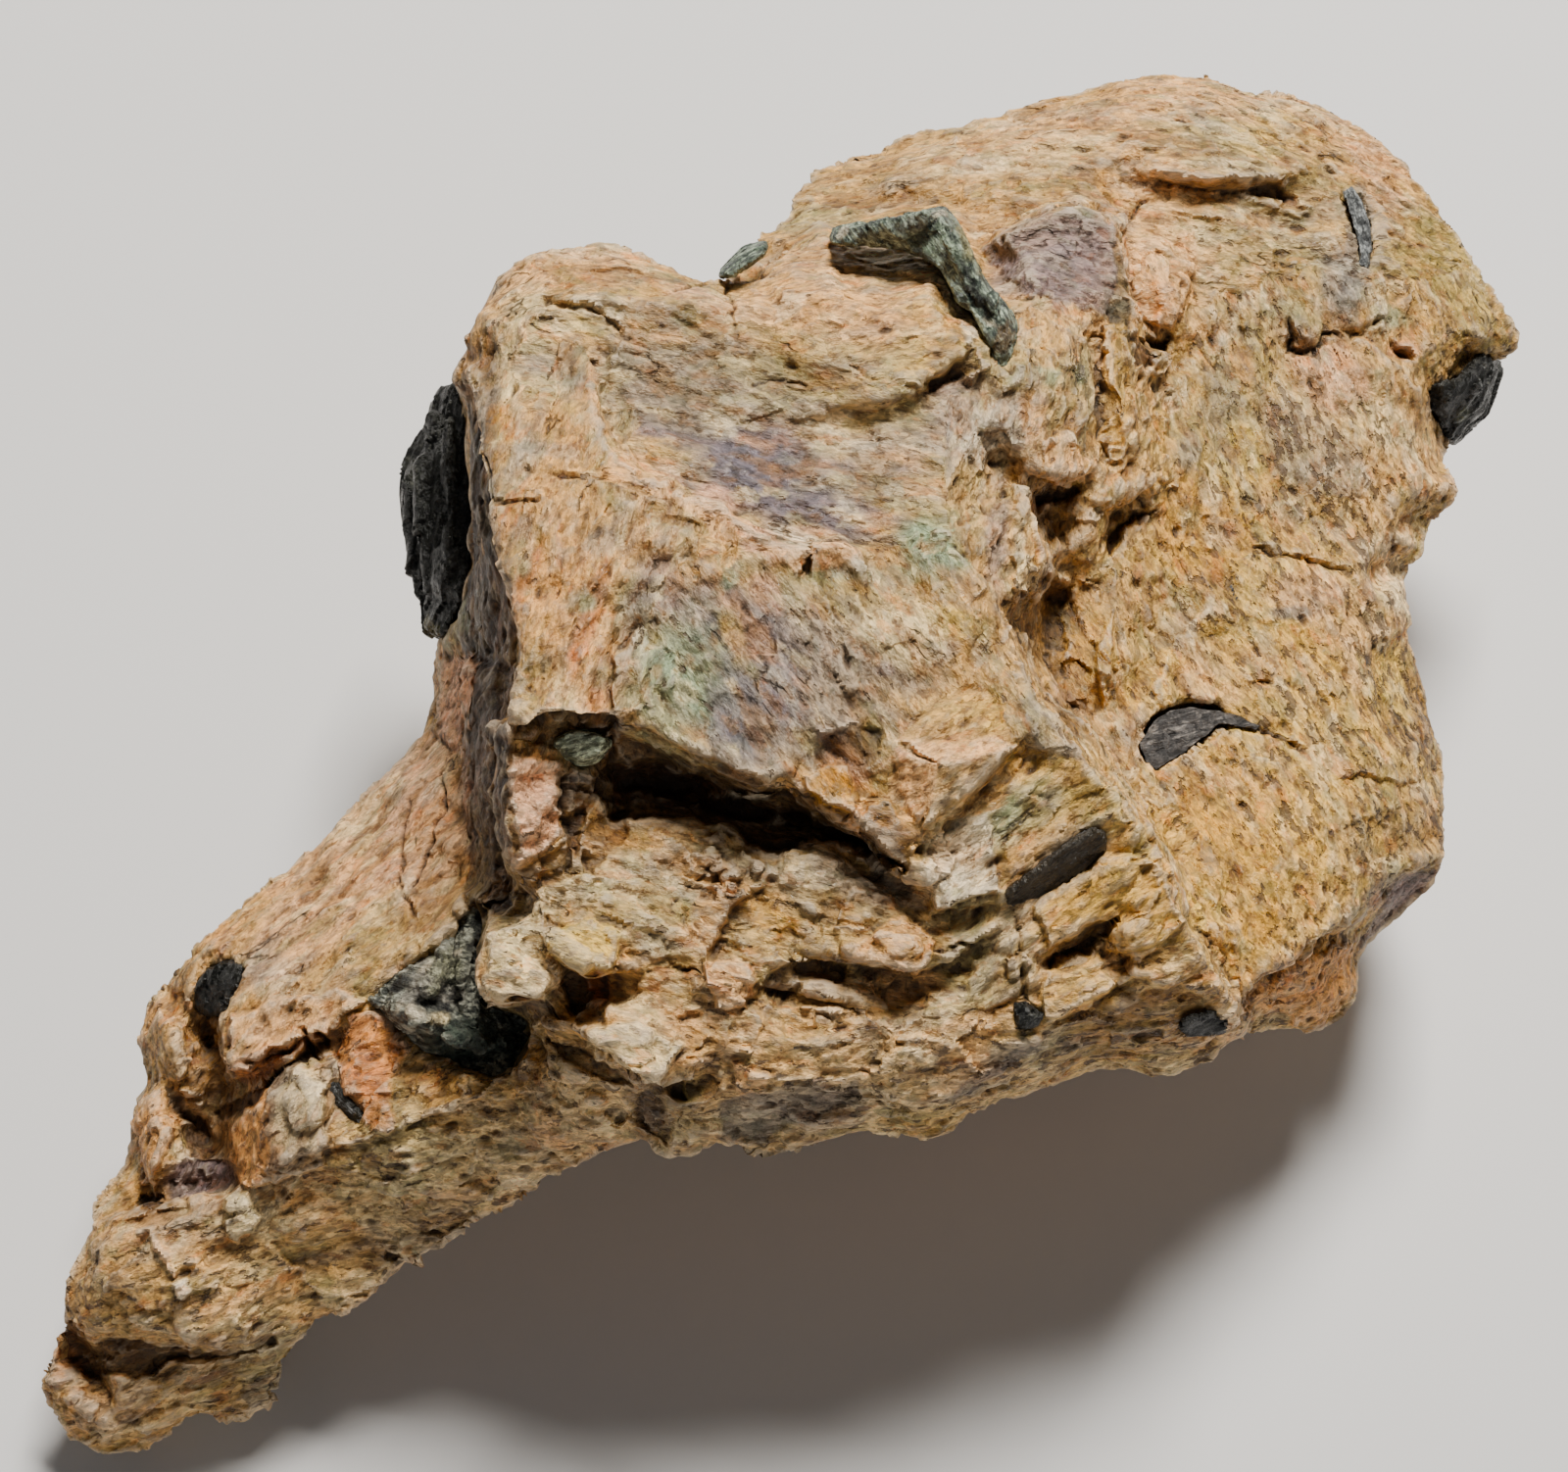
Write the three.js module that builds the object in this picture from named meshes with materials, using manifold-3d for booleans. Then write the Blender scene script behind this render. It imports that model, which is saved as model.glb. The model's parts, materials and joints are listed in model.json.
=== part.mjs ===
// A hand specimen of aegirine: dark green crystal masses grown in a pink and tan feldspar rock.
// Millimetres, +Z up. The origin is the middle of the flat face that the rock rests on.
import * as THREE from "three";
import { mergeVertices } from "three/addons/utils/BufferGeometryUtils.js";
import Module from "manifold-3d";

const wasm = await Module();
wasm.setup();

// Driving dimensions. The rock was sighted from one place in front of it and above it: a point is
// written as across and up on a plane through the sight point, and its height above the floor.
const sightElevation = THREE.MathUtils.degToRad(60);
const sightDistance = 480;
const sightPoint = new THREE.Vector3(-18, -8, 40);

// The facets of the broken rock: their size where it is seen and where it is turned away.
const frontFacet = 3.45;
const rearFacet = 11;
const lineStep = 2.8;
const outlineStep = 3.2;
const longestSeenEdge = 14;
const longestHiddenEdge = 18;
const closestPoints = 0.62;
const facetSpacing = 0.62;
const facetJitter = 0.45;
const rimClearance = 1.25;
const rearClearance = 1.3;

// The rock is at least this thick behind its seen face, and it thins towards its rim.
const rockThickness = 9;
const rimTaper = 1.1;
const restMargin = 0.5;
const hairbreadth = 1e-3;
const floorClearance = 0.8;

// The crystal masses, the prisms on them and the sockets that they sit in.
const crystalFacet = 3.8;
const crystalStep = 2.4;
const crystalClearance = 0.7;
const prismSides = 6;
const prismShoulder = 0.35;
const prismTip = 0.3;
const socketFacet = 6;
const socketClearance = 1.4;
const socketGap = 0.3;
const socketFloorGap = 1.4;
const socketMouth = 45;

// How rough the broken faces are.
const frontRoughness = 0.675;
const frontLumpSize = 7;
const frontLumpSeed = 4;
const relaxRounds = 6;
const relaxShare = 0.6;
const hiddenLumps = [
  { form: blocky, size: 26, height: 4, seed: 3 },
  { form: noise, size: 11, height: 1.6, seed: 11 },
];

const sightDown = new THREE.Vector3(0, Math.cos(sightElevation), -Math.sin(sightElevation));
const sightUp = new THREE.Vector3(0, Math.sin(sightElevation), Math.cos(sightElevation));
const eye = sightPoint.clone().addScaledVector(sightDown, -sightDistance);

// The rock's edge against the floor, clockwise from the left top of the plateau.
const outline = [
  [-41.4, 48, 76], [-41, 50.5, 82], [-39.5, 53.5, 83], [-38, 55, 83], [-37, 57, 83], [-35, 59.8, 83],
  [-31, 61.5, 83], [-27, 62.3, 83], [-24, 63, 83], [-21, 63, 83], [-18, 61.8, 83.5], [-15, 60.5, 84],
  [-12, 59, 84], [-10, 58.3, 84], [-8.5, 58.2, 83], [-7.5, 59.5, 76], [-6.5, 61, 71], [-5.5, 63, 69],
  [-4.5, 64.2, 68], [-2.5, 65.2, 67], [0, 65.4, 66], [0.6, 68.5, 64], [2, 71, 62], [4, 72.6, 61],
  [8, 74.2, 60], [12, 74.8, 60], [15, 76.6, 60], [17, 77.2, 60], [25.5, 79.5, 61], [32, 81.5, 61],
  [37.5, 81.8, 61], [41, 83.7, 61], [48.5, 85.1, 61], [51, 84.3, 61], [53.6, 84.8, 60],
  [59.3, 82.7, 59], [62, 83, 58], [69, 80.5, 56], [73.5, 78.3, 55], [79, 74.1, 53], [81, 71, 52],
  [86, 65, 51], [89.3, 59.4, 50], [93.8, 53, 49], [95, 50.5, 48], [94, 48.5, 46], [92, 47, 44],
  [90.3, 44.8, 41], [87.8, 41.6, 38], [85.5, 38.5, 37], [84.5, 36.5, 40], [85.5, 34, 44],
  [86.5, 32.5, 45], [86, 30.5, 44], [84, 28.5, 43], [82, 27, 42], [81.4, 23.4, 42], [78.6, 21.6, 41],
  [79, 18.5, 42], [79.5, 15, 43], [79.6, 12, 41], [81.5, 6, 37], [82.5, 3, 36], [83.1, 0, 35],
  [84, -4, 34], [84.2, -6, 34], [83.8, -10, 36], [84, -13, 37], [84.4, -16, 36], [83.5, -19, 32],
  [81, -20, 30], [79, -21.5, 29], [77.5, -23.5, 28], [75, -26, 27], [73, -28.3, 27], [73.3, -31, 27],
  [72.8, -34, 26], [71, -36, 25], [69, -37, 24], [66.5, -38, 24], [63, -37.4, 26], [61.3, -38.3, 27],
  [59, -38.8, 30], [57, -39.2, 35], [55, -41.3, 36], [51, -42.5, 35], [49.5, -43.8, 34],
  [47, -44.4, 34], [44.5, -43, 36], [40, -42.5, 38], [35, -44.5, 40], [30, -46.5, 41], [26, -47.5, 42],
  [23.5, -48, 43], [20.5, -50.7, 42], [17, -51.5, 42], [14, -50.6, 43], [10, -50.5, 44], [5, -51.3, 44],
  [2, -52, 44], [-3, -53, 44], [-8, -51.7, 45], [-10, -53, 43], [-13, -54, 42], [-15.5, -53.3, 42],
  [-17.5, -51.3, 44], [-20, -51.8, 42], [-25, -54.5, 38], [-30, -56.5, 35], [-31.4, -58.4, 33],
  [-33, -59.9, 30], [-35.5, -61.5, 29], [-39, -61.2, 30], [-40.5, -63.5, 28], [-45, -67, 26],
  [-48, -67.5, 25], [-51, -70.5, 22], [-54, -73, 20], [-56, -74, 20], [-59.5, -75, 19],
  [-61, -77.5, 15], [-63, -80, 12], [-63.5, -83, 10], [-65, -85, 9], [-67.5, -86.7, 8], [-70, -87.2, 7],
  [-75, -86.8, 8], [-78, -89, 6], [-81, -91.3, 4], [-87, -92, 4], [-90, -90, 5], [-93, -85.5, 8],
  [-95, -83, 9], [-96, -80.5, 11], [-94, -78.5, 14], [-92.6, -75.5, 17], [-92, -73, 19],
  [-91.5, -69, 21], [-89, -64, 22], [-87.8, -62.4, 22], [-88.5, -60, 20], [-87.5, -58, 21],
  [-85, -56, 22], [-84, -54, 22], [-83.8, -52, 22], [-83, -48, 22], [-81.2, -45, 24], [-82.3, -42, 26],
  [-83, -39, 27], [-82.5, -36, 28], [-80, -31.5, 30], [-77, -28.5, 32], [-73, -24.8, 34],
  [-69, -20.5, 36], [-65, -17.5, 37], [-60, -14.3, 38], [-57, -11, 39], [-55, -9.5, 39],
  [-53, -6.5, 40], [-50.5, -4.5, 40], [-48, -1.5, 40], [-45.5, 0.5, 42], [-44, 2.5, 44], [-43.5, 6, 46],
  [-43.8, 10, 46], [-44.6, 15, 44], [-45.4, 20, 41], [-46, 26, 39], [-46, 32, 39], [-45, 38, 42],
  [-43.6, 42.6, 52], [-42.2, 45.6, 66],
];

// Creases: lines along which the seen surface bends.
const creases = [
  // The plateau's bright shoulder and its upper hollow.
  [
    [-38, 53, 86], [-30, 55.5, 87.5], [-24, 56, 88], [-17, 55.5, 88], [-10, 55.4, 88],
    [-6.6, 54.5, 87.4],
  ],
  [[-36, 50, 86], [-30, 48, 85.2], [-27, 44, 85.4], [-31, 38, 86.4], [-30, 32, 87], [-26, 27, 87]],
  [[-18, 50, 85.6], [-15, 44, 84], [-10, 38, 83], [-2, 34, 82.8], [5, 30, 83], [12, 27, 83.4]],
  [[-6.4, 53, 87.2], [-5.4, 50, 86.6], [-3, 46, 85.2], [2, 41, 84.2]],
  [[0, 57, 88.2], [6, 56.5, 89], [12, 54, 89], [18, 56, 88.6]],
  [[4, 48, 87.4], [10, 48, 88], [16, 50, 88.2]],
  [[12, 38, 84], [18, 38, 84.4], [24, 40, 84]],
  [[14, 32, 84.4], [20, 29, 84.8], [24, 24, 84]],
  // The front face of the plateau.
  [
    [-30, 20, 85.4], [-22, 20, 85.8], [-14, 20, 85.6], [-6, 18, 85], [4, 16, 84.2], [14, 15, 83.4],
    [24, 13, 81.6],
  ],
  [
    [-30, 10, 83.4], [-24, 9, 83.6], [-14, 9, 81.8], [-4, 7, 81.4], [8, 7, 81], [18, 7, 80],
    [26, 6, 79],
  ],
  [[14, 3.5, 80], [20, 2, 79.8], [27, 2, 78.6]],
  // The floor of the pit under the lip.
  [
    [-22.6, -4.6, 69], [-20, -6, 66], [-15.6, -6, 65], [-10.6, -7, 64.6], [-5.4, -9.6, 64.4],
    [0, -11.4, 64.6], [4.6, -11.6, 66], [8.6, -13, 67],
  ],
  // The fibrous left wall.
  [[-37.4, 8, 68], [-37.5, 0, 66], [-37.6, -8, 62], [-37.2, -16, 56]],
  [[-39.9, 24, 60], [-38.2, 16, 68], [-38.8, 10, 62]],
  // The pink slab low on the left.
  [[-42.7, 9, 50], [-40.8, 8.8, 52], [-40.3, 1, 51], [-41.5, -1.6, 49], [-42.9, 2, 48.5]],
  // The hidden ground behind the ridge, and the slab behind it.
  [
    [-3, 63.4, 69], [3, 65.4, 68], [10, 66.8, 67], [16, 68.2, 66.6], [20.8, 69.2, 66.6],
    [24, 66.2, 67.6], [26.2, 61.8, 70],
  ],
  [
    [4, 69.5, 65], [10, 71, 66], [20, 73.5, 66.4], [30, 76.2, 66.8], [36, 78, 66.8], [45, 80.8, 67],
    [54, 80, 66], [64, 77.4, 62.4], [72, 73.4, 59], [80, 64.5, 55], [85, 57.6, 53], [90, 51.6, 50.4],
  ],
  [[14, 70.6, 68], [26, 69, 69], [36, 70.6, 69], [44, 75.4, 69], [52, 75, 68.4], [60, 74.4, 66]],
  [[69, 70, 61], [75.6, 66, 58.6], [79, 58, 56.4], [84, 52, 53.6]],
  // The purple block and the hole beside it.
  [[31, 60, 78], [36, 62, 77], [40, 60, 74]],
  [[30.8, 54, 80], [36, 54.5, 77.5], [41.2, 54, 74]],
  [[47, 61, 66], [48.6, 57, 66.4], [48.8, 53, 64]],
  [[46.6, 50, 57], [48.2, 48.5, 57]],
  // The fibrous ridges between the plateau and the dish.
  [[36, 50, 79], [36.4, 46, 79.4], [37, 42, 79], [37.6, 38, 77.6], [38, 35, 75.6]],
  [[39.4, 50, 72], [39.6, 45, 71], [40, 40, 70], [41, 36, 67]],
  [[42, 50, 73.4], [42.6, 46, 73.4], [43.4, 42, 72], [44.4, 38, 69.4], [46, 34, 65]],
  [[47, 44, 63], [48, 38, 61.4], [49.5, 32, 60]],
  [[33, 47, 82], [32.5, 43, 82.4], [31.4, 39.6, 82]],
  [[39.4, 31.4, 69], [38.6, 27, 68.4], [36, 24, 67], [35, 21.6, 64]],
  [[33.4, 27.4, 66], [35.2, 25.8, 64]],
  [[41, 23, 62], [42, 18, 60.6], [41.4, 12, 60.4], [40.8, 7, 60]],
  [[45.6, 12.5, 57], [47.4, 8, 56.6]],
  // The valley along the foot of the plateau.
  [
    [34.2, 18.6, 60], [33, 14, 60], [32.8, 9.6, 60.4], [35, 5.4, 58], [38.4, 2, 56.6], [41.2, -1.6, 56],
    [44.4, -6.4, 55.4], [47.4, -10.4, 55], [49.8, -15, 54], [51.6, -19.6, 53], [53, -25, 51.4],
    [55.6, -29.4, 49.6], [58, -33.2, 46.6],
  ],
  // The dish.
  [[52, 60, 63], [58, 61, 62], [64, 61.6, 60.4]],
  [[52, 54, 61.6], [58, 54, 60.4], [63, 52.4, 58.6], [65, 44, 56.4]],
  [[52, 46, 59.6], [56, 38, 57], [60, 32, 55], [62, 26, 54.4]],
  [[70, 47, 57.4], [76, 46, 55.4], [80, 42, 51.6]],
  [[72, 36, 54.6], [79, 34, 51.4], [83, 32, 48.6]],
  [[66, 28, 53.4], [74, 26, 50.8], [78.6, 25, 47.4]],
  [[50, 26, 57.6], [52, 18, 55.4], [56, 11, 54], [62, 10, 53.4], [70, 12, 51], [77, 13, 47.4]],
  [[64, 19, 54], [72, 19, 51.6], [77.4, 17.6, 47.6]],
  [[52, -6, 54], [60, -5, 53.4], [68, -5, 51.4], [76, -2, 48], [81, -1, 42.6]],
  [[53, -14, 53.2], [60, -14, 53], [68, -12, 51], [76, -10, 47.6], [81.6, -10, 42]],
  [[56, -24, 51.4], [62, -22, 50.6], [68, -20, 49], [74, -17, 46], [80, -15, 42]],
  [[60, -27.4, 49.6], [65, -25.6, 48.6], [70, -22.4, 46.8]],
  // The purple under-edge of the dish.
  [[75.2, -22.4, 36], [78, -20, 36], [81.4, -17.8, 36]],
  // The orange block under the dish.
  [[63, -33.4, 35], [66.4, -31.4, 36], [70, -28.4, 37], [71.8, -26.6, 37]],
  [[62.4, -35.4, 31], [66.4, -35.4, 31], [70, -33.6, 31.4], [71.6, -31, 31]],
  // Blocks of the terrace.
  [[20, -10.8, 72.6], [25.4, -10, 73.4], [29, -6.4, 74.4], [33.6, -4.6, 75], [37.6, -5.4, 74]],
  [[25.6, -10.2, 73.2], [26.6, -14, 71], [27.8, -18.6, 68.6]],
  [[18.2, -14.6, 71], [19.4, -18.4, 69.6], [20.4, -21, 68.6]],
  [[32, -11, 71.6], [36, -10, 71.8], [39.6, -11, 71.4]],
  [[42.4, -11.4, 70.6], [44, -13.8, 69.4]],
  [[41.8, -15.8, 68], [45.6, -17, 67.4], [48.6, -20.4, 65]],
  [[38.4, -19, 66.6], [44, -20.4, 66.4], [48.6, -24.4, 63]],
  [[33.2, -23, 64.6], [36.6, -22.4, 65]],
  [[45.4, -24, 64.4], [46.6, -28, 62], [49.6, -30.4, 59]],
  [[36, -31, 60.4], [39.4, -30.4, 60.6], [40.6, -32.6, 58.6]],
  [[29.4, -24.4, 65], [30.6, -28, 63.4], [32.4, -33.6, 60]],
  [[22, -25, 64.8], [26.4, -24.4, 65.2]],
  [[20.6, -30.6, 61.4], [25.6, -31, 61.6], [28.6, -33.2, 60.8]],
  [[14, -34.4, 60], [20, -37, 60], [26, -37.6, 58.4]],
  [[9.4, -21, 66.4], [14, -22.8, 66], [17.4, -24, 65]],
  [[1.6, -17, 68.4], [6.4, -18, 68.2], [12, -20, 67.4]],
  [[-1.6, -22, 66], [-5, -27, 64.6], [-4, -32, 62.6]],
  [[-22, -14, 67.6], [-15, -14.6, 68.6], [-9, -13.4, 69], [-6.6, -14.8, 67.6]],
  [[-29, -19.4, 65.6], [-24, -19, 67.4], [-17, -21, 67.6], [-11, -22, 66.4]],
  [[-32, -24, 65], [-27, -24, 67], [-20, -26.4, 66.4], [-13, -27.6, 65]],
  [[-35.6, -25.4, 64.6], [-32.4, -28.6, 64.4]],
  [[-18, -33.4, 61.6], [-12.6, -36.4, 61.6], [-7, -34.4, 62.4]],
  [[-19, -38.4, 62.4], [-12, -38.8, 61.4], [-5, -39.4, 61.2], [3, -39, 60], [8, -41, 58.6]],
  [[-4, -43.6, 58], [4, -44, 56.6], [12, -43.6, 56]],
  [[-6, -47.2, 52.6], [0, -46.4, 53], [6, -46.6, 53]],
  [[-6, -50.4, 48], [1, -49.2, 49.6], [8, -48.6, 50]],
  // The edge between the terrace and its shaded flank.
  [
    [12, -47.6, 51], [16, -47.8, 51], [20, -46.4, 52.6], [25, -42.6, 55], [28, -40.2, 56.4],
    [31, -38.6, 57.4], [34.4, -36.8, 58], [38, -35, 58.4], [42, -33.8, 58.4], [47, -33.4, 57.4],
    [51, -34.2, 54.6], [55, -34.6, 51], [57, -36.6, 47],
  ],
  [[28, -44, 49], [34, -41.4, 49], [40, -39.4, 49.4], [47, -39.2, 47.6], [53, -39.4, 43.6]],
  // The tail's upper slope.
  [[-41.4, -4, 50], [-44.8, -5, 47.4], [-50, -6.6, 43.4]],
  [[-40.6, -11, 50], [-45, -14, 48], [-52, -14, 44.4], [-58, -16, 42]],
  [[-41, -18.6, 49], [-48.6, -21, 48], [-56, -22, 46], [-64, -21.6, 42]],
  [[-49.6, -28, 48], [-56, -28.6, 47], [-64, -27.4, 44], [-69, -24, 40]],
  [[-56, -31.4, 47], [-62, -32.6, 45.6], [-67, -32, 44]],
  [[-77.4, -31.4, 35], [-74, -27.8, 37.4], [-71.8, -26.4, 39.4]],
  [[-79.8, -36, 34.6], [-77.6, -39.4, 36], [-76.4, -43, 34]],
  [[-74.2, -37, 30], [-72.4, -40.4, 30], [-71.8, -43.4, 30]],
  [[-69.4, -36, 42], [-64, -36.2, 43.6], [-59, -35.6, 44.6]],
  // The big blocks of the tail.
  [[-54, -36, 44.4], [-54.6, -40, 43], [-56.4, -42.6, 42]],
  [[-52.6, -37.4, 43.6], [-48, -42, 43], [-43, -44, 43.6]],
  [[-53, -42.2, 43.4], [-51, -46.6, 42.4], [-47, -46.8, 43]],
  [[-62.6, -41.8, 42.4], [-65, -46, 41], [-66, -51.6, 38.4], [-67, -57, 34.4]],
  [[-60.4, -43.4, 43], [-59.6, -48, 41.6], [-60.4, -53.6, 38.6], [-60.8, -57, 35.6]],
  [[-70.2, -48.4, 33], [-70.2, -53, 31.6], [-69, -57, 31]],
  [[-76.6, -48.6, 26], [-73, -51.4, 25], [-75, -55, 28], [-72.6, -57.2, 27.4]],
  [[-80.2, -46.4, 31], [-78.6, -50.4, 32], [-79.6, -54.6, 31], [-80.2, -57.2, 28.6]],
  [[-86.4, -59.6, 23], [-84, -57.6, 24.6]],
  // The shaded flank of the tail.
  [
    [-57.6, -54, 38.4], [-52, -51.8, 41], [-46, -48.4, 44], [-40, -46.2, 46], [-35, -45, 47.4],
    [-29, -45.8, 49], [-23.4, -46.4, 50.4],
  ],
  [[-56, -62, 30], [-50, -58.6, 34], [-42, -55, 37.6], [-33, -52, 41.6], [-24, -49.6, 46]],
  [[-50, -63.4, 28.6], [-44, -62, 30.6], [-38.6, -58.6, 33]],
  [[-55, -67, 25], [-60, -67, 25.6], [-66, -66, 28], [-70, -62.4, 30.6], [-70.6, -59.6, 32.6]],
  [[-86.6, -65, 27.6], [-81, -62.6, 30], [-76.4, -62, 30.6]],
  [[-88.6, -70, 25.6], [-83, -70, 28], [-76.4, -69.6, 28.4], [-69, -70.4, 26.6], [-62, -71, 23.6]],
  [[-85.6, -79.4, 16.6], [-80, -80.4, 16.4], [-74, -80.2, 15.6], [-68, -79.8, 14.6]],
  [[-84.8, -83.8, 14.4], [-80, -83.4, 14.6], [-75.6, -84.4, 12.6], [-70, -83.4, 12], [-66, -82, 12]],
  // The open corner at the tip.
  [[-93.8, -80.2, 14], [-90.4, -84.4, 13.4], [-86.8, -87.2, 12], [-85.4, -86, 12.6]],
  [[-90.4, -78.6, 12.6], [-88, -81.6, 10.4], [-87, -84.4, 10]],
  [[-87, -89.6, 8.6], [-81.6, -88.4, 9.4], [-77, -87, 9]],
];

// Ledges: an edge, how far its foot reaches to the left of the way it runs (or to the right, below
// nought), and how far the ground drops there.
const ledges = [
  // The rim of the plateau over its left wall.
  {
    edge: [
      [-40.4, 50, 85], [-40.2, 46, 85], [-39.6, 42, 85.4], [-38.9, 36, 86], [-38.1, 30.6, 86.2],
      [-37.8, 28, 86.2], [-36.6, 24, 85.8], [-35.4, 19, 85.2], [-34.4, 14, 84.4], [-34.2, 10, 83.6],
      [-34.8, 5, 82], [-35, 1.4, 81],
    ],
    reach: -1.3,
    drop: 14,
  },
  {
    edge: [[-35.2, -1.6, 78], [-35.2, -6, 76], [-34.8, -12, 73], [-34, -16.6, 70]],
    reach: -1.5,
    drop: 14,
  },
  // The step from the front left slab down to the grey dish.
  {
    edge: [
      [-24.6, 47, 86.4], [-24, 43, 86.6], [-23.3, 38.5, 87], [-20.5, 36.5, 87.2], [-18.5, 33.4, 87.2],
      [-15, 32.8, 87.2], [-12.5, 31, 87], [-10, 30.2, 87], [-7.6, 30, 87], [-6.8, 28, 87],
      [-3.5, 26.2, 86.8], [0, 24.7, 86.6], [3, 24.2, 86.4], [7.5, 25, 86], [9.6, 23.4, 85.6],
      [10.4, 20.6, 84.8],
    ],
    reach: 0.95,
    drop: 3,
  },
  {
    edge: [[-30, 54.4, 87.4], [-25, 54.2, 87.4], [-22, 52.4, 87], [-21.2, 50, 86.8], [-22, 47.4, 86.4]],
    reach: 0.9,
    drop: 1.2,
  },
  {
    edge: [
      [9, 42.4, 86], [13, 42.6, 86.6], [16.8, 43.4, 87], [18, 46, 87.4], [20.2, 46.8, 87.4],
      [22.4, 49.4, 87.4], [24.2, 46.8, 87], [26.4, 46.4, 86],
    ],
    reach: -1.2,
    drop: 3.4,
  },
  // The lip that hangs over the dark pit.
  {
    edge: [
      [-34.8, 0.4, 81], [-32.4, 0.9, 81], [-31, 2.3, 81.2], [-28, 2.7, 81.4], [-25.4, 2.1, 81.4],
      [-22.4, 2.2, 81.4],
    ],
    reach: -1.2,
    drop: 4.4,
  },
  { edge: [[-21.6, 10, 82], [-21.5, 6, 82], [-21.5, 3, 81.6]], reach: 0.8, drop: 1.6 },
  {
    edge: [
      [-20.4, 1.4, 79.4], [-17.5, 1.3, 79.2], [-15, 0, 79], [-12.5, -1.7, 79], [-10, -2.5, 79],
      [-7.5, -4.3, 78.6], [-4.5, -5.2, 78.4], [-2, -6, 78], [-0.8, -4.7, 78.4], [1, -5.2, 78],
    ],
    reach: -1.1,
    drop: 6,
  },
  {
    edge: [
      [2.4, -7.6, 76.4], [4.5, -9.3, 75.6], [7, -10.9, 75], [10, -12.2, 74.4], [12, -13.4, 74],
      [14, -16, 73], [15.4, -16.9, 72.6],
    ],
    reach: -1.1,
    drop: 7,
  },
  {
    edge: [[17, -13.1, 74.6], [20, -10.1, 76], [23, -7.6, 77], [26, -4.9, 77.4], [29.2, -1.8, 77.8]],
    reach: -1.2,
    drop: 4.4,
  },
  // Ledges of the terrace.
  { edge: [[20.6, -21.8, 68.2], [24, -21.2, 68.2], [27.6, -20.6, 68]], reach: -1.2, drop: 3.4 },
  {
    edge: [
      [33.2, -27.4, 63], [36, -26.4, 63.4], [38.4, -25.2, 63.8], [40.4, -23.2, 64.2], [42.6, -22, 64.6],
    ],
    reach: -1.4,
    drop: 4.6,
  },
  { edge: [[42.4, -25.4, 63.6], [43.6, -28, 62], [44.4, -30.4, 60.4]], reach: -1, drop: 2.6 },
  { edge: [[19.4, -29.2, 62.6], [21.6, -27.6, 63.4], [24.2, -26.8, 64]], reach: -1.2, drop: 2.4 },
  {
    edge: [[4, -27.4, 64.6], [8, -28, 64.4], [12, -29, 63.8], [16, -30.2, 63]],
    reach: -1.3,
    drop: 3.8,
  },
  {
    edge: [[-3.6, -31.2, 63.4], [0, -32, 62.8], [4, -32.2, 62.6], [7.4, -34, 61.8], [11, -36.8, 60.8]],
    reach: -1.2,
    drop: 2.8,
  },
  {
    edge: [[-29.6, -25.8, 67], [-27, -28.4, 67], [-24, -29.6, 66.8], [-20.6, -29.9, 66.2]],
    reach: -1.3,
    drop: 8,
  },
  {
    edge: [
      [-38.2, -26, 64], [-38.7, -31, 63], [-37, -33.4, 62.4], [-34, -33.6, 62.8], [-31, -33.2, 63],
      [-29, -31.4, 63],
    ],
    reach: -1.4,
    drop: 11,
  },
  {
    edge: [
      [-30.6, -36.4, 58], [-27, -37, 61], [-23.6, -38.8, 62.4], [-21, -41.4, 62], [-18.6, -43.4, 61.4],
      [-16.6, -44, 61], [-14.6, -43.2, 60.8], [-12.4, -42.4, 60.6],
    ],
    reach: -1.3,
    drop: 7,
  },
  {
    edge: [[-15.6, -46.4, 55.6], [-13, -47.6, 55], [-10, -47.4, 55], [-8, -46, 55.2]],
    reach: -1.2,
    drop: 4,
  },
  {
    edge: [[-11.6, -15.8, 69], [-9, -17, 68.6], [-5.6, -16.2, 68.6], [-3.6, -17.6, 68]],
    reach: -1.1,
    drop: 2.4,
  },
  // The front edge of the dish.
  {
    edge: [
      [58.6, -32.6, 47.4], [61, -30.6, 48], [63.6, -29.4, 48], [66, -27.6, 47.6], [67.6, -26, 47.4],
      [69.8, -24.2, 46.8], [71.6, -23.6, 45.6],
    ],
    reach: -1.3,
    drop: 8,
  },
  {
    edge: [[74.4, -20.8, 43], [76.6, -18.6, 42.6], [79.6, -16.8, 42], [82.4, -15.6, 41]],
    reach: -1.1,
    drop: 5,
  },
  // Blocks of the tail.
  {
    edge: [[-70.2, -43, 40], [-66.4, -42, 41.4], [-62.4, -39.8, 43], [-59.2, -37.8, 44.4]],
    reach: -1.25,
    drop: 6,
  },
  { edge: [[-71.4, -35.4, 41.6], [-70.8, -39, 41], [-70.4, -42, 40]], reach: -1.2, drop: 8 },
  {
    edge: [
      [-92, -74, 21], [-88, -75.6, 22], [-84, -75.2, 23], [-78, -75.8, 23.6], [-72, -77.6, 22.6],
      [-67, -77.4, 21.4], [-62.6, -76, 20],
    ],
    reach: -1.3,
    drop: 4.6,
  },
  {
    edge: [[-85.4, -61.4, 27], [-81, -60.2, 29.4], [-76, -59.6, 30], [-72, -59, 31]],
    reach: 1.2,
    drop: 5,
  },
  // The upper slab's overhanging edge.
  {
    edge: [
      [46.8, 71.4, 69], [51, 70.8, 68.4], [55, 70.5, 68], [59, 70.8, 67], [63, 71.2, 65.6],
      [66, 71.6, 64.2],
    ],
    reach: -1.2,
    drop: 3.4,
  },
  { edge: [[60, 68.5, 63.8], [63, 68, 63.2], [66, 66.4, 62]], reach: -1.2, drop: 2 },
  // The purple block and the fibrous ridges.
  {
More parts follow.
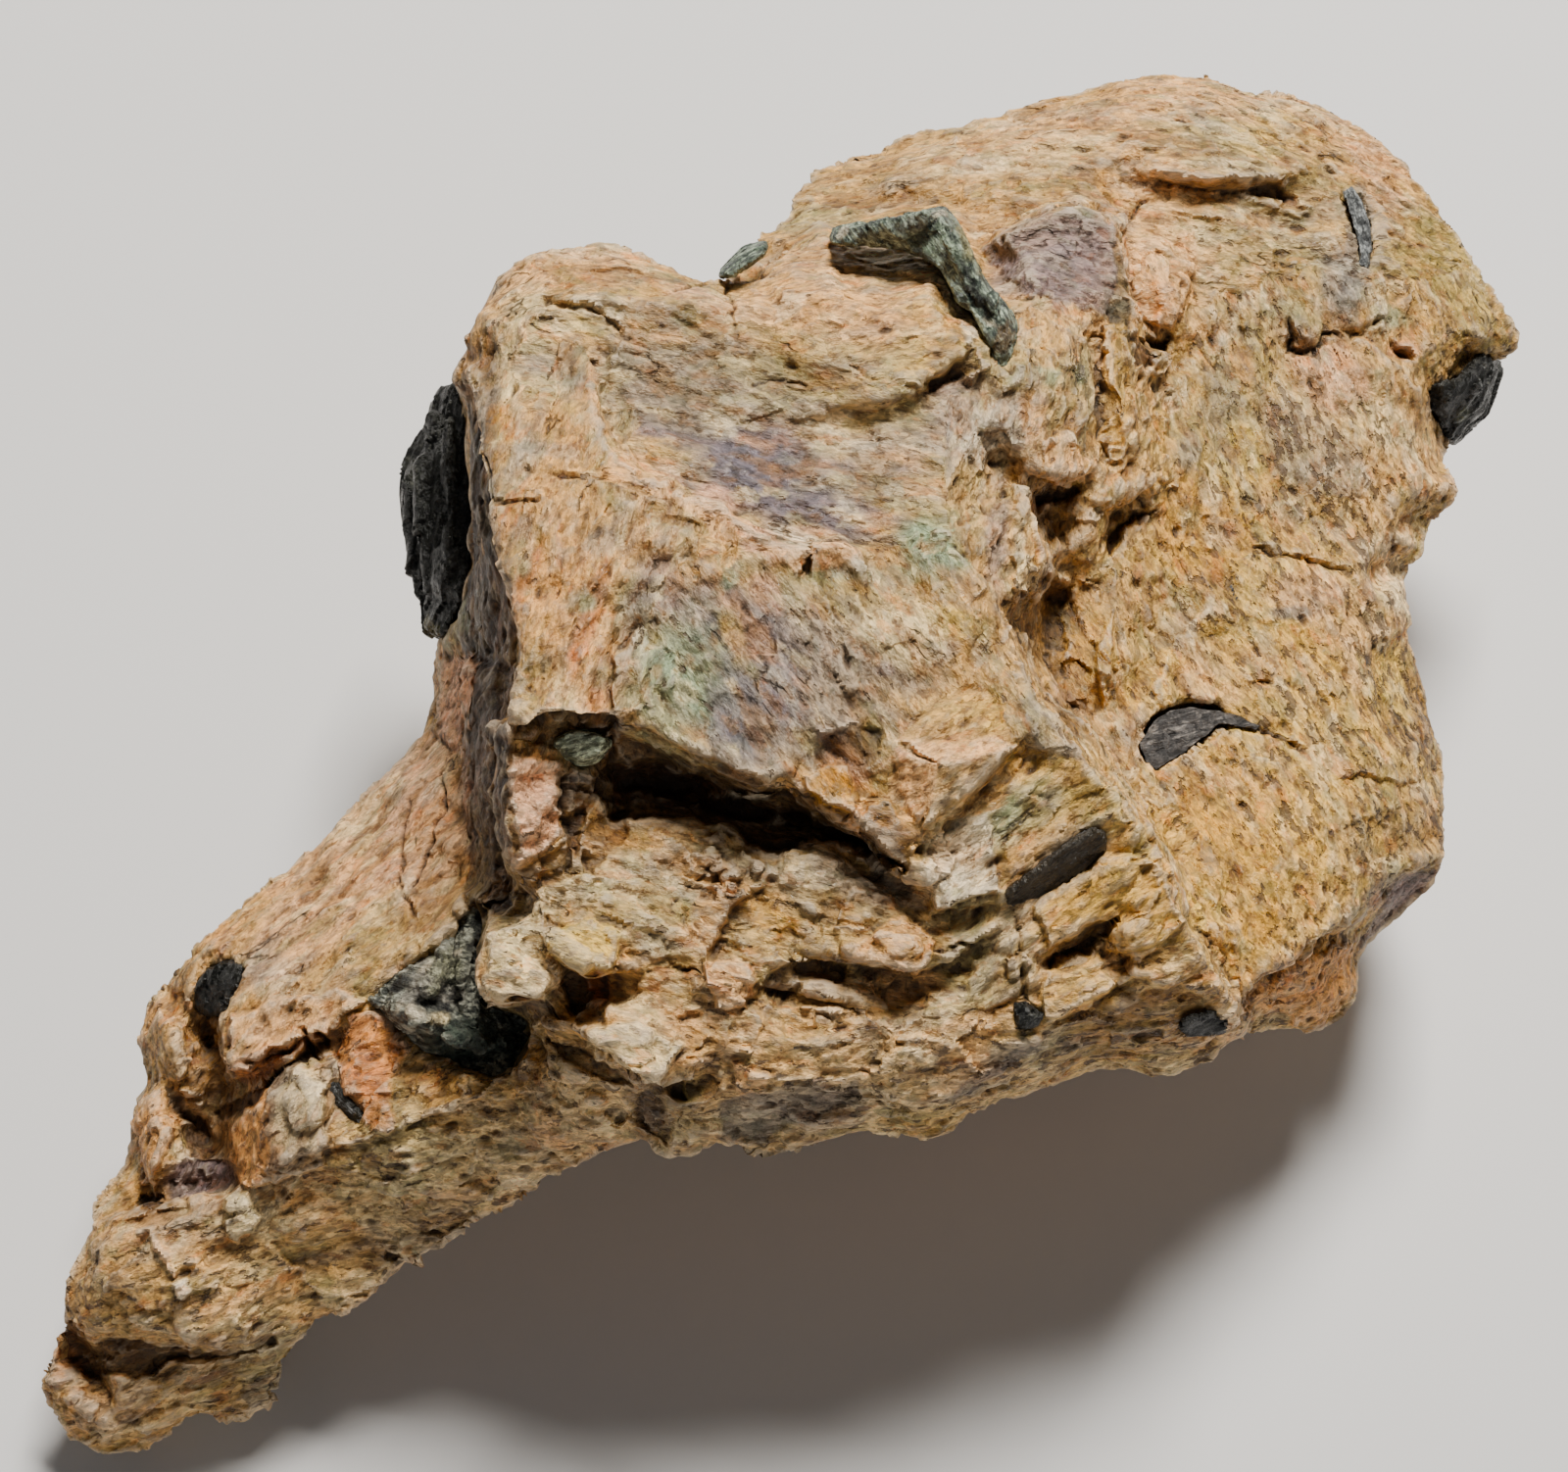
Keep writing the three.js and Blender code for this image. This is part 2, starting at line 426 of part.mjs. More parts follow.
    edge: [
      [28, 63.6, 76], [32, 65.4, 77], [35, 66.6, 77.4], [37.6, 67.2, 77.4], [40.6, 66, 76],
      [42.4, 63.4, 74.4], [43, 60, 73], [43.2, 56.6, 72.4], [44.8, 52.6, 71], [45.4, 49.4, 70],
    ],
    reach: 1.2,
    drop: 8,
  },
  {
    edge: [[31.8, 34, 80], [33.6, 33.4, 79.4], [36, 33.2, 78], [38, 33.8, 76.4]],
    reach: -1.3,
    drop: 9,
  },
  { edge: [[41, 30.6, 70], [43, 31, 69], [45.8, 32, 66]], reach: -1.5, drop: 8 },
  {
    edge: [[31, 30.4, 80], [32.4, 25, 79], [33.2, 20.4, 77.6], [31.4, 17.8, 78], [28.2, 18, 80]],
    reach: 1.2,
    drop: 9,
  },
  // The pale ridge above the valley and the dish.
  {
    edge: [
      [26.8, 16.8, 81.4], [28, 14, 80.8], [29.3, 11, 80], [30.2, 8, 79.4], [31.2, 5, 78.8],
      [33.6, 2.3, 78], [36, 0, 77], [39, -3.8, 75.4], [41, -6, 74], [44, -9.2, 72.4], [46, -12, 70.6],
      [48, -16, 68.4], [50, -20, 65.6], [51.6, -25, 62], [54, -29.4, 58], [56.4, -33.6, 53],
    ],
    reach: 0.95,
    drop: 7,
  },
  {
    edge: [[64, 50, 57.4], [66.4, 49, 57], [68.4, 50.8, 57], [72.6, 51.4, 56.4], [75.6, 51, 55.6]],
    reach: 1,
    drop: -1.6,
  },
  {
    edge: [[46.8, 6.4, 56.8], [48.6, 10, 57], [50.6, 13, 57], [53.6, 16, 56.6]],
    reach: 0.95,
    drop: 1.8,
  },
  {
    edge: [[51, -19.6, 56], [52, -22.4, 55], [53.6, -24.6, 54], [55.6, -24.8, 53.6]],
    reach: 0.95,
    drop: 1.8,
  },
];

// The sides, the back and the underside, which are turned away. The rest face is flat, at no height.
const restFace = [
  [-19, -24, 0], [-8, -33, 0], [8, -37, 0], [26, -35, 0], [44, -24, 0], [54, -8, 0], [46, 8, 0],
  [24, 14, 0], [0, 10, 0], [-16, -4, 0], [-19, -24, 0],
];
const rearCreases = [
  restFace,
  [[-84, -85.6, 0], [-78.6, -85.4, 0], [-76, -81, 0], [-82, -80, 0], [-84, -85.6, 0]],
  [
    [-39, 45, 58], [-30, 50, 57], [-20, 49, 55], [-12, 46, 52], [0, 51, 48], [12, 60, 42], [28, 66, 40],
    [45, 70, 38], [60, 66, 36], [74, 58, 33], [84, 46, 30], [86, 41, 29],
  ],
  [
    [-37, 26, 22], [-26, 27, 14], [-10, 28, 11], [8, 38, 11], [25, 46, 9], [42, 48, 8], [58, 44, 9],
    [70, 34, 10], [77, 20, 13], [79, 5, 15], [78, -8, 17],
  ],
  [
    [-41, 30, 38], [-40.4, 18, 32], [-40.6, 6, 26], [-44, -6, 24], [-56, -19, 22], [-64, -26, 19],
    [-72, -36, 15], [-78, -48, 11], [-83, -60, 9], [-88, -72, 7],
  ],
  [
    [-34, 8, 12], [-36, -8, 9], [-46, -24, 9], [-56, -36, 7], [-66, -48, 5], [-76, -62, 4],
    [-84, -76, 4],
  ],
  [[-28, -44, 10], [-40, -52, 10], [-52, -62, 8], [-64, -74, 5]],
  [
    [-10, -46, 26], [8, -45, 24], [26, -42, 22], [44, -37, 18], [56, -30, 12], [70, -28, 14],
    [76, -18, 18],
  ],
  [[62, -22, 7], [70, -8, 7], [70, 8, 6], [60, 24, 5]],
];

// Crystal masses: the edge that is seen, the crests of the seen face, and how deep each goes in.
const crystals = [
  {
    name: "aegirine_left_mass",
    depth: 12,
    chip: 1.3,
    edge: [
      [-45.6, 14, 46], [-46.2, 18, 46], [-47.3, 22, 46], [-47.8, 27, 46], [-48.3, 31, 47],
      [-48, 34, 48], [-46.5, 37.8, 50], [-45.2, 40.5, 52], [-44.8, 42.3, 54], [-43.3, 44, 57],
      [-41.8, 44.6, 60], [-40.7, 41, 61], [-40.1, 35, 60], [-39.6, 28, 58], [-40.1, 22, 56],
      [-41.3, 17, 53], [-43.5, 13, 50],
    ],
    crests: [[[-44.6, 38, 58], [-44.4, 32, 56], [-44, 26, 55], [-44.2, 20, 53]]],
    prisms: [
      { from: [-43.8, 18, 48], to: [-45.4, 36.4, 56], width: 5, flatness: 0.55, roll: 20 },
      { from: [-46, 18, 45], to: [-47.2, 33, 50], width: 3.6, flatness: 0.6, roll: 50 },
      { from: [-42.4, 21, 54], to: [-42.8, 40.6, 61.6], width: 3, flatness: 0.6, roll: 80 },
      { from: [-44.6, 25, 52], to: [-44.4, 41.4, 57.4], width: 2.6, flatness: 0.7, roll: 10 },
    ],
  },
  {
    name: "aegirine_pocket_mass",
    depth: 11,
    chip: 0.9,
    edge: [
      [-39.8, -21.4, 50], [-37.6, -22.4, 51], [-38, -26, 51], [-39, -30, 50], [-38.6, -34, 48],
      [-34, -35.8, 46], [-31.6, -36.6, 45], [-33, -40, 44], [-35.5, -43, 43], [-38, -43.4, 43],
      [-42, -41.8, 43], [-46, -39.7, 44], [-49, -37, 45], [-51, -34.7, 46], [-52.8, -33.6, 46.4],
      [-50.3, -31.8, 47], [-48, -29.8, 47.6], [-45, -27.8, 48], [-42.2, -26, 48.4], [-41.2, -23, 49],
    ],
    crests: [
      [[-48.6, -35.4, 50], [-45, -37.4, 50], [-41.6, -36.4, 49.4]],
      [[-46.4, -31.6, 50], [-43, -30, 51], [-40.8, -26.6, 51]],
    ],
    prisms: [
      { from: [-36.4, -38.4, 46], to: [-48.2, -34.8, 51], width: 3.2, flatness: 0.6, roll: 30 },
      { from: [-35.4, -39.6, 46], to: [-43.6, -38.2, 50.4], width: 2.6, flatness: 0.7, roll: 60 },
      { from: [-41.6, -27, 50], to: [-46.4, -33, 52.6], width: 3, flatness: 0.6, roll: 10 },
      { from: [-39.8, -24.4, 51], to: [-41, -31, 53], width: 2.2, flatness: 0.7, roll: 0 },
      { from: [-38.4, -40.6, 45.4], to: [-41, -30.4, 52.4], width: 2.4, flatness: 0.6, roll: 45 },
    ],
  },
  {
    name: "aegirine_ridge_vein",
    depth: 7,
    chip: 0.7,
    edge: [
      [5.8, 62.9, 85.5], [6.6, 64.9, 85], [9.5, 65.4, 85], [13, 65, 85.6], [16, 66.4, 87],
      [18.5, 67, 88], [20.3, 67.4, 88.4], [22, 65.3, 87.4], [23.5, 62.3, 86.6], [25, 59, 86],
      [26.5, 56.8, 85.4], [28.3, 55, 85], [29.5, 52.6, 84.4], [29.3, 50, 84], [28.4, 46.8, 83.4],
      [27.4, 46.8, 84.4], [26.8, 49, 85.6], [25.6, 51.6, 86.6], [24.4, 54, 87], [22.3, 55.3, 87.6],
      [21.3, 57.3, 88], [20, 59.8, 88], [17.5, 61.2, 88], [15, 62.2, 87.6], [11.5, 62.6, 87],
      [8.5, 62.7, 86.4],
    ],
    crests: [
      [
        [16, 64.6, 89.4], [19.6, 66, 91], [21.2, 63, 90.4], [23, 59.5, 89.6], [25.4, 56.2, 88.6],
        [27.6, 53.2, 87.6],
      ],
    ],
    prisms: [
      { from: [8, 63.6, 86], to: [19.4, 66, 92], width: 3, flatness: 0.7, roll: 30 },
      { from: [28, 50, 84.6], to: [21, 64.6, 92], width: 3.4, flatness: 0.6, roll: 20 },
      { from: [27.6, 48.4, 84.4], to: [26.6, 57, 89], width: 2.4, flatness: 0.7, roll: 70 },
      { from: [10, 64, 85.4], to: [16, 64.2, 90], width: 2.2, flatness: 0.8, roll: 0 },
    ],
  },
  {
    name: "aegirine_ridge_tip",
    depth: 5,
    chip: 0.5,
    edge: [
      [-8.3, 58.6, 84.4], [-7, 60, 84.6], [-5, 62, 84.6], [-2.2, 63, 84.6], [-2.6, 61.7, 86],
      [-4.5, 60.2, 86.4], [-6.5, 58.8, 86],
    ],
    crests: [],
    prisms: [],
  },
  {
    name: "aegirine_step_prism",
    depth: 8,
    chip: 0.15,
    edge: [
      [28.4, -19.9, 69], [30.5, -18.3, 69.8], [33, -16.4, 70.6], [36.8, -13.4, 71.8], [39.5, -12, 72.2],
      [40.8, -12.6, 71.6], [41, -14.6, 69], [38, -17.4, 67.4], [35, -19.3, 66.4], [32.3, -20.9, 65.6],
      [29.7, -22.2, 65], [28.8, -21.8, 65.8],
    ],
    crests: [],
    prisms: [],
  },
  {
    name: "aegirine_rim_mass",
    depth: 11,
    chip: 0.8,
    edge: [
      [82.2, 45, 49], [84, 44.8, 49.6], [86, 45.3, 49.4], [87.5, 47, 49], [89, 49, 48],
      [91.4, 46.8, 45], [90.4, 43.8, 42], [89.4, 41.2, 40], [87, 39.4, 38], [85.3, 37.5, 38],
      [84, 39.5, 42], [82.6, 42, 45.6],
    ],
    crests: [[[84.6, 42.6, 47.4], [87.6, 44, 47]]],
    prisms: [
      { from: [85.2, 40.4, 42], to: [88.2, 45.8, 48.6], width: 3.2, flatness: 0.6, roll: 20 },
      { from: [87, 41, 40], to: [89.4, 45.4, 45.4], width: 2.4, flatness: 0.6, roll: 50 },
    ],
  },
  {
    name: "aegirine_tail_patch",
    depth: 6,
    chip: 0.6,
    edge: [
      [-75, -32, 37], [-73.5, -30, 39], [-71, -28.8, 41], [-69, -29.5, 42.4], [-69.5, -32, 41.6],
      [-71, -35, 38.4], [-73.5, -35.7, 35], [-75, -34.2, 35],
    ],
    crests: [],
    prisms: [],
  },
  {
    name: "aegirine_blade",
    depth: 5,
    chip: 0.2,
    edge: [
      [71.2, 69.5, 61.4], [72.5, 70.4, 61.2], [74, 68, 60.8], [75, 65, 60.2], [75.2, 62, 59.6],
      [74.8, 59.5, 59], [73.3, 60, 59.2], [73, 63, 60], [72, 66.5, 60.8],
    ],
    crests: [],
    prisms: [],
  },
  {
    name: "aegirine_dish_lens",
    depth: 4,
    chip: 0.2,
    edge: [
      [46, -3.5, 55], [45, -1, 55.4], [47, 2, 55.6], [49, 3.3, 55.4], [52, 3.8, 55], [55, 3.5, 54.6],
      [58, 2.8, 54.2], [61, 1.4, 53.8], [60.5, 0.4, 53.8], [57, 1.2, 54.2], [55.5, 1.3, 54.4],
      [54, 0, 54.4], [51.5, -2, 54.4], [49, -3.5, 54.4], [47.5, -4.5, 54.6],
    ],
    crests: [],
    prisms: [],
  },
  {
    name: "aegirine_needle",
    depth: 3.5,
    chip: 0.1,
    edge: [
      [54.8, 22.2, 55.6], [55.8, 21.4, 55.4], [57.6, 18.9, 54.8], [60.2, 17, 54.2], [59, 16.2, 54.2],
      [56.6, 17.8, 54.6], [55.1, 20.2, 55.2],
    ],
    crests: [],
    prisms: [],
  },
  {
    name: "aegirine_flank_bead",
    depth: 5,
    chip: 0.4,
    edge: [
      [50.3, -36.8, 52], [52, -35.8, 53], [54.5, -35.2, 52], [56.6, -36.4, 48.4], [56.2, -37.6, 46.6],
      [54, -38, 47], [51.5, -38.2, 49],
    ],
    crests: [],
    prisms: [],
  },
  {
    name: "aegirine_terrace_bead",
    depth: 4,
    chip: 0.3,
    edge: [
      [29.3, -34.3, 60.6], [31, -34, 60.6], [33, -35.5, 59.6], [32.6, -37, 58.6], [30.8, -37.2, 58.8],
      [29.5, -36, 59.8],
    ],
    crests: [],
    prisms: [],
  },
  {
    name: "aegirine_tail_slit",
    depth: 6,
    chip: 0.2,
    edge: [
      [-58.8, -44.3, 42.4], [-57.2, -43.9, 42.8], [-55.5, -46, 42.4], [-53, -49, 41.6],
      [-51.5, -50.7, 41], [-53, -51, 40.6], [-55.5, -48.9, 40.8], [-57.5, -46.9, 41.2],
    ],
    crests: [],
    prisms: [],
  },
  {
    name: "aegirine_ledge_shard",
    depth: 4,
    chip: 0.2,
    edge: [
      [-29.3, -0.8, 77.4], [-27, 0.5, 77.6], [-24, 0.1, 77.6], [-22.5, -0.8, 77], [-24.2, -2.9, 75.4],
      [-26, -3.2, 75], [-28, -2.3, 75.6],
    ],
    crests: [],
    prisms: [],
  },
];

// Where the seen ground is rougher or smoother than elsewhere: a middle, a reach and a factor.
const groundTexture = [
  { middle: [-10, -30], reach: 42, factor: 1.9 },
  { middle: [38, 35], reach: 18, factor: 1.7 },
  { middle: [66, 5], reach: 34, factor: 0.55 },
  { middle: [5, 56], reach: 16, factor: 0.45 },
  { middle: [-56, -20], reach: 16, factor: 0.7 },
  { middle: [24, -16], reach: 6, factor: 0.4 },
];

// Turns a sighted place into a point of the rock.
function place([across, up, height]) {
  const onPlane = sightPoint.clone().addScaledVector(sightUp, up);
  onPlane.x += across;
  const along = (height - eye.z) / (onPlane.z - eye.z);
  return eye.clone().lerp(onPlane, along);
}

// A repeatable number from 0 to 1 for a whole-number place.
function scatter(i, j, k) {
  const mixed = Math.sin(i * 127.1 + j * 311.7 + k * 74.7) * 43758.5453;
  return mixed - Math.floor(mixed);
}

// Smooth noise from -1 to 1 in the rock, with lumps of the given size.
function noise(point, size, seed) {
  const cell = [point.x / size + seed, point.y / size, point.z / size];
  const low = cell.map(Math.floor);
  const share = cell.map((value, axis) => THREE.MathUtils.smoothstep(value - low[axis], 0, 1));
  let sum = 0;
  for (let corner = 0; corner < 8; corner++) {
    const step = [corner & 1, (corner >> 1) & 1, corner >> 2];
    const weight = step.reduce((product, up, axis) => product * (up ? share[axis] : 1 - share[axis]), 1);
    sum += weight * scatter(low[0] + step[0], low[1] + step[1], low[2] + step[2] + seed);
  }
  return 2 * sum - 1;
}

// How rough the seen ground is at a place.
function texture(across, up) {
  return groundTexture.reduce((factor, { middle, reach, factor: here }) => {
    const away = Math.hypot(across - middle[0], up - middle[1]) / reach;
    return factor * THREE.MathUtils.lerp(here, 1, THREE.MathUtils.smoothstep(away, 0.4, 1));
  }, 1);
}

// Places along a line, no further apart than the step.
function along(line, step) {
  const places = [];
  for (let i = 0; i + 1 < line.length; i++) {
    const [a, b] = [line[i], line[i + 1]];
    const pieces = Math.max(1, Math.round(Math.hypot(b[0] - a[0], b[1] - a[1]) / step));
    const at = (share) => a.map((value, axis) => value + (b[axis] - value) * share);
    for (let k = 0; k < pieces; k++) places.push(at(k / pieces));
  }
  return [...places, line.at(-1)];
}

// Says whether a place is inside a ring.
function inside(ring, across, up) {
  let within = false;
  for (let i = 0, j = ring.length - 1; i < ring.length; j = i++) {
    const [a, b] = [ring[i], ring[j]];
    if (a[1] > up === b[1] > up) continue;
    const crossing = ((b[0] - a[0]) * (up - a[1])) / (b[1] - a[1]) + a[0];
    if (across < crossing) within = !within;
  }
  return within;
}

// How far a place is from a ring's line.
function distanceToRing(ring, across, up) {
  let nearest = Infinity;
  for (let i = 0, j = ring.length - 1; i < ring.length; j = i++) {
    const [a, b] = [ring[i], ring[j]];
    const [dx, dy] = [b[0] - a[0], b[1] - a[1]];
    const reach = ((across - a[0]) * dx + (up - a[1]) * dy) / (dx * dx + dy * dy);
    const share = THREE.MathUtils.clamp(reach, 0, 1);
    nearest = Math.min(nearest, Math.hypot(across - a[0] - share * dx, up - a[1] - share * dy));
  }
  return nearest;
}

// The circle through three places, for the triangulation.
function circleThrough(a, b, c) {
  const [bx, by, cx, cy] = [b[0] - a[0], b[1] - a[1], c[0] - a[0], c[1] - a[1]];
  const twice = 2 * (bx * cy - by * cx);
  const x = (cy * (bx * bx + by * by) - by * (cx * cx + cy * cy)) / twice;
  const y = (bx * (cx * cx + cy * cy) - cx * (bx * bx + by * by)) / twice;
  return { x: a[0] + x, y: a[1] + y, square: x * x + y * y };
}

// Delaunay triangles over places, by adding one place at a time. Corners run anticlockwise.
function triangulate(places) {
  const far = 1e4;
  const corners = [...places, [-far, -far], [far, -far], [0, far]];
  const count = places.length;
  const make = (a, b, c) => ({ a, b, c, circle: circleThrough(corners[a], corners[b], corners[c]) });
  let triangles = [make(count, count + 1, count + 2)];
  for (let p = 0; p < count; p++) {
    const [x, y] = places[p];
    const edges = new Map();
    const kept = [];
    for (const t of triangles) {
      const { circle } = t;
      if ((x - circle.x) ** 2 + (y - circle.y) ** 2 >= circle.square) {
        kept.push(t);
        continue;
      }
      for (const [from, to] of [[t.a, t.b], [t.b, t.c], [t.c, t.a]]) {
        const back = `${to},${from}`;
        if (edges.has(back)) edges.delete(back);
        else edges.set(`${from},${to}`, [from, to]);
      }
    }
    for (const [from, to] of edges.values()) kept.push(make(from, to, p));
    triangles = kept;
  }
  return triangles.map(({ a, b, c }) => [a, b, c]).filter((corner) => Math.max(...corner) < count);
}

// The height under a place, read from triangles that already cover it.
function heightOver(places, triangles, across, up) {
  const hair = 1e-9;
  for (const [ia, ib, ic] of triangles) {
    const [a, b, c] = [places[ia], places[ib], places[ic]];
    const area = (b[0] - a[0]) * (c[1] - a[1]) - (b[1] - a[1]) * (c[0] - a[0]);
    const wb = ((across - a[0]) * (c[1] - a[1]) - (up - a[1]) * (c[0] - a[0])) / area;
    const wc = ((b[0] - a[0]) * (up - a[1]) - (b[1] - a[1]) * (across - a[0])) / area;
    if (Math.min(wb, wc, 1 - wb - wc) >= -hair) return a[2] + wb * (b[2] - a[2]) + wc * (c[2] - a[2]);
  }
  return undefined;
}

// Fills a ring with places: first those on its lines, then a lattice of facets between them.
function cover(ring, lines, facet, roughen, clearance) {
  const places = ring.map((p) => [...p]);
  const room = (across, up, apart) =>
    inside(ring, across, up) && distanceToRing(ring, across, up) > clearance
    && places.every((p) => Math.hypot(p[0] - across, p[1] - up) > apart);
  for (const line of lines)
    for (const p of along(line, lineStep)) if (room(p[0], p[1], closestPoints)) places.push([...p]);
  const within = (triangles, from) =>
    triangles.filter((t) => {
      const middle = [0, 1].map((axis) => t.reduce((sum, corner) => sum + from[corner][axis], 0) / 3);
      return inside(ring, middle[0], middle[1]);
    });
  const coarse = [...places];
  const ground = within(triangulate(coarse), coarse);
  const spans = [0, 1].map((axis) => {
    const values = ring.map((p) => p[axis]);
    return [Math.min(...values), Math.max(...values)];
  });
  const rowHeight = facet * Math.sqrt(0.75);
  for (let j = 0; spans[1][0] + j * rowHeight < spans[1][1]; j++)
    for (let i = 0; spans[0][0] + i * facet < spans[0][1]; i++) {
      const across = spans[0][0] + (i + (j % 2) / 2 + facetJitter * (scatter(i, j, 1) - 0.5)) * facet;
      const up = spans[1][0] + (j + facetJitter * (scatter(i, j, 2) - 0.5)) * rowHeight;
      if (!room(across, up, facetSpacing * facet)) continue;
      const lift = roughen(across, up, scatter(i, j, 3));
      places.push([across, up, heightOver(coarse, ground, across, up) + lift]);
    }
  const heightAt = (x, y) => heightOver(coarse, ground, x, y);
  return { places, triangles: within(triangulate(places), places), heightAt };
}

// Says whether a ring runs clockwise on the sight plane.
function runsClockwise(ring) {
  return THREE.ShapeUtils.area(ring.map(([x, y]) => ({ x, y }))) < 0;
}

// Points and faces that close a front sheet and a rear sheet. Rings that differ get a wall between.
function shellBetween(front, rear, ringLength, shared) {
  const points = front.places.map(place);
  const rearIndex = rear.places.map((p, i) => (shared && i < ringLength ? i : points.push(place(p)) - 1));
  const faces = front.triangles.map((t) => [...t]);
  for (const [a, b, c] of rear.triangles) faces.push([rearIndex[c], rearIndex[b], rearIndex[a]]);
  if (!shared) {
    const clockwise = runsClockwise(front.places.slice(0, ringLength));
    for (let i = 0; i < ringLength; i++) {
      const next = (i + 1) % ringLength;
      const [from, to] = clockwise ? [i, next] : [next, i];
      faces.push([from, to, rearIndex[to]], [from, rearIndex[to], rearIndex[from]]);
    }
  }
  return { points, faces };
}

// A closed solid from points and faces.
function solidOf({ points, faces }) {
  return new wasm.Manifold(
    new wasm.Mesh({
      numProp: 3,
      vertProperties: new Float32Array(points.flatMap((p) => p.toArray())),
      triVerts: new Uint32Array(faces.flat()),
    }),
  );
}

// Halves every edge that is longer than its limit, so that steep faces keep an even grain.
function refined({ points, faces }, limitOf) {
  const middles = new Map();
  const middle = (a, b) => {
    if (points[a].distanceTo(points[b]) <= limitOf(a, b)) return undefined;
    const key = a < b ? `${a},${b}` : `${b},${a}`;
    if (!middles.has(key)) middles.set(key, points.push(points[a].clone().lerp(points[b], 0.5)) - 1);
    return middles.get(key);
  };
  const finer = faces.flatMap(([a, b, c]) => {
    const sides = [middle(a, b), middle(b, c), middle(c, a)];
    const split = sides.filter((m) => m !== undefined).length;
    if (split === 0) return [[a, b, c]];
    const whole = sides.indexOf(undefined);
    const halved = sides.findIndex((m) => m !== undefined);
    const first = split === 2 ? (whole + 1) % 3 : halved;
    const [p, q, r] = [0, 1, 2].map((k) => [a, b, c][(first + k) % 3]);
    const [pq, qr, rp] = [0, 1, 2].map((k) => sides[(first + k) % 3]);
    if (split === 1) return [[p, pq, r], [pq, q, r]];
    if (split === 2) return [[pq, q, qr], [p, pq, qr], [p, qr, r]];
    return [[p, pq, rp], [pq, q, qr], [rp, qr, r], [pq, qr, rp]];
  });
  return { points, faces: finer };
}

// Draws each point towards its neighbours, apart from those that the keep test names.
function relaxed({ points, faces }, keep, rounds) {
  const neighbours = points.map(() => new Set());
  for (const face of faces) for (const a of face) for (const b of face) if (a !== b) neighbours[a].add(b);
  let current = points;
  for (let round = 0; round < rounds; round++)
    current = current.map((point, i) => {
      if (keep(i, points[i])) return point;
      const middle = new THREE.Vector3();
      for (const j of neighbours[i]) middle.addScaledVector(current[j], 1 / neighbours[i].size);
      return point.clone().lerp(middle, relaxShare);
    });
  return { points: current, faces };
}

// Broken faces from -1 to 1: each block of rock has a face of its own tilt and height.
function blocky(point, size, seed) {
  const cell = [point.x / size, point.y / size, point.z / size];
  const home = cell.map(Math.floor);
  let nearest = { distance: Infinity };
  for (let step = 0; step < 27; step++) {
    const shift = [step % 3, Math.floor(step / 3) % 3, Math.floor(step / 9)];
    const at = home.map((cellIndex, axis) => cellIndex + shift[axis] - 1);
    const own = [1, 2, 3, 4, 5, 6].map((k) => scatter(at[0] + seed, at[1] + 7 * k, at[2] + 13 * k));
    const offset = [0, 1, 2].map((axis) => cell[axis] - at[axis] - own[axis]);
    const distance = Math.hypot(...offset);
    const tilt = offset.reduce((sum, value, axis) => sum + value * (2 * own[axis + 3] - 1), 0);
    if (distance < nearest.distance) nearest = { distance, height: tilt + own[3] - 0.5 };
  }
  return THREE.MathUtils.clamp(nearest.height, -1, 1);
}

// Moves points along their normals by noise, apart from those that the keep test names.
function roughened({ points, faces }, keep, lumps) {
  const normals = points.map(() => new THREE.Vector3());
  for (const [a, b, c] of faces) {
    const side = points[b].clone().sub(points[a]);
    const normal = side.cross(points[c].clone().sub(points[a]));
    for (const corner of [a, b, c]) normals[corner].add(normal);
  }
  const moved = points.map((point, i) => {
    if (keep(i, point)) return point;
    const heights = lumps.map(({ form, size, height, seed }) => height * form(point, size, seed));
    const lift = heights.reduce((sum, height) => sum + height, 0);
    return point.clone().addScaledVector(normals[i].normalize(), lift);
  });
  return { points: moved, faces };
}

// The ring of places round an edge, evenly stepped.
function ringOf(edge, step) {
  return along([...edge, edge[0]], step).slice(0, -1);
}

// Moves a ring outwards on the sight plane.
function widened(ring, by) {
  const turn = runsClockwise(ring) ? 1 : -1;
  return ring.map((p, i) => {
    const before = ring[(i + ring.length - 1) % ring.length];
    const after = ring[(i + 1) % ring.length];
    const [dx, dy] = [after[0] - before[0], after[1] - before[1]];
    const length = Math.hypot(dx, dy);
    return [p[0] - (turn * by * dy) / length, p[1] + (turn * by * dx) / length, p[2]];
  });
}

// A line that runs beside another, to its left, or to its right for a negative reach.
function beside(line, reach) {
  return line.map((p, i) => {
    const [before, after] = [line[Math.max(0, i - 1)], line[Math.min(line.length - 1, i + 1)]];
    const [dx, dy] = [after[0] - before[0], after[1] - before[1]];
    const length = Math.hypot(dx, dy);
    return [p[0] - (reach * dy) / length, p[1] + (reach * dx) / length, p[2]];
  });
}

// Moves a sheet down.
function lowered(sheet, by) {
  return { ...sheet, places: sheet.places.map(([x, y, h]) => [x, y, h - by]) };
}

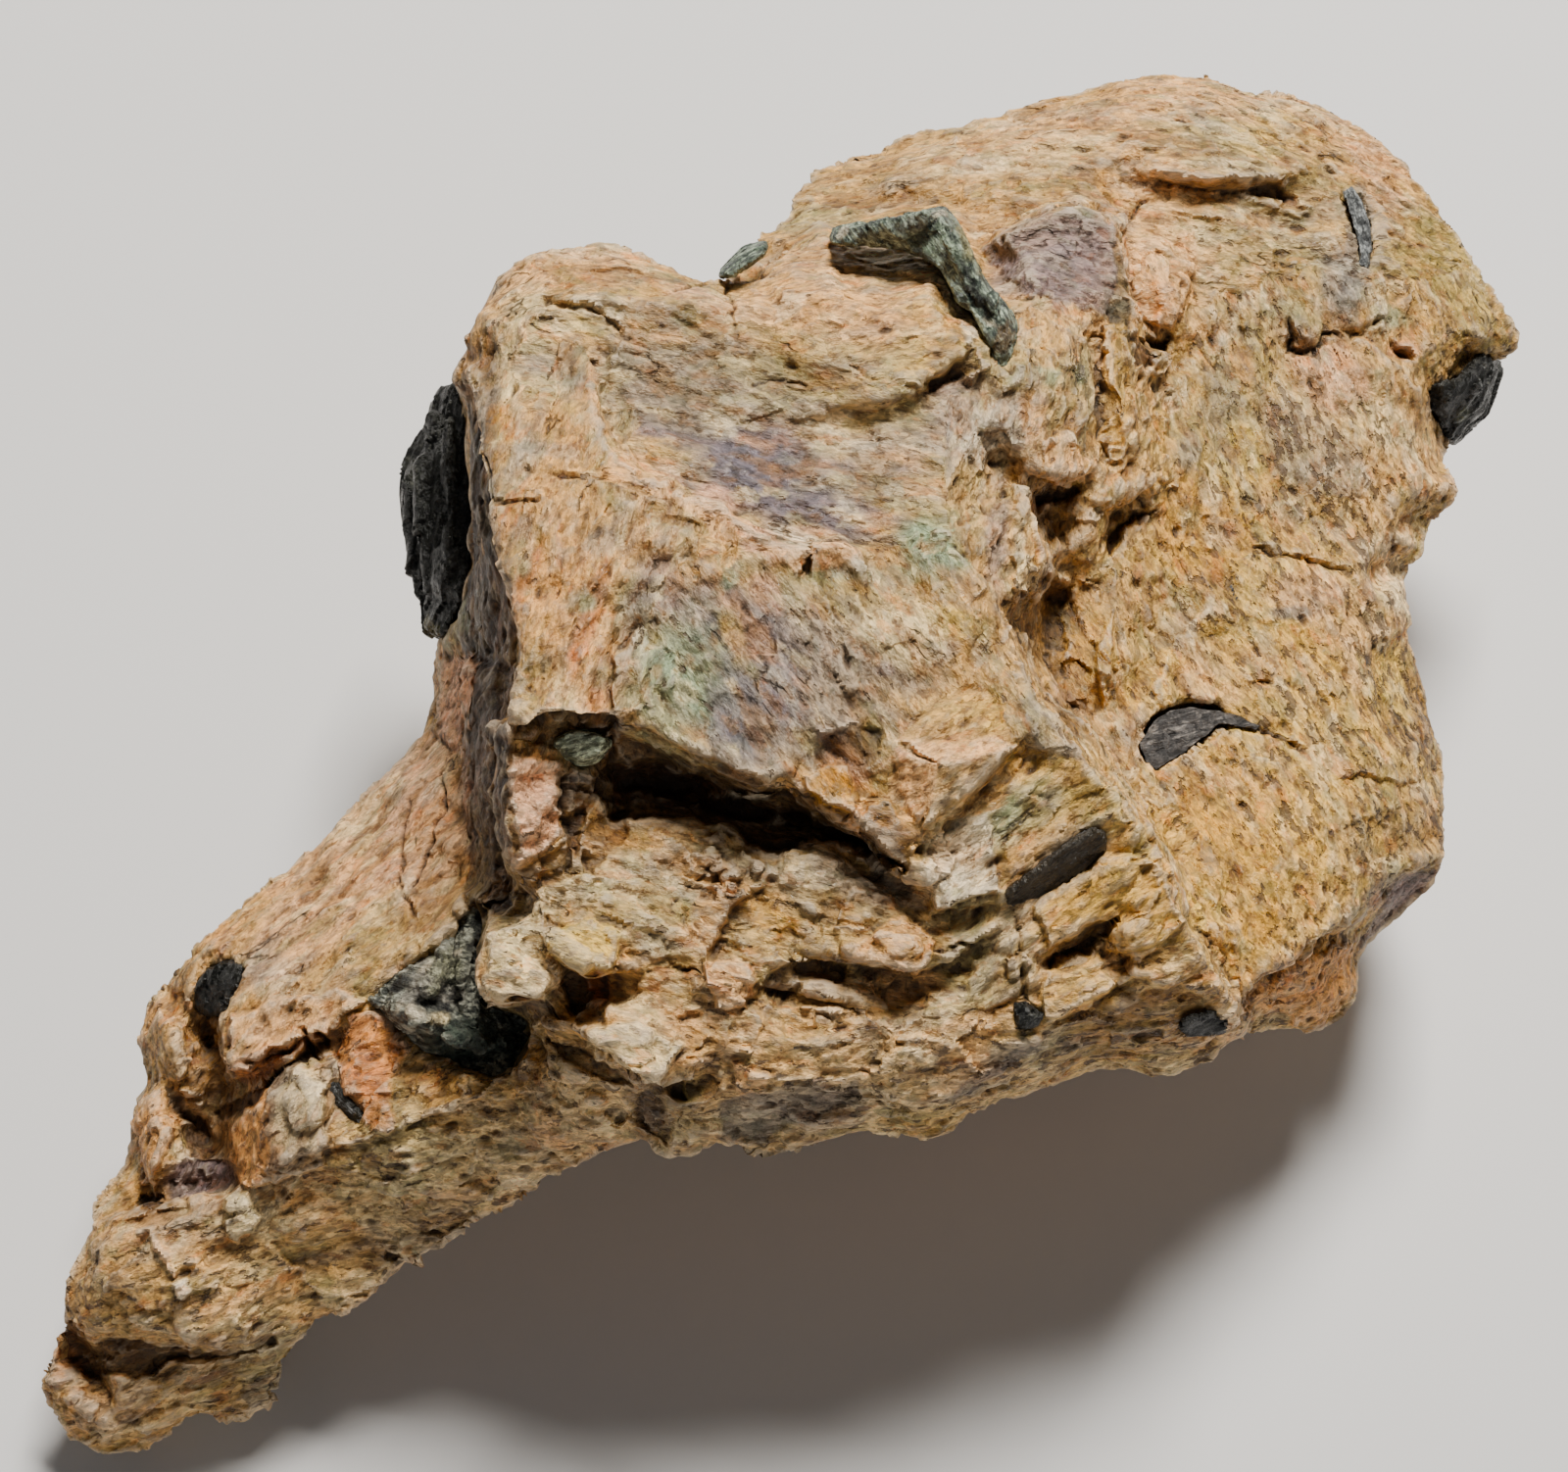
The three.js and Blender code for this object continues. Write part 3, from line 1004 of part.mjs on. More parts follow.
// A prism with six flat sides and a blunt end, from one place to another.
function prismSolid({ from, to, width, flatness, roll }) {
  const [start, stop] = [place(from), place(to)];
  const length = start.distanceTo(stop);
  const radius = width / 2;
  const shoulder = length - prismShoulder * width;
  const profile = [[0, 0], [radius, 0], [radius, shoulder], [prismTip * radius, length], [0, length]];
  const lathe = new THREE.LatheGeometry(profile.map(([x, y]) => new THREE.Vector2(x, y)), prismSides);
  lathe.scale(1, 1, flatness);
  lathe.rotateY(THREE.MathUtils.degToRad(roll));
  lathe.deleteAttribute("uv");
  lathe.deleteAttribute("normal");
  const direction = stop.clone().sub(start).normalize();
  lathe.applyQuaternion(new THREE.Quaternion().setFromUnitVectors(new THREE.Vector3(0, 1, 0), direction));
  lathe.translate(start.x, start.y, start.z);
  const merged = mergeVertices(lathe);
  const vertProperties = merged.attributes.position.array;
  return new wasm.Manifold(new wasm.Mesh({ numProp: 3, vertProperties, triVerts: merged.index.array }));
}

// A crystal mass: a chipped face, walls along the line of sight, a back of the same form, and prisms.
function crystalSolid({ edge, crests, depth, chip, prisms }) {
  const ring = ringOf(edge, crystalStep);
  const face = cover(ring, crests, crystalFacet, (x, y, own) => chip * (2 * own - 1), crystalClearance);
  const back = cover(ring, crests, socketFacet, () => 0, socketClearance);
  const mass = solidOf(shellBetween(face, lowered(back, depth), ring.length, false));
  return prisms.reduce((solid, prism) => solid.add(prismSolid(prism)), mass);
}

// The socket that a crystal mass sits in, open towards the viewer. The prisms stay within it.
function socketSolid({ edge, crests, depth }) {
  const ring = ringOf(edge, crystalStep);
  const wide = widened(ring, socketGap);
  const back = cover(ring, crests, socketFacet, () => 0, socketClearance);
  back.places = back.places.map((p, i) => (i < ring.length ? wide[i] : p));
  const [mouth, floor] = [lowered(back, -socketMouth), lowered(back, depth + socketFloorGap)];
  return solidOf(shellBetween(mouth, floor, ring.length, false));
}

// The feldspar rock before the sockets are cut.
function rockSolid() {
  const ring = ringOf(outline, outlineStep);
  const edges = ledges.map(({ edge }) => edge);
  const footOf = ({ edge, reach, drop }) => beside(edge, reach).map(([x, y, h]) => [x, y, h - drop]);
  const feet = ledges.map(footOf);
  const grain = (x, y, own) => {
    const lumps = noise(new THREE.Vector3(x, y, 0), frontLumpSize, frontLumpSeed);
    return frontRoughness * texture(x, y) * (2 * own - 1 + lumps);
  };
  const front = cover(ring, [...edges, ...feet, ...creases], frontFacet, grain, rimClearance);
  const rear = cover(ring, rearCreases, rearFacet, () => 0, rearClearance);
  // The rear stays behind the seen surface, and nothing goes below the floor.
  rear.places.slice(ring.length).forEach((p) => {
    const thickness = Math.min(rockThickness, rimTaper * distanceToRing(ring, p[0], p[1]));
    p[2] = Math.max(0, Math.min(p[2], front.heightAt(p[0], p[1]) - thickness));
  });
  let shell = shellBetween(front, rear, ring.length, true);
  const seen = front.places.length;
  const limitOf = (a, b) => (Math.max(a, b) < seen ? longestSeenEdge : longestHiddenEdge);
  shell = refined(refined(shell, limitOf), limitOf);
  const keep = (i, point) => i < seen || point.z < restMargin;
  shell = roughened(relaxed(shell, keep, relaxRounds), keep, hiddenLumps);
  const resting = new Set(shell.points.filter((point) => Math.abs(point.z) < hairbreadth));
  for (const point of shell.points) point.z = resting.has(point) ? 0 : Math.max(point.z, floorClearance);
  return solidOf(shell);
}

// The largest body of a solid: a cut can leave crumbs.
function largestBody(solid) {
  return solid.decompose().reduce((big, body) => (body.volume() > big.volume() ? body : big));
}

// A named mesh of a solid.
function meshOf(name, solid, material) {
  const { vertProperties, triVerts, numProp } = solid.getMesh();
  const positions = new Float32Array((vertProperties.length / numProp) * 3);
  for (let i = 0; i * numProp < vertProperties.length; i++)
    positions.set(vertProperties.subarray(i * numProp, i * numProp + 3), i * 3);
  const geometry = new THREE.BufferGeometry();
  geometry.setAttribute("position", new THREE.BufferAttribute(positions, 3));
  geometry.setIndex(new THREE.BufferAttribute(triVerts, 1));
  geometry.computeVertexNormals();
  const mesh = new THREE.Mesh(geometry, material);
  mesh.name = name;
  return mesh;
}

const feldspar = new THREE.MeshStandardMaterial({ color: 0xc39b6d, roughness: 0.85, metalness: 0 });
const aegirine = new THREE.MeshStandardMaterial({ color: 0x2b332b, roughness: 0.35, metalness: 0 });

const socketed = crystals.reduce((rock, crystal) => rock.subtract(socketSolid(crystal)), rockSolid());
const matrix = largestBody(socketed);

const specimen = new THREE.Group();
specimen.add(meshOf("feldspar_matrix", matrix, feldspar));
for (const crystal of crystals) specimen.add(meshOf(crystal.name, crystalSolid(crystal), aegirine));

export default specimen;
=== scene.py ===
"""An aegirine specimen: dark green crystal masses grown in a broken pink and tan feldspar rock.

The rock is looked at from one place, in front of it and above it. What lies on its seen side, such as a
stain or a crack, is written as millimetres across and up on the plane that faces that place.
"""

import itertools
import json
import logging
import math
from dataclasses import dataclass
from enum import Enum

import bpy
import numpy as np
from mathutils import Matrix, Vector

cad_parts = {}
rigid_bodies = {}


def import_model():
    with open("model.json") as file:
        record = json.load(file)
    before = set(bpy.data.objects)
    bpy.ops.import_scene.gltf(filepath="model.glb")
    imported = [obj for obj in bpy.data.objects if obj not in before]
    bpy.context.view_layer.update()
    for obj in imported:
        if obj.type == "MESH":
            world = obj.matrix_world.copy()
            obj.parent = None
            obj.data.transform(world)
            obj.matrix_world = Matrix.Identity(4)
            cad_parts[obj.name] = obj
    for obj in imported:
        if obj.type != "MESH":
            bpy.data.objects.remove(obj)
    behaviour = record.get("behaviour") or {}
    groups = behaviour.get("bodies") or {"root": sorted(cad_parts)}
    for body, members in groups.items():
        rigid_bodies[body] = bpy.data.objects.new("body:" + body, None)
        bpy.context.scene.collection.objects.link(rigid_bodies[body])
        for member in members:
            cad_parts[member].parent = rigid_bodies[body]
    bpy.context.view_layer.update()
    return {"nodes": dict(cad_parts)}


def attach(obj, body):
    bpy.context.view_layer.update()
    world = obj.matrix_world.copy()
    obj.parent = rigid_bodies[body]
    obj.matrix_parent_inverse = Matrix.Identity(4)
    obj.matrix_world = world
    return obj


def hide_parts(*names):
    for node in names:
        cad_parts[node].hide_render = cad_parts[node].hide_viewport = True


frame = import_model()

MM = 0.001
log = logging.getLogger("specimen")


@dataclass(frozen=True)
class Sight:
    """The place that the rock is looked at from."""

    elevation: float = math.radians(60)
    distance: float = 0.480
    width: float = 0.200
    point: tuple[float, float, float] = (-0.018, -0.008, 0.040)

    @property
    def forward(self) -> np.ndarray:
        """The direction from the eye to the sight point."""
        return np.array([0.0, math.cos(self.elevation), -math.sin(self.elevation)])

    @property
    def upward(self) -> np.ndarray:
        """The up direction on the sight plane."""
        return np.array([0.0, math.sin(self.elevation), math.cos(self.elevation)])

    @property
    def eye(self) -> np.ndarray:
        """The place of the eye."""
        return np.array(self.point) - self.distance * self.forward

    def flatten(self, points: np.ndarray) -> np.ndarray:
        """Gives where points are seen on the sight plane.

        Args:
            points: rows of x, y, z in metres.

        Returns:
            Rows of across and up in millimetres.
        """
        reach = points - self.eye
        scale = self.distance / (reach @ self.forward) / MM
        return np.stack([reach[:, 0] * scale, (reach @ self.upward) * scale], axis=1)

    def meet(self, surface: bpy.types.Object, across: float, up: float) -> np.ndarray:
        """Gives the point of a surface that is seen at a place of the sight plane.

        Args:
            surface: the object that is looked at.
            across: the place's way across in millimetres.
            up: the place's way up in millimetres.

        Returns:
            The point, or the surface's point nearest to the place where the line of sight misses it.
        """
        place = np.array(self.point) + MM * (across * np.array([1.0, 0.0, 0.0]) + up * self.upward)
        hit, spot, _, _ = surface.ray_cast(Vector(self.eye), Vector(place - self.eye).normalized())
        if not hit:
            _, spot, _, _ = surface.closest_point_on_mesh(Vector(place))
        return np.array(spot)

    def facing(self, points: np.ndarray, normals: np.ndarray) -> np.ndarray:
        """Says how far each point of a surface is turned to the eye.

        Args:
            points: rows of x, y, z in metres.
            normals: the surface's direction at each point.

        Returns:
            One value for each point, from -1 for turned away to 1 for facing the eye.
        """
        to_eye = self.eye - points
        to_eye /= np.linalg.norm(to_eye, axis=1, keepdims=True)
        return np.einsum("ij,ij->i", normals, to_eye)


SIGHT = Sight()


def ramp(value: np.ndarray, low: float, high: float) -> np.ndarray:
    """Eases a value from 0 at low to 1 at high."""
    share = np.clip((value - low) / (high - low), 0.0, 1.0)
    return share * share * (3.0 - 2.0 * share)


def scatter(cells: np.ndarray, seed: float) -> np.ndarray:
    """Gives a repeatable number from 0 to 1 for each whole-number cell."""
    mixed = np.sin(cells @ np.array([127.1, 311.7, 74.7]) + seed * 19.19) * 43758.5453
    return mixed - np.floor(mixed)


def lumps(points: np.ndarray, size: float, seed: float) -> np.ndarray:
    """Gives smooth noise from -1 to 1.

    Args:
        points: rows of x, y, z in millimetres.
        size: the size of a lump in millimetres.
        seed: a number that sets the pattern.

    Returns:
        One value for each point.
    """
    cell = points / size + 0.37 * seed
    low = np.floor(cell)
    share = cell - low
    share = share * share * (3.0 - 2.0 * share)
    total = np.zeros(len(points))
    for corner in itertools.product((0.0, 1.0), repeat=3):
        step = np.array(corner)
        weight = np.prod(np.where(step > 0.5, share, 1.0 - share), axis=1)
        total += weight * scatter(low + step, seed)
    return 2.0 * total - 1.0


def rough(points: np.ndarray, size: float, seed: float, layers: int = 3) -> np.ndarray:
    """Adds ever finer lumps, each layer half the size and strength of the one before.

    Args:
        points: rows of x, y, z in millimetres.
        size: the size of the largest lumps in millimetres.
        seed: a number that sets the pattern.
        layers: how many layers there are.

    Returns:
        One value for each point.
    """
    total = np.zeros(len(points))
    for layer in range(layers):
        total += lumps(points, size / 2**layer, seed + 5 * layer) / 2**layer
    return total


def blocks(points: np.ndarray, size: float, seed: float) -> np.ndarray:
    """Breaks space into blocks, each with a flat face of its own tilt and height.

    Args:
        points: rows of x, y, z in millimetres.
        size: the size of a block in millimetres.
        seed: a number that sets the pattern.

    Returns:
        The height of the face at each point, from -1 to 1.
    """
    cell = points / size
    home = np.floor(cell)
    nearest = np.full(len(points), 9.0)
    height = np.zeros(len(points))
    for step in itertools.product((-1.0, 0.0, 1.0), repeat=3):
        at = home + np.array(step)
        own = np.stack([scatter(at, seed + 3.1 * k) for k in range(6)], axis=1)
        offset = cell - at - own[:, :3]
        distance = np.linalg.norm(offset, axis=1)
        turned = 2.0 * own[:, 3:] - 1.0
        face = 1.2 * np.einsum("ij,ij->i", offset, turned) + 0.5 * turned[:, 0]
        nearer = distance < nearest
        height = np.where(nearer, face, height)
        nearest = np.where(nearer, distance, nearest)
    return np.clip(height, -1.0, 1.0)


def pitted(points: np.ndarray, size: float, reach: float, share: np.ndarray, seed: float) -> np.ndarray:
    """Sinks a round pit in some of the cells of space.

    Args:
        points: rows of x, y, z in millimetres.
        size: the size of a cell in millimetres.
        reach: a pit's radius in cell sizes.
        share: the share of the cells that hold a pit, for each point.
        seed: a number that sets the pattern.

    Returns:
        A value for each point, from 0 outside a pit to 1 in its middle.
    """
    cell = points / size
    home = np.floor(cell)
    pit = np.zeros(len(points))
    for step in itertools.product((-1.0, 0.0, 1.0), repeat=3):
        at = home + np.array(step)
        own = np.stack([scatter(at, seed + 2.3 * k) for k in range(4)], axis=1)
        distance = np.linalg.norm(cell - at - own[:, :3], axis=1)
        depth = (1.0 - ramp(distance, 0.35 * reach, reach)) * (own[:, 3] < share)
        pit = np.maximum(pit, depth)
    return pit


def ledged(field: np.ndarray, riser: float) -> np.ndarray:
    """Turns a smooth field into flat treads with steep risers between them."""
    low = np.floor(field)
    return low + ramp(field - low, 0.5 - 0.5 * riser, 0.5 + 0.5 * riser)


def drawn_out(points: np.ndarray, direction: np.ndarray, stretch: float) -> np.ndarray:
    """Squeezes space along a direction, so that a pattern in it comes out drawn along that direction.

    Args:
        points: rows of x, y, z.
        direction: one direction for all points, or a row for each.
        stretch: how much longer than wide the pattern gets.

    Returns:
        The squeezed points.
    """
    unit = np.broadcast_to(direction, points.shape)
    unit = unit / np.linalg.norm(unit, axis=1, keepdims=True)
    along = np.einsum("ij,ij->i", points, unit)
    return points - along[:, None] * unit * (1.0 - 1.0 / stretch)


def way_to_line(places: np.ndarray, line: list[tuple[float, float]]) -> np.ndarray:
    """Gives the distance from each place to a line of points on the sight plane.

    Args:
        places: rows of across and up in millimetres.
        line: the points of the line.

    Returns:
        The distance of each place in millimetres.
    """
    nearest = np.full(len(places), 1e6)
    for start, stop in itertools.pairwise(np.array(line, dtype=float)):
        run = stop - start
        share = np.clip((places - start) @ run / (run @ run), 0.0, 1.0)
        nearest = np.minimum(nearest, np.linalg.norm(places - start - share[:, None] * run, axis=1))
    return nearest


RICHNESS = 1.35


class Tint(Enum):
    """The colours of the minerals, as they look in plain light."""

    TAN = (184, 150, 106)
    CREAM = (226, 206, 166)
    PALE = (236, 222, 196)
    HONEY = (206, 166, 104)
    OCHRE = (190, 142, 80)
    YELLOW = (204, 176, 112)
    APRICOT = (214, 160, 112)
    PEACH = (222, 178, 136)
    RUST = (176, 112, 76)
    PINK = (216, 172, 144)
    PURPLE_GREY = (122, 108, 108)
    GREY = (128, 122, 114)
    SLATE = (88, 86, 96)
    GREEN_GREY = (142, 144, 112)
    OLIVE = (138, 126, 84)
    MINT = (140, 154, 128)
    BROWN = (118, 86, 54)
    UMBER = (70, 50, 34)
    INK = (62, 62, 68)
    GREEN_BLACK = (48, 56, 48)
    BLACK = (24, 24, 22)

    @property
    def linear(self) -> np.ndarray:
        """The colour in linear light."""
        share = np.array(self.value) / 255.0
        pigment = np.where(share <= 0.04045, share / 12.92, ((share + 0.055) / 1.055) ** 2.4)
        return np.maximum(pigment.mean() + RICHNESS * (pigment - pigment.mean()), 0.004)


(
    TAN, CREAM, PALE, HONEY, OCHRE, YELLOW, APRICOT, PEACH, RUST, PINK, PURPLE_GREY, GREY, SLATE,
    GREEN_GREY, OLIVE, MINT, BROWN, UMBER, INK, GREEN_BLACK, BLACK,
) = Tint


def oval_way(oval: "Stain | Hole", places: np.ndarray) -> np.ndarray:
    """Gives each place's way from the middle of an oval patch.

    Args:
        oval: the patch.
        places: rows of across and up in millimetres.

    Returns:
        The way of each place, in parts of the way to the patch's edge.
    """
    angle = math.radians(oval.turn)
    offset = places - np.array([oval.across, oval.up])
    along = offset[:, 0] * math.cos(angle) + offset[:, 1] * math.sin(angle)
    beside = offset[:, 1] * math.cos(angle) - offset[:, 0] * math.sin(angle)
    return np.hypot(along / oval.long, beside / oval.wide)


@dataclass(frozen=True)
class Stain:
    """A patch of colour on the rock's seen side."""

    tint: Tint
    across: float
    up: float
    long: float
    wide: float
    turn: float
    strength: float

    def cover(self, places: np.ndarray, warp: np.ndarray) -> np.ndarray:
        """Says how far the patch covers each place.

        Args:
            places: rows of across and up in millimetres.
            warp: a noise value for each place, which frays the edge.

        Returns:
            A share from 0 to the patch's strength for each place.
        """
        return self.strength * (1.0 - ramp(oval_way(self, places) + 0.45 * warp, 0.55, 1.25))


@dataclass(frozen=True)
class Ground:
    """A stretch of the seen side with its own way of breaking."""

    name: str
    across: float
    up: float
    reach: float
    fibre: tuple[float, float, float]
    rough: float
    splinter: float
    pits: float

    def weight(self, places: np.ndarray) -> np.ndarray:
        """Says how much each place belongs to this stretch."""
        way = np.hypot(places[:, 0] - self.across, places[:, 1] - self.up) / self.reach
        return np.exp(-1.5 * way * way)


@dataclass(frozen=True)
class Crack:
    """A groove along a line of the seen side."""

    line: tuple[tuple[float, float], ...]
    width: float
    depth: float


@dataclass(frozen=True)
class Hole:
    """A hollow of the seen side, sunk away from the eye, which the rock's paint darkens by its depth with
    painted shade.
    """

    across: float
    up: float
    long: float
    wide: float
    turn: float
    depth: float

    def cover(self, places: np.ndarray, warp: np.ndarray) -> np.ndarray:
        """Says how far the hollow covers each place, from 0 to 1."""
        return 1.0 - ramp(oval_way(self, places) + 0.3 * warp, 0.5, 1.1)


@dataclass(frozen=True)
class Ledge:
    """A break edge of the seen side. What lies left of the line stands above what lies right of it."""

    height: float
    reach: float
    line: tuple[tuple[float, float], ...]

    def rise(self, places: np.ndarray) -> np.ndarray:
        """Gives the rise towards the eye, which dies out beside the edge and towards its ends.

        Args:
            places: rows of across and up in millimetres.

        Returns:
            The rise of each place in millimetres.
        """
        rise = np.zeros(len(places))
        points = np.array(self.line, dtype=float)
        boxed = (places > points.min(0) - self.reach) & (places < points.max(0) + self.reach)
        near = np.flatnonzero(boxed.all(axis=1))
        spot = places[near]
        nearest = np.full(len(near), 1e6)
        side = np.zeros(len(near))
        share_along = np.zeros(len(near))
        whole = np.linalg.norm(np.diff(points, axis=0), axis=1).sum()
        done = 0.0
        for start, stop in itertools.pairwise(points):
            run = stop - start
            length = np.linalg.norm(run)
            share = np.clip((spot - start) @ run / length**2, 0.0, 1.0)
            offset = spot - start - share[:, None] * run
            way = np.linalg.norm(offset, axis=1)
            turn = run[0] * (spot[:, 1] - start[1]) - run[1] * (spot[:, 0] - start[0])
            closer = way < nearest - 1e-9
            side = np.where(closer, np.sign(turn), side)
            share_along = np.where(closer, (done + share * length) / whole, share_along)
            nearest = np.minimum(nearest, way)
            done += length
        ends = ramp(share_along, 0.0, 0.18) * ramp(1.0 - share_along, 0.0, 0.18)
        edge = np.clip(nearest / 0.25, 0.0, 1.0)
        rise[near] = 0.5 * self.height * side * edge * ends * (1.0 - ramp(nearest, 0.0, self.reach))
        return rise


@dataclass(frozen=True)
class Facet:
    """A flat break face of the seen side, with a straight-sided outline."""

    # The umber and brown tints of facets that sink are partly painted shade of their recess.
    tint: Tint | None
    strength: float
    lift: float
    lean: tuple[float, float]
    outline: tuple[tuple[float, float], ...]

    def depth_inside(self, places: np.ndarray) -> np.ndarray:
        """Gives how far each place lies inside the outline.

        Args:
            places: rows of across and up in millimetres.

        Returns:
            The way to the outline in millimetres, less than 0 for a place outside it.
        """
        corners = np.array(self.outline, dtype=float)
        inside = np.full(len(places), -9.0)
        near = np.flatnonzero(np.all((places > corners.min(0) - 2.0) & (places < corners.max(0) + 2.0), 1))
        spot = places[near]
        way = way_to_line(spot, [*self.outline, self.outline[0]])
        within = np.zeros(len(near), dtype=bool)
        for (x, y), (nx, ny) in zip(corners, np.roll(corners, -1, axis=0)):
            if y != ny:
                crosses = (y > spot[:, 1]) != (ny > spot[:, 1])
                within ^= crosses & (spot[:, 0] < x + (spot[:, 1] - y) * (nx - x) / (ny - y))
        inside[near] = np.where(within, way, -way)
        return inside

    def rise(self, places: np.ndarray) -> np.ndarray:
        """Gives the rise towards the eye.

        Args:
            places: rows of across and up in millimetres.

        Returns:
            The rise of each place in millimetres.
        """
        offset = places - np.mean(self.outline, axis=0)
        level = self.lift + offset @ np.array(self.lean)
        return ramp(self.depth_inside(places), -0.25, 0.25) * level


GROUNDS = [
    Ground("front_left_slab", -29, 22, 20, (0.25, 1.0, 0.1), 0.7, 0.55, 0.25),
    Ground("grey_dish", -4, 40, 20, (1.0, -0.25, 0.0), 0.55, 0.6, 0.35),
    Ground("rounded_block", 12, 55, 14, (1.0, 0.2, 0.0), 0.7, 0.5, 0.3),
    Ground("front_face", -2, 8, 19, (0.55, -0.8, -0.25), 0.75, 0.7, 0.5),
    Ground("fibrous_wall", -37.5, 5, 7, (0.05, 0.1, 1.0), 0.9, 1.7, 0.2),
    Ground("arrow_block", 22, -4, 8, (0.8, 0.5, 0.2), 0.3, 0.35, 0.1),
    Ground("terrace_left", -22, -24, 16, (1.0, -0.35, 0.1), 1.2, 0.9, 0.4),
    Ground("terrace_middle", 4, -28, 20, (1.0, -0.3, 0.1), 1.4, 1.0, 0.6),
    Ground("terrace_right", 35, -18, 16, (0.8, 0.6, 0.2), 1.0, 0.7, 0.4),
    Ground("flank", 10, -46, 18, (1.0, 0.3, -0.3), 1.2, 0.7, 1.0),
    Ground("right_flank", 42, -39, 14, (1.0, 0.3, -0.3), 1.1, 0.6, 1.1),
    Ground("ribs", 38, 38, 14, (0.1, 1.0, -0.3), 1.3, 1.6, 0.5),
    Ground("valley", 40, 8, 12, (0.4, -0.9, -0.1), 1.2, 0.8, 0.8),
    Ground("dish", 64, 4, 26, (0.5, -0.85, 0.0), 0.7, 0.45, 1.0),
    Ground("upper_dish", 62, 40, 20, (0.35, -0.9, 0.0), 0.75, 0.6, 0.9),
    Ground("upper_slab", 55, 76, 22, (1.0, -0.1, -0.1), 0.8, 0.7, 0.5),
    Ground("tail_slope", -56, -18, 18, (0.75, 0.65, 0.25), 0.75, 0.9, 0.3),
    Ground("tail_blocks", -68, -46, 15, (0.6, 0.7, 0.3), 0.9, 0.7, 0.4),
    Ground("tail_end", -80, -74, 20, (0.9, 0.4, 0.1), 1.1, 0.8, 0.6),
    Ground("tail_flank", -45, -56, 20, (0.9, 0.35, -0.2), 1.1, 0.7, 0.9),
]

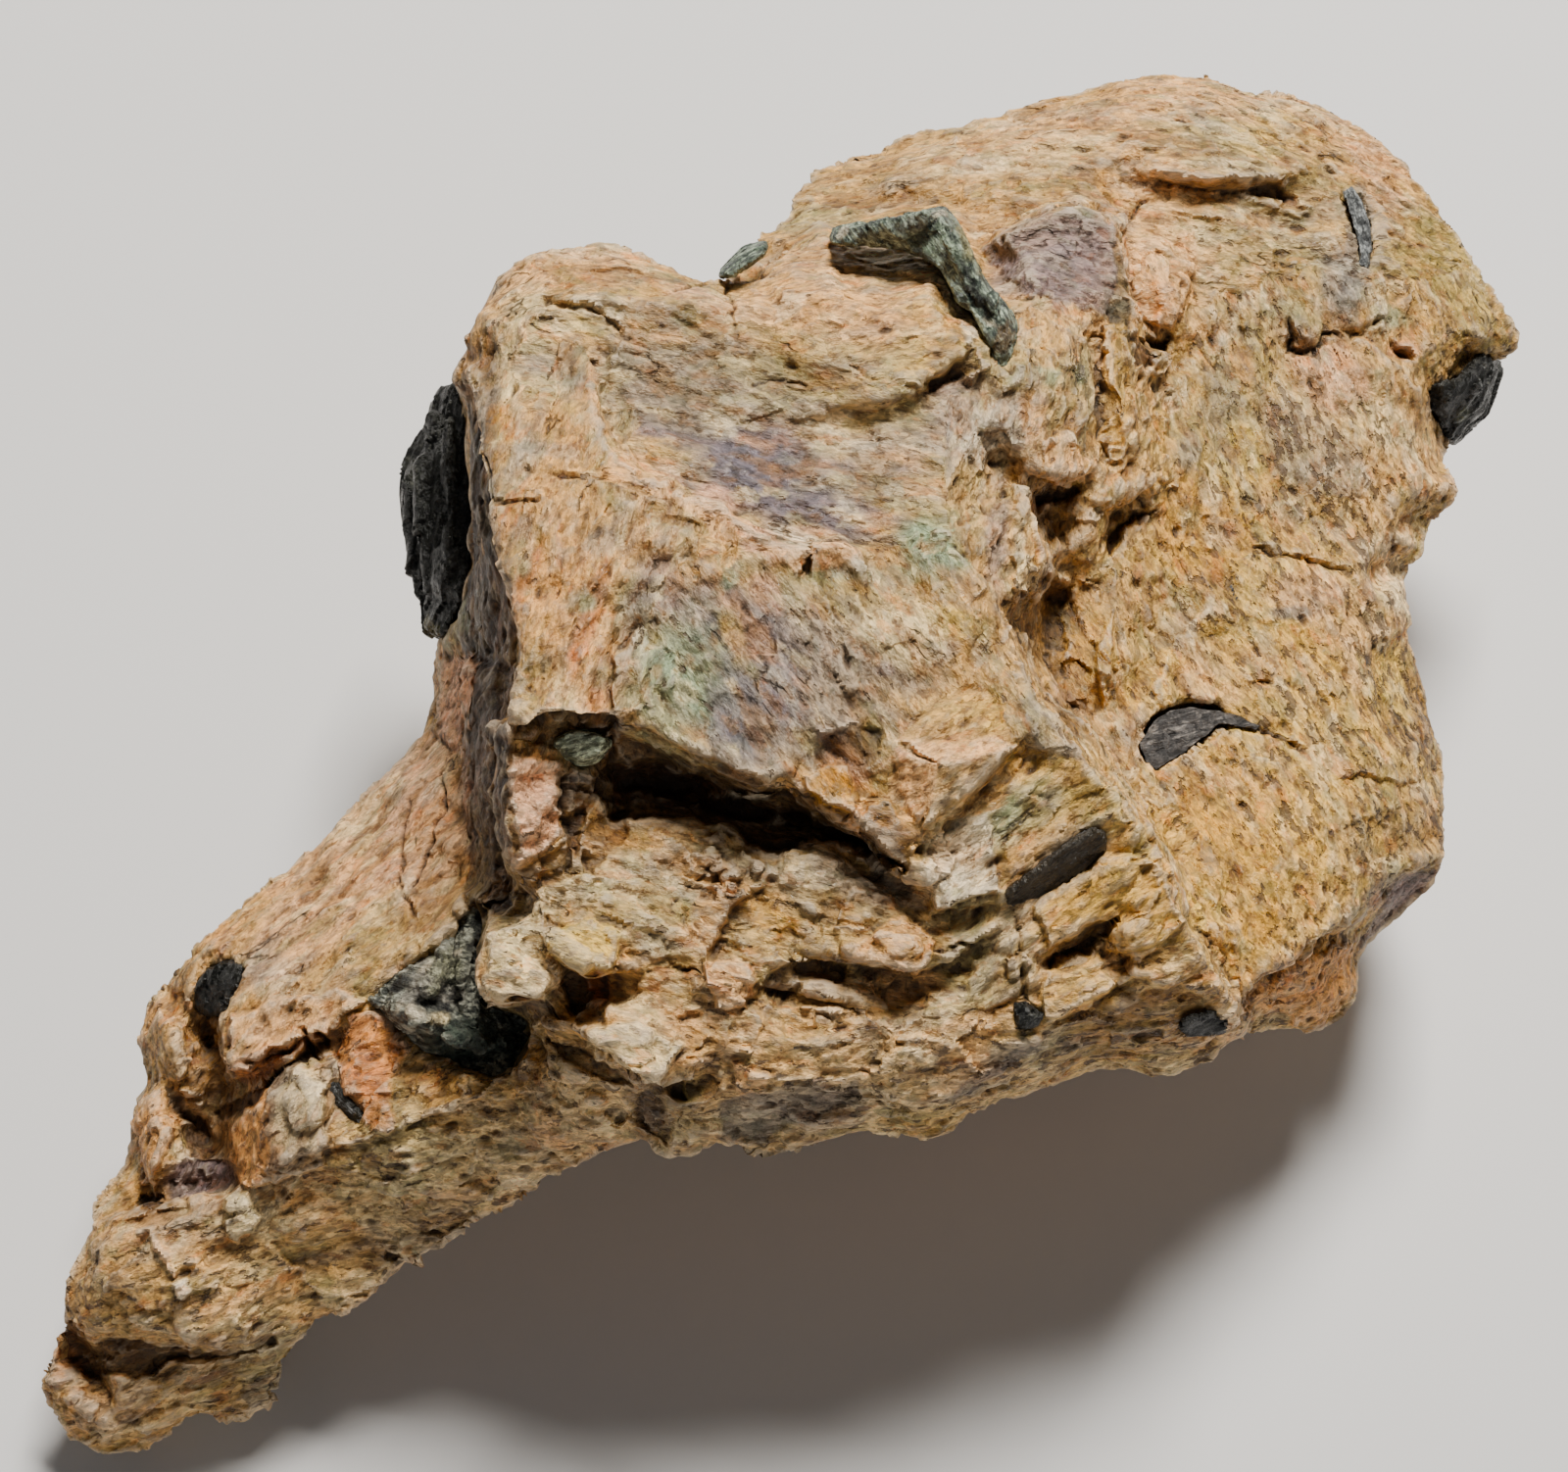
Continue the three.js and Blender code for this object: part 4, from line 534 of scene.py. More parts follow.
STAINS = [Stain(*row) for row in (
    # The front left slab of the plateau.
    (APRICOT, -29, 26, 30, 8.5, 86, 0.6), (OLIVE, -29, 26, 28, 8.5, 86, 0.28),
    (CREAM, -31, 47, 7, 5, 20, 0.55), (YELLOW, -26, 51.5, 5, 3.4, 10, 0.6),
    (GREY, -30, 46.6, 5, 1.4, -10, 0.55), (GREY, -31.4, 36.6, 6, 1.1, -5, 0.5),
    (PEACH, -27, 60, 14, 2.6, 8, 0.7), (PINK, -9.4, 55, 5, 2, -20, 0.6), (RUST, -33, 20, 6, 1.2, 66, 0.6),
    (RUST, -25.6, 13, 8, 1.3, 72, 0.65), (RUST, -23.4, 5, 5, 1.2, 80, 0.6),
    (RUST, -24.6, -1, 3, 1, 20, 0.5), (GREY, -33.6, 26.4, 2.4, 1.6, 60, 0.5),
    (GREEN_GREY, -26, 17, 1.8, 1.2, 0, 0.8), (GREY, -23.8, 24.6, 2.6, 1.6, 40, 0.5),
    (OLIVE, -32, 5, 6, 2.4, 75, 0.35), (OLIVE, -31.6, 12, 5, 1.4, 60, 0.4),
    (CREAM, -28.4, 4, 6, 1.6, 80, 0.45),
    # The grey dish.
    (GREEN_GREY, 0, 40, 26, 15, -15, 0.4), (GREY, -14, 45, 15, 7.5, -18, 0.62),
    (PURPLE_GREY, -4, 36, 17, 6.6, -24, 0.9), (INK, -1, 32.4, 9, 3, -24, 0.4),
    (PURPLE_GREY, -16, 42, 6, 3, -10, 0.5), (PURPLE_GREY, 4, 28.4, 7, 3, -10, 0.85),
    (PURPLE_GREY, 14, 36, 9, 3.6, 10, 0.45), (OLIVE, 0, 46, 10, 3, -14, 0.4),
    (OLIVE, 10, 32, 8, 2, -10, 0.4), (CREAM, -22.6, 44, 2, 6, 0, 0.4), (PEACH, -17, 34, 6, 1.6, -12, 0.75),
    (PINK, -8.5, 30, 3, 2.2, -30, 0.8), (PINK, -2.4, 24.6, 4, 2.4, -25, 0.9),
    (PEACH, 5, 25, 5, 1.8, -6, 0.8), (MINT, 18.6, 24.4, 3.6, 4.6, 60, 0.85),
    (MINT, 13.8, 20.6, 6, 1.6, 0, 0.6), (YELLOW, 15, 29, 5, 1.2, -16, 0.35),
    # The rounded block behind the dish.
    (PEACH, 6, 56, 12, 5, 0, 0.6), (CREAM, 16, 60, 8, 2, 12, 0.5), (HONEY, 20, 51, 7, 5, 60, 0.5),
    (BROWN, 21, 45.4, 5, 1.4, 20, 0.6), (GREY, 8, 47, 5, 1.2, 0, 0.4),
    (PURPLE_GREY, 26, 40, 7, 5, -30, 0.6), (PURPLE_GREY, 27.6, 26, 2.2, 8, 0, 0.65),
    (SLATE, 0, 31.4, 13, 4.4, -24, 0.5), (SLATE, -7, 37, 9, 4, -24, 0.3),
    (OLIVE, -14, 42.4, 9, 4, -10, 0.35), (OLIVE, -25, 50, 5, 4, 0, 0.4), (CREAM, -32.5, 52, 4, 5, 0, 0.4),
    (PALE, 3.8, 23.9, 7, 1.7, -20, 0.8), (PALE, 25, 39, 5, 4, 0, 0.4), (MINT, 18.8, 24, 4, 5, 0, 0.5),
    # The front face of the plateau.
    (GREY, -2, 8, 20, 11, -20, 0.7), (PURPLE_GREY, -5, 8, 13, 10, -30, 0.45),
    (GREEN_GREY, -12, 8, 9, 12, 0, 0.62), (PURPLE_GREY, -15.6, 18.6, 4, 5, -30, 0.6),
    (PURPLE_GREY, -10, 17, 4, 3, 0, 0.55), (INK, -9, 13.6, 3, 2.2, 30, 0.6),
    (MINT, -12.6, 6, 8, 1.6, -58, 0.7), (MINT, -7, 20, 3, 1, 50, 0.5),
    (YELLOW, -6.6, 13.6, 2.4, 1.2, -60, 0.7), (YELLOW, -5, 9, 2.6, 1.6, -50, 0.5),
    (PURPLE_GREY, -2.6, 7, 3.4, 4, 0, 0.6), (INK, -6.4, -1, 4.2, 1.7, -52, 0.65),
    (GREY, -10, 1, 4, 2, -50, 0.4), (CREAM, -13.6, -0.4, 4, 1.2, -25, 0.5),
    (GREEN_GREY, 3.6, 20.4, 4.4, 3, 0, 0.7), (MINT, 8.6, 20.6, 3.6, 1.2, 0, 0.6),
    (BROWN, 5.4, 16.6, 4, 1.6, 0, 0.5), (PINK, -2, 18, 2, 3, 20, 0.6), (CREAM, 12, 15, 7, 4, 0, 0.4),
    (YELLOW, 21.6, 14.6, 4, 1.8, -20, 0.7), (PURPLE_GREY, 19, 10.6, 3, 1.6, 10, 0.65),
    (PURPLE_GREY, 13, 8.4, 1.6, 1, 0, 0.6), (OLIVE, 10.6, -1.4, 2.2, 3.4, 0, 0.75),
    (OCHRE, 6.4, -5.4, 3.4, 2.4, 40, 0.7), (HONEY, 22, 4, 8, 2.4, -8, 0.4),
    (PEACH, 20, -3.4, 7, 4.6, 10, 0.45), (PALE, 18, -3, 4, 0.8, -10, 0.5),
    (APRICOT, 8.6, -10, 2.4, 1.4, 0, 0.6), (MINT, -13.8, 6.4, 5, 8, 0, 0.45),
    (SLATE, -7.5, 0.1, 4, 5, 0, 0.5), (SLATE, -3.6, 8, 5, 9, 0, 0.5), (OLIVE, 8.8, 18, 6, 3, 0, 0.55),
    (CREAM, 16, 12, 6, 4, 0, 0.6), (RUST, 7.5, -4.9, 3.4, 3, 0, 0.6), (BROWN, -35, 24, 2, 8, 0, 0.35),
    # The fibrous left wall and the blocks under it. The brown, umber and black bands along the wall are its
    # dark laminae and also painted shade, as the wall is turned away from the key lamp.
    (BROWN, -37.4, 8, 28, 3, 88, 0.75), (UMBER, -38.8, 34, 14, 2, 84, 0.8),
    (UMBER, -36, -8, 9, 1.4, 88, 0.6), (PINK, -42, 4, 6, 2, 80, 0.6), (PINK, -31.6, -9, 7, 3.4, 84, 0.7),
    (APRICOT, -32, -2.6, 3, 1, -10, 0.6), (GREY, -27.6, -7, 3, 1.8, 70, 0.75),
    (UMBER, -27.4, -13, 4, 1, 75, 0.7), (BLACK, -39.2, 16, 34, 3, 94, 0.9),
    # The pit under the lip: the two umber patches are painted shadow of the lip, and the cream patch is a
    # pale shard.
    (UMBER, -12, -7.4, 12, 3, -12, 0.55), (UMBER, 4, -12, 9, 1.6, -15, 0.6),
    (CREAM, -4.2, -8, 2.6, 0.7, 4, 0.9),
    # The terrace.
    (GREEN_GREY, 0, -24, 30, 12, -5, 0.3), (CREAM, -25, -19, 8, 3.4, 10, 0.45),
    (CREAM, -34, -27, 4, 5, 0, 0.55), (YELLOW, -25.4, -27.4, 4.6, 1.8, -18, 0.6),
    (PEACH, -10.4, -24.6, 5, 3, 20, 0.55), (GREY, -4, -18, 9, 3.4, -20, 0.5),
    (PURPLE_GREY, 8, -18.6, 6, 2, -20, 0.45), (OCHRE, -2, -22.4, 5, 2.6, -40, 0.5),
    (GREY, -16, -16.6, 4, 1.6, 10, 0.4), (BROWN, -24, -32.4, 5, 2, -20, 0.6),
    (PEACH, -9, -35, 5, 2.2, 0, 0.6), (BROWN, 6, -31.6, 8, 1.6, -15, 0.5),
    (CREAM, -19, -35, 5, 2.6, -30, 0.45), (PEACH, 15, -31.6, 4, 2, 0, 0.55),
    (PEACH, 23, -15.4, 4.4, 4.4, 0, 0.7), (PALE, 21.8, -18, 2.6, 1.4, 20, 0.5),
    (GREEN_GREY, 31, -8.6, 7, 3.4, 30, 0.65), (MINT, 28, -10.6, 2, 4, -20, 0.45),
    (GREY, 34.4, -8, 2.4, 1.4, 0, 0.6), (INK, 37, -12, 3, 0.8, 35, 0.4), (HONEY, 40, -20, 6, 4, -20, 0.5),
    (PEACH, 43.6, -27, 4, 3.4, -50, 0.4), (BROWN, 38.6, -28, 4, 1.6, 20, 0.5),
    (OCHRE, 17, -27, 4, 1.4, 0, 0.4),
    # The flank. The broad cream patch is painted light, the light that the floor throws back on the flank.
    (CREAM, 14, -46, 34, 6, 12, 0.35), (BROWN, -15.6, -48, 4, 3, 60, 0.6), (GREY, 4, -47.6, 9, 2.6, 6, 0.5),
    (GREY, 30, -40, 8, 2, 22, 0.5), (INK, 27, -43.6, 3, 1.2, 40, 0.4), (OLIVE, 40, -38.4, 9, 2.6, 10, 0.45),
    (HONEY, 20, -49, 7, 1.6, 0, 0.4), (GREY, -4, -50.6, 4, 1.4, 0, 0.5), (CREAM, 49, -41, 5, 2, 10, 0.35),
    # The purple block and the fibrous ridges.
    (PURPLE_GREY, 35, 60, 7.4, 5.4, 20, 0.8), (GREY, 36, 62, 3, 2, 0, 0.5),
    (MINT, 33, 45.6, 4.4, 1.4, 0, 0.65), (MINT, 37.6, 66.4, 3, 1, 0, 0.55),
    (GREEN_BLACK, 42.4, 57.6, 5, 1.4, 80, 0.75), (GREEN_BLACK, 38.6, 66.8, 3, 1, 0, 0.5),
    (PEACH, 45.8, 57.4, 2.4, 5, 0, 0.8), (UMBER, 47.2, 49, 2.4, 2, 0, 0.7),
    (APRICOT, 31.6, 41, 1.6, 4, -10, 0.5), (PEACH, 39.8, 45, 1.2, 4, 0, 0.55),
    (APRICOT, 38.4, 34.4, 1.6, 2, 0, 0.5), (GREEN_GREY, 36, 44, 3, 6, 0, 0.35),
    (BROWN, 34, 31, 5, 3, 0, 0.3), (BROWN, 33.6, 17, 3, 9, 0, 0.15), (BROWN, 36.6, 3, 6, 2.4, -50, 0.6),
    (OCHRE, 38, 12, 4, 3, 60, 0.6), (OCHRE, 44, 6, 4, 3, 0, 0.6),
    (PURPLE_GREY, 37, 3.6, 2.4, 1.2, -30, 0.45), (OLIVE, 56, 44, 12, 17, 0, 0.5),
    (YELLOW, 62, 2, 26, 34, -20, 0.5),
    # The dish.
    (HONEY, 62, -8, 26, 16, 60, 0.65), (OCHRE, 54, 26, 10, 6, 60, 0.55), (YELLOW, 58, 34, 3.4, 6, 0, 0.5),
    (OLIVE, 58, 46, 4, 7, -10, 0.5), (OLIVE, 52, 40, 3, 6, 0, 0.3), (GREY, 51.6, 36, 1.6, 3, 0, 0.5),
    (GREY, 66, 38, 7, 4, -40, 0.5), (GREY, 65, 28, 3.4, 1.8, -30, 0.5), (GREY, 70, 33, 4, 3, 0, 0.45),
    (PINK, 70.6, 46, 5, 4, -30, 0.6), (RUST, 70.6, 48, 2, 1, 0, 0.3), (CREAM, 76, 40, 6, 3, -50, 0.5),
    (PINK, 68, 18, 6, 3, 0, 0.5), (PALE, 78, 19, 3, 6, 20, 0.4), (PEACH, 73, 14, 6, 3, -10, 0.5),
    (YELLOW, 78, 6, 4, 6, 0, 0.5), (PEACH, 54, 6, 6, 2.4, -10, 0.5), (HONEY, 68, -14, 10, 6, 20, 0.4),
    (OCHRE, 56, -12, 8, 4, -50, 0.5), (YELLOW, 53, -22, 5, 2.4, -55, 0.6),
    (OCHRE, 60, -24, 6, 2.4, 20, 0.5), (GREY, 46, 0, 4, 2.4, -10, 0.6), (GREY, 64, 15.6, 3, 0.9, 0, 0.75),
    (GREEN_GREY, 52, 28, 2, 3, 0, 0.4), (BROWN, 80.8, 4, 8, 1.2, 100, 0.7),
    (PURPLE_GREY, 79, -19.4, 4.6, 1.8, 28, 0.7), (OCHRE, 69, -30, 6, 4, 40, 0.6),
    (APRICOT, 66, -32, 7, 4, 20, 0.7), (GREEN_GREY, 62, -36, 4, 1.4, 20, 0.4),
    # The upper slab.
    (PEACH, 46, 80, 26, 4, 12, 0.5), (PINK, 79, 68, 12, 3, -52, 0.5), (HONEY, 84, 56, 9, 4, -55, 0.5),
    (YELLOW, 62, 76.6, 5, 3.4, 0, 0.4), (OLIVE, 52, 76, 5, 3, -20, 0.45),
    (GREY, 53, 78.6, 3, 1.2, -50, 0.5), (BROWN, 56, 70, 9, 1.4, 0, 0.5), (OLIVE, 60, 66, 8, 2.4, -8, 0.4),
    (GREY, 70.6, 57, 3, 5.4, 10, 0.75), (INK, 71.6, 57, 1.4, 4, 0, 0.4), (OLIVE, 66, 60, 4, 4, 0, 0.6),
    (GREEN_GREY, 64, 54, 3, 2, 0, 0.6), (MINT, 77.6, 53.4, 3, 1.4, -20, 0.6), (OLIVE, 82, 49, 2, 3, 0, 0.5),
    (RUST, 79, 49.4, 2, 1.2, 0, 0.6), (GREY, 15, 71, 4, 1.2, 20, 0.4), (CREAM, 50, 62, 5, 3, 0, 0.5),
    (CREAM, 31, 74, 12, 3, 10, 0.35), (OLIVE, 29, 70.4, 5, 1.4, 0, 0.4), (HONEY, 85, 61, 6, 11, 35, 0.6),
    (OLIVE, 86, 60, 6, 11, 35, 0.7),
    # The tail. The broad cream patch on its flank is painted light, the light that the floor throws back on
    # it.
    (PURPLE_GREY, -66, -48, 20, 9, 50, 0.28), (CREAM, -42, -58, 30, 8, 32, 0.5),
    (PINK, -57, -18, 20, 7, 48, 0.5), (PINK, -46, -12, 6, 14, 5, 0.5), (CREAM, -52, -9, 8, 2, 45, 0.5),
    (GREY, -49.6, -7, 3, 1.2, 60, 0.4), (GREY, -66.4, -29, 4.6, 2, 50, 0.65),
    (APRICOT, -71.6, -25.6, 4, 2, 60, 0.55), (PEACH, -60.4, -26, 8, 3, 20, 0.4),
    (APRICOT, -65, -38.6, 6, 2.4, 28, 0.65), (APRICOT, -54.6, -38.6, 4, 5, 30, 0.65),
    (RUST, -53.4, -43, 4, 2, -50, 0.45), (CREAM, -51.6, -34.6, 2, 1, 40, 0.5),
    (APRICOT, -67, -50, 3, 6, 8, 0.6), (CREAM, -62, -48, 2.4, 7, -4, 0.5),
    (APRICOT, -79.4, -34, 3, 5, 0, 0.4), (PEACH, -81.4, -50, 3, 5, 10, 0.4),
    (BROWN, -74, -40, 2.4, 7, 5, 0.6), (PURPLE_GREY, -74.6, -56, 4, 2.4, 0, 0.75),
    (UMBER, -75.4, -51.6, 2.4, 5, 30, 0.6), (BROWN, -80, -59.6, 6, 1.4, 20, 0.55),
    (CREAM, -66.6, -61, 4, 3.4, -50, 0.6), (CREAM, -78, -67.6, 3.4, 1, -50, 0.6),
    (RUST, -91, -80, 3, 5, 30, 0.6), (UMBER, -88.6, -80.4, 2, 4, 30, 0.5),
    (BROWN, -76, -78, 12, 1.6, 4, 0.5), (OCHRE, -58, -67, 8, 3, 30, 0.5),
    (BROWN, -44, -60, 8, 2.4, 30, 0.4), (GREY, -32, -51, 6, 1.8, 20, 0.4),
    (UMBER, -69, -31.4, 5, 1.6, 45, 0.4),
)]


@dataclass(frozen=True)
class Mottle:
    """Small blotches of one colour all over the rock."""

    tint: Tint
    size: float
    seed: float
    level: float
    strength: float

    def cover(self, points: np.ndarray) -> np.ndarray:
        """Says how far the blotches cover each point."""
        return self.strength * ramp(rough(points, self.size, self.seed, 4), self.level, self.level + 0.4)


MOTTLES = [Mottle(*row) for row in (
    (PALE, 3.4, 101, 0.35, 0.3), (APRICOT, 4.5, 103, 0.35, 0.35), (GREY, 3.8, 107, 0.4, 0.4),
    (BROWN, 2.6, 109, 0.35, 0.6), (CREAM, 1.8, 111, 0.4, 0.4), (OLIVE, 3, 113, 0.5, 0.5),
    (BROWN, 1.4, 117, 0.45, 0.6),
)]

CRACKS = [Crack(*row) for row in (
    (((-38, 30), (-34, 29.9), (-31, 30.4)), 0.7, 0.7), (((-14, 56.5), (-11.5, 57.6), (-9, 58)), 0.6, 0.5),
    (((-7.5, 58), (-6.4, 54), (-5.5, 50)), 0.6, 0.6),
    (((-34.8, 0.6), (-32.4, 1.2), (-30.6, 2.6), (-28, 2.7), (-25.1, 2), (-22.5, 2)), 1.3, 2.2),
    (((-21.6, 3), (-21.9, -1), (-22.6, -4)), 0.9, 1.2),
    (((-27.6, -5), (-28.2, -9), (-27.4, -13), (-27.6, -17)), 0.8, 1.4),
    (((-43.7, -3), (-43.5, -9), (-45, -14), (-47, -19)), 0.7, 0.8),
    (((-48, -8), (-49, -16), (-48.5, -20), (-47, -24), (-47, -28)), 0.6, 0.6),
    (((5, 13.4), (7.4, 12), (7.8, 8.6)), 0.6, 0.7), (((-17.6, 13), (-15.4, 11), (-13.6, 9)), 0.6, 0.7),
    (((60, 24), (66, 22.5), (72, 21)), 0.7, 0.7), (((60.3, 1.5), (64, -0.5), (67, -1.5)), 0.6, 0.7),
    (((62.4, 55), (64.5, 52.1), (65, 49.5), (67.6, 48.5), (68.9, 51.3), (72.3, 51), (75.8, 52.8)), 0.9,
     1.2),
    (((77.7, 49.8), (78.8, 49), (80.2, 48.2)), 1, 2),
    (((50.5, -21), (52, -24.5), (54, -25.5), (56, -24.5)), 0.7, 0.8),
    (((20, -27.5), (22, -26.8), (24, -26.5)), 0.7, 0.8),
    (((30.1, -24.6), (30, -29), (30.5, -33.4)), 0.9, 1.2),
    (((-61, -37), (-60.4, -39.6), (-58.6, -43)), 0.9, 1.4),
    (((-71, -42), (-65, -41), (-59, -37.6)), 1, 1.4), (((-4, 45), (-1, 45.6), (3, 44.4)), 0.6, 0.5),
    (((-32.9, 33.9), (-28, 33.2), (-22.9, 32.9)), 0.8, 0.8),
    (((-14.1, -21.1), (-10.6, -18), (-7.7, -15.1)), 0.5, 0.6),
    (((-21.6, -29.7), (-16, -29.8), (-10.5, -29.8)), 0.4, 0.5),
    (((8.3, -35), (10.3, -37), (11.5, -37.3)), 0.7, 1),
    (((59, -33.3), (61.6, -31.2), (65, -29.5), (68, -26.5), (71.1, -23.9)), 1.1, 2.2),
    (((62.4, -4.5), (61.8, -5.6), (61.2, -6.7)), 0.5, 0.7),
    (((42.7, 63.5), (44, 66), (46, 68.1)), 0.6, 0.9),
    (((29.3, -22.6), (30.6, -27.7), (29.7, -32), (30.6, -33.8)), 0.5, 0.7),
    (((1.6, 62), (8, 62.4), (12.6, 62)), 0.6, 0.6),
)]


LEDGES = [Ledge(*row) for row in (
    # The plateau: the yellow lobe, the rim in front of the dish, and the lower edges.
    (1.2, 6, ((-33.3, 56), (-24.9, 55.3), (-21.6, 53), (-20.9, 50.3), (-21.6, 48.6), (-23.6, 46.3))),
    (1.9, 6, ((9.7, 23.2), (7.8, 25.5), (3.2, 25.5), (3.2, 23.6), (-0.5, 25), (-4.2, 26.4), (-7.4, 29.7),
     (-10.2, 30.6), (-12.5, 30.6), (-15.3, 32.9), (-18.1, 32.9), (-21, 35.5), (-22.9, 37.9), (-24.2, 42.9),
     (-23.6, 46.3))),
    (1.8, 7, ((-17.6, 14.4), (-21.3, 10.2), (-21.6, 5), (-21.5, 2), (-20.8, 0.9))),
    (2.5, 5, ((-22, 1.6), (-16.7, -0.9), (-11.6, -2.3), (-7.9, -3.7), (-5.1, -5), (-1.9, -6), (3, -7))),
    (1.8, 5, ((-35, 0.6), (-29.6, 2.6), (-26, 2.2), (-22.2, 2))),
    # The terrace and its steps.
    (1.6, 6, ((-10.1, -28.7), (-8.5, -24.7), (-6.1, -21.5), (-2.9, -19.1), (-2.5, -17.5))),
    (2, 5, ((7.5, -27.1), (9.5, -29.1), (13.8, -29.5), (17, -30.7), (19.8, -29.5), (25, -25.5),
     (29, -23.9))),
    (1.6, 4, ((20.2, -22.3), (23, -21.5), (27.4, -19.9))),
    (1.5, 6, ((13.8, -38.7), (8.3, -35.5), (3.9, -33.9), (-3.7, -34.7), (-6, -36))),
    (1.8, 5, ((32, -37.5), (38.4, -33.8), (44.7, -31), (51, -31.8), (56, -34.6))),
    # The crest between the terrace and the dish, and the plates of the dish.
    (1.3, 5, ((59, -31.6), (56, -30.3), (51.7, -23.4), (49.1, -17.4), (46.1, -11.8), (42.2, -6.2),
     (35.8, -0.2), (30.2, 6.7))),
    (1.2, 6, ((65, -1.5), (63.7, -0.6), (59.4, 1.1), (55.6, 1.9), (52.5, -0.2), (49.5, -3.6),
     (47.4, -4.9))),
    (0.9, 4, ((48.7, 9.7), (47.2, 6.3), (47.8, 4.1))),
    (1, 5, ((69.8, -5.8), (73.6, -4.5), (78.4, -6.2), (82.2, -5.8))),
    (0.9, 6, ((60, 24.5), (66, 22.6), (72.5, 20.6))),
    # The upper slab.
    (1.2, 8, ((45, 69.5), (48, 70.9), (52.5, 70.7), (57.8, 71.2), (63, 70.7), (66.9, 67.6))),
    (1.5, 6, ((82, 41.4), (80.6, 44.6), (78, 47.8), (73.4, 51.1), (69.5, 51.8), (67.6, 49.8))),
    # The edge along the tail.
    (1.2, 8, ((-68.6, -55.8), (-64.6, -54.7), (-56.6, -52.3), (-52.6, -51.1), (-48.7, -49.9),
     (-40.7, -47.1), (-30.3, -45.5))),
)]
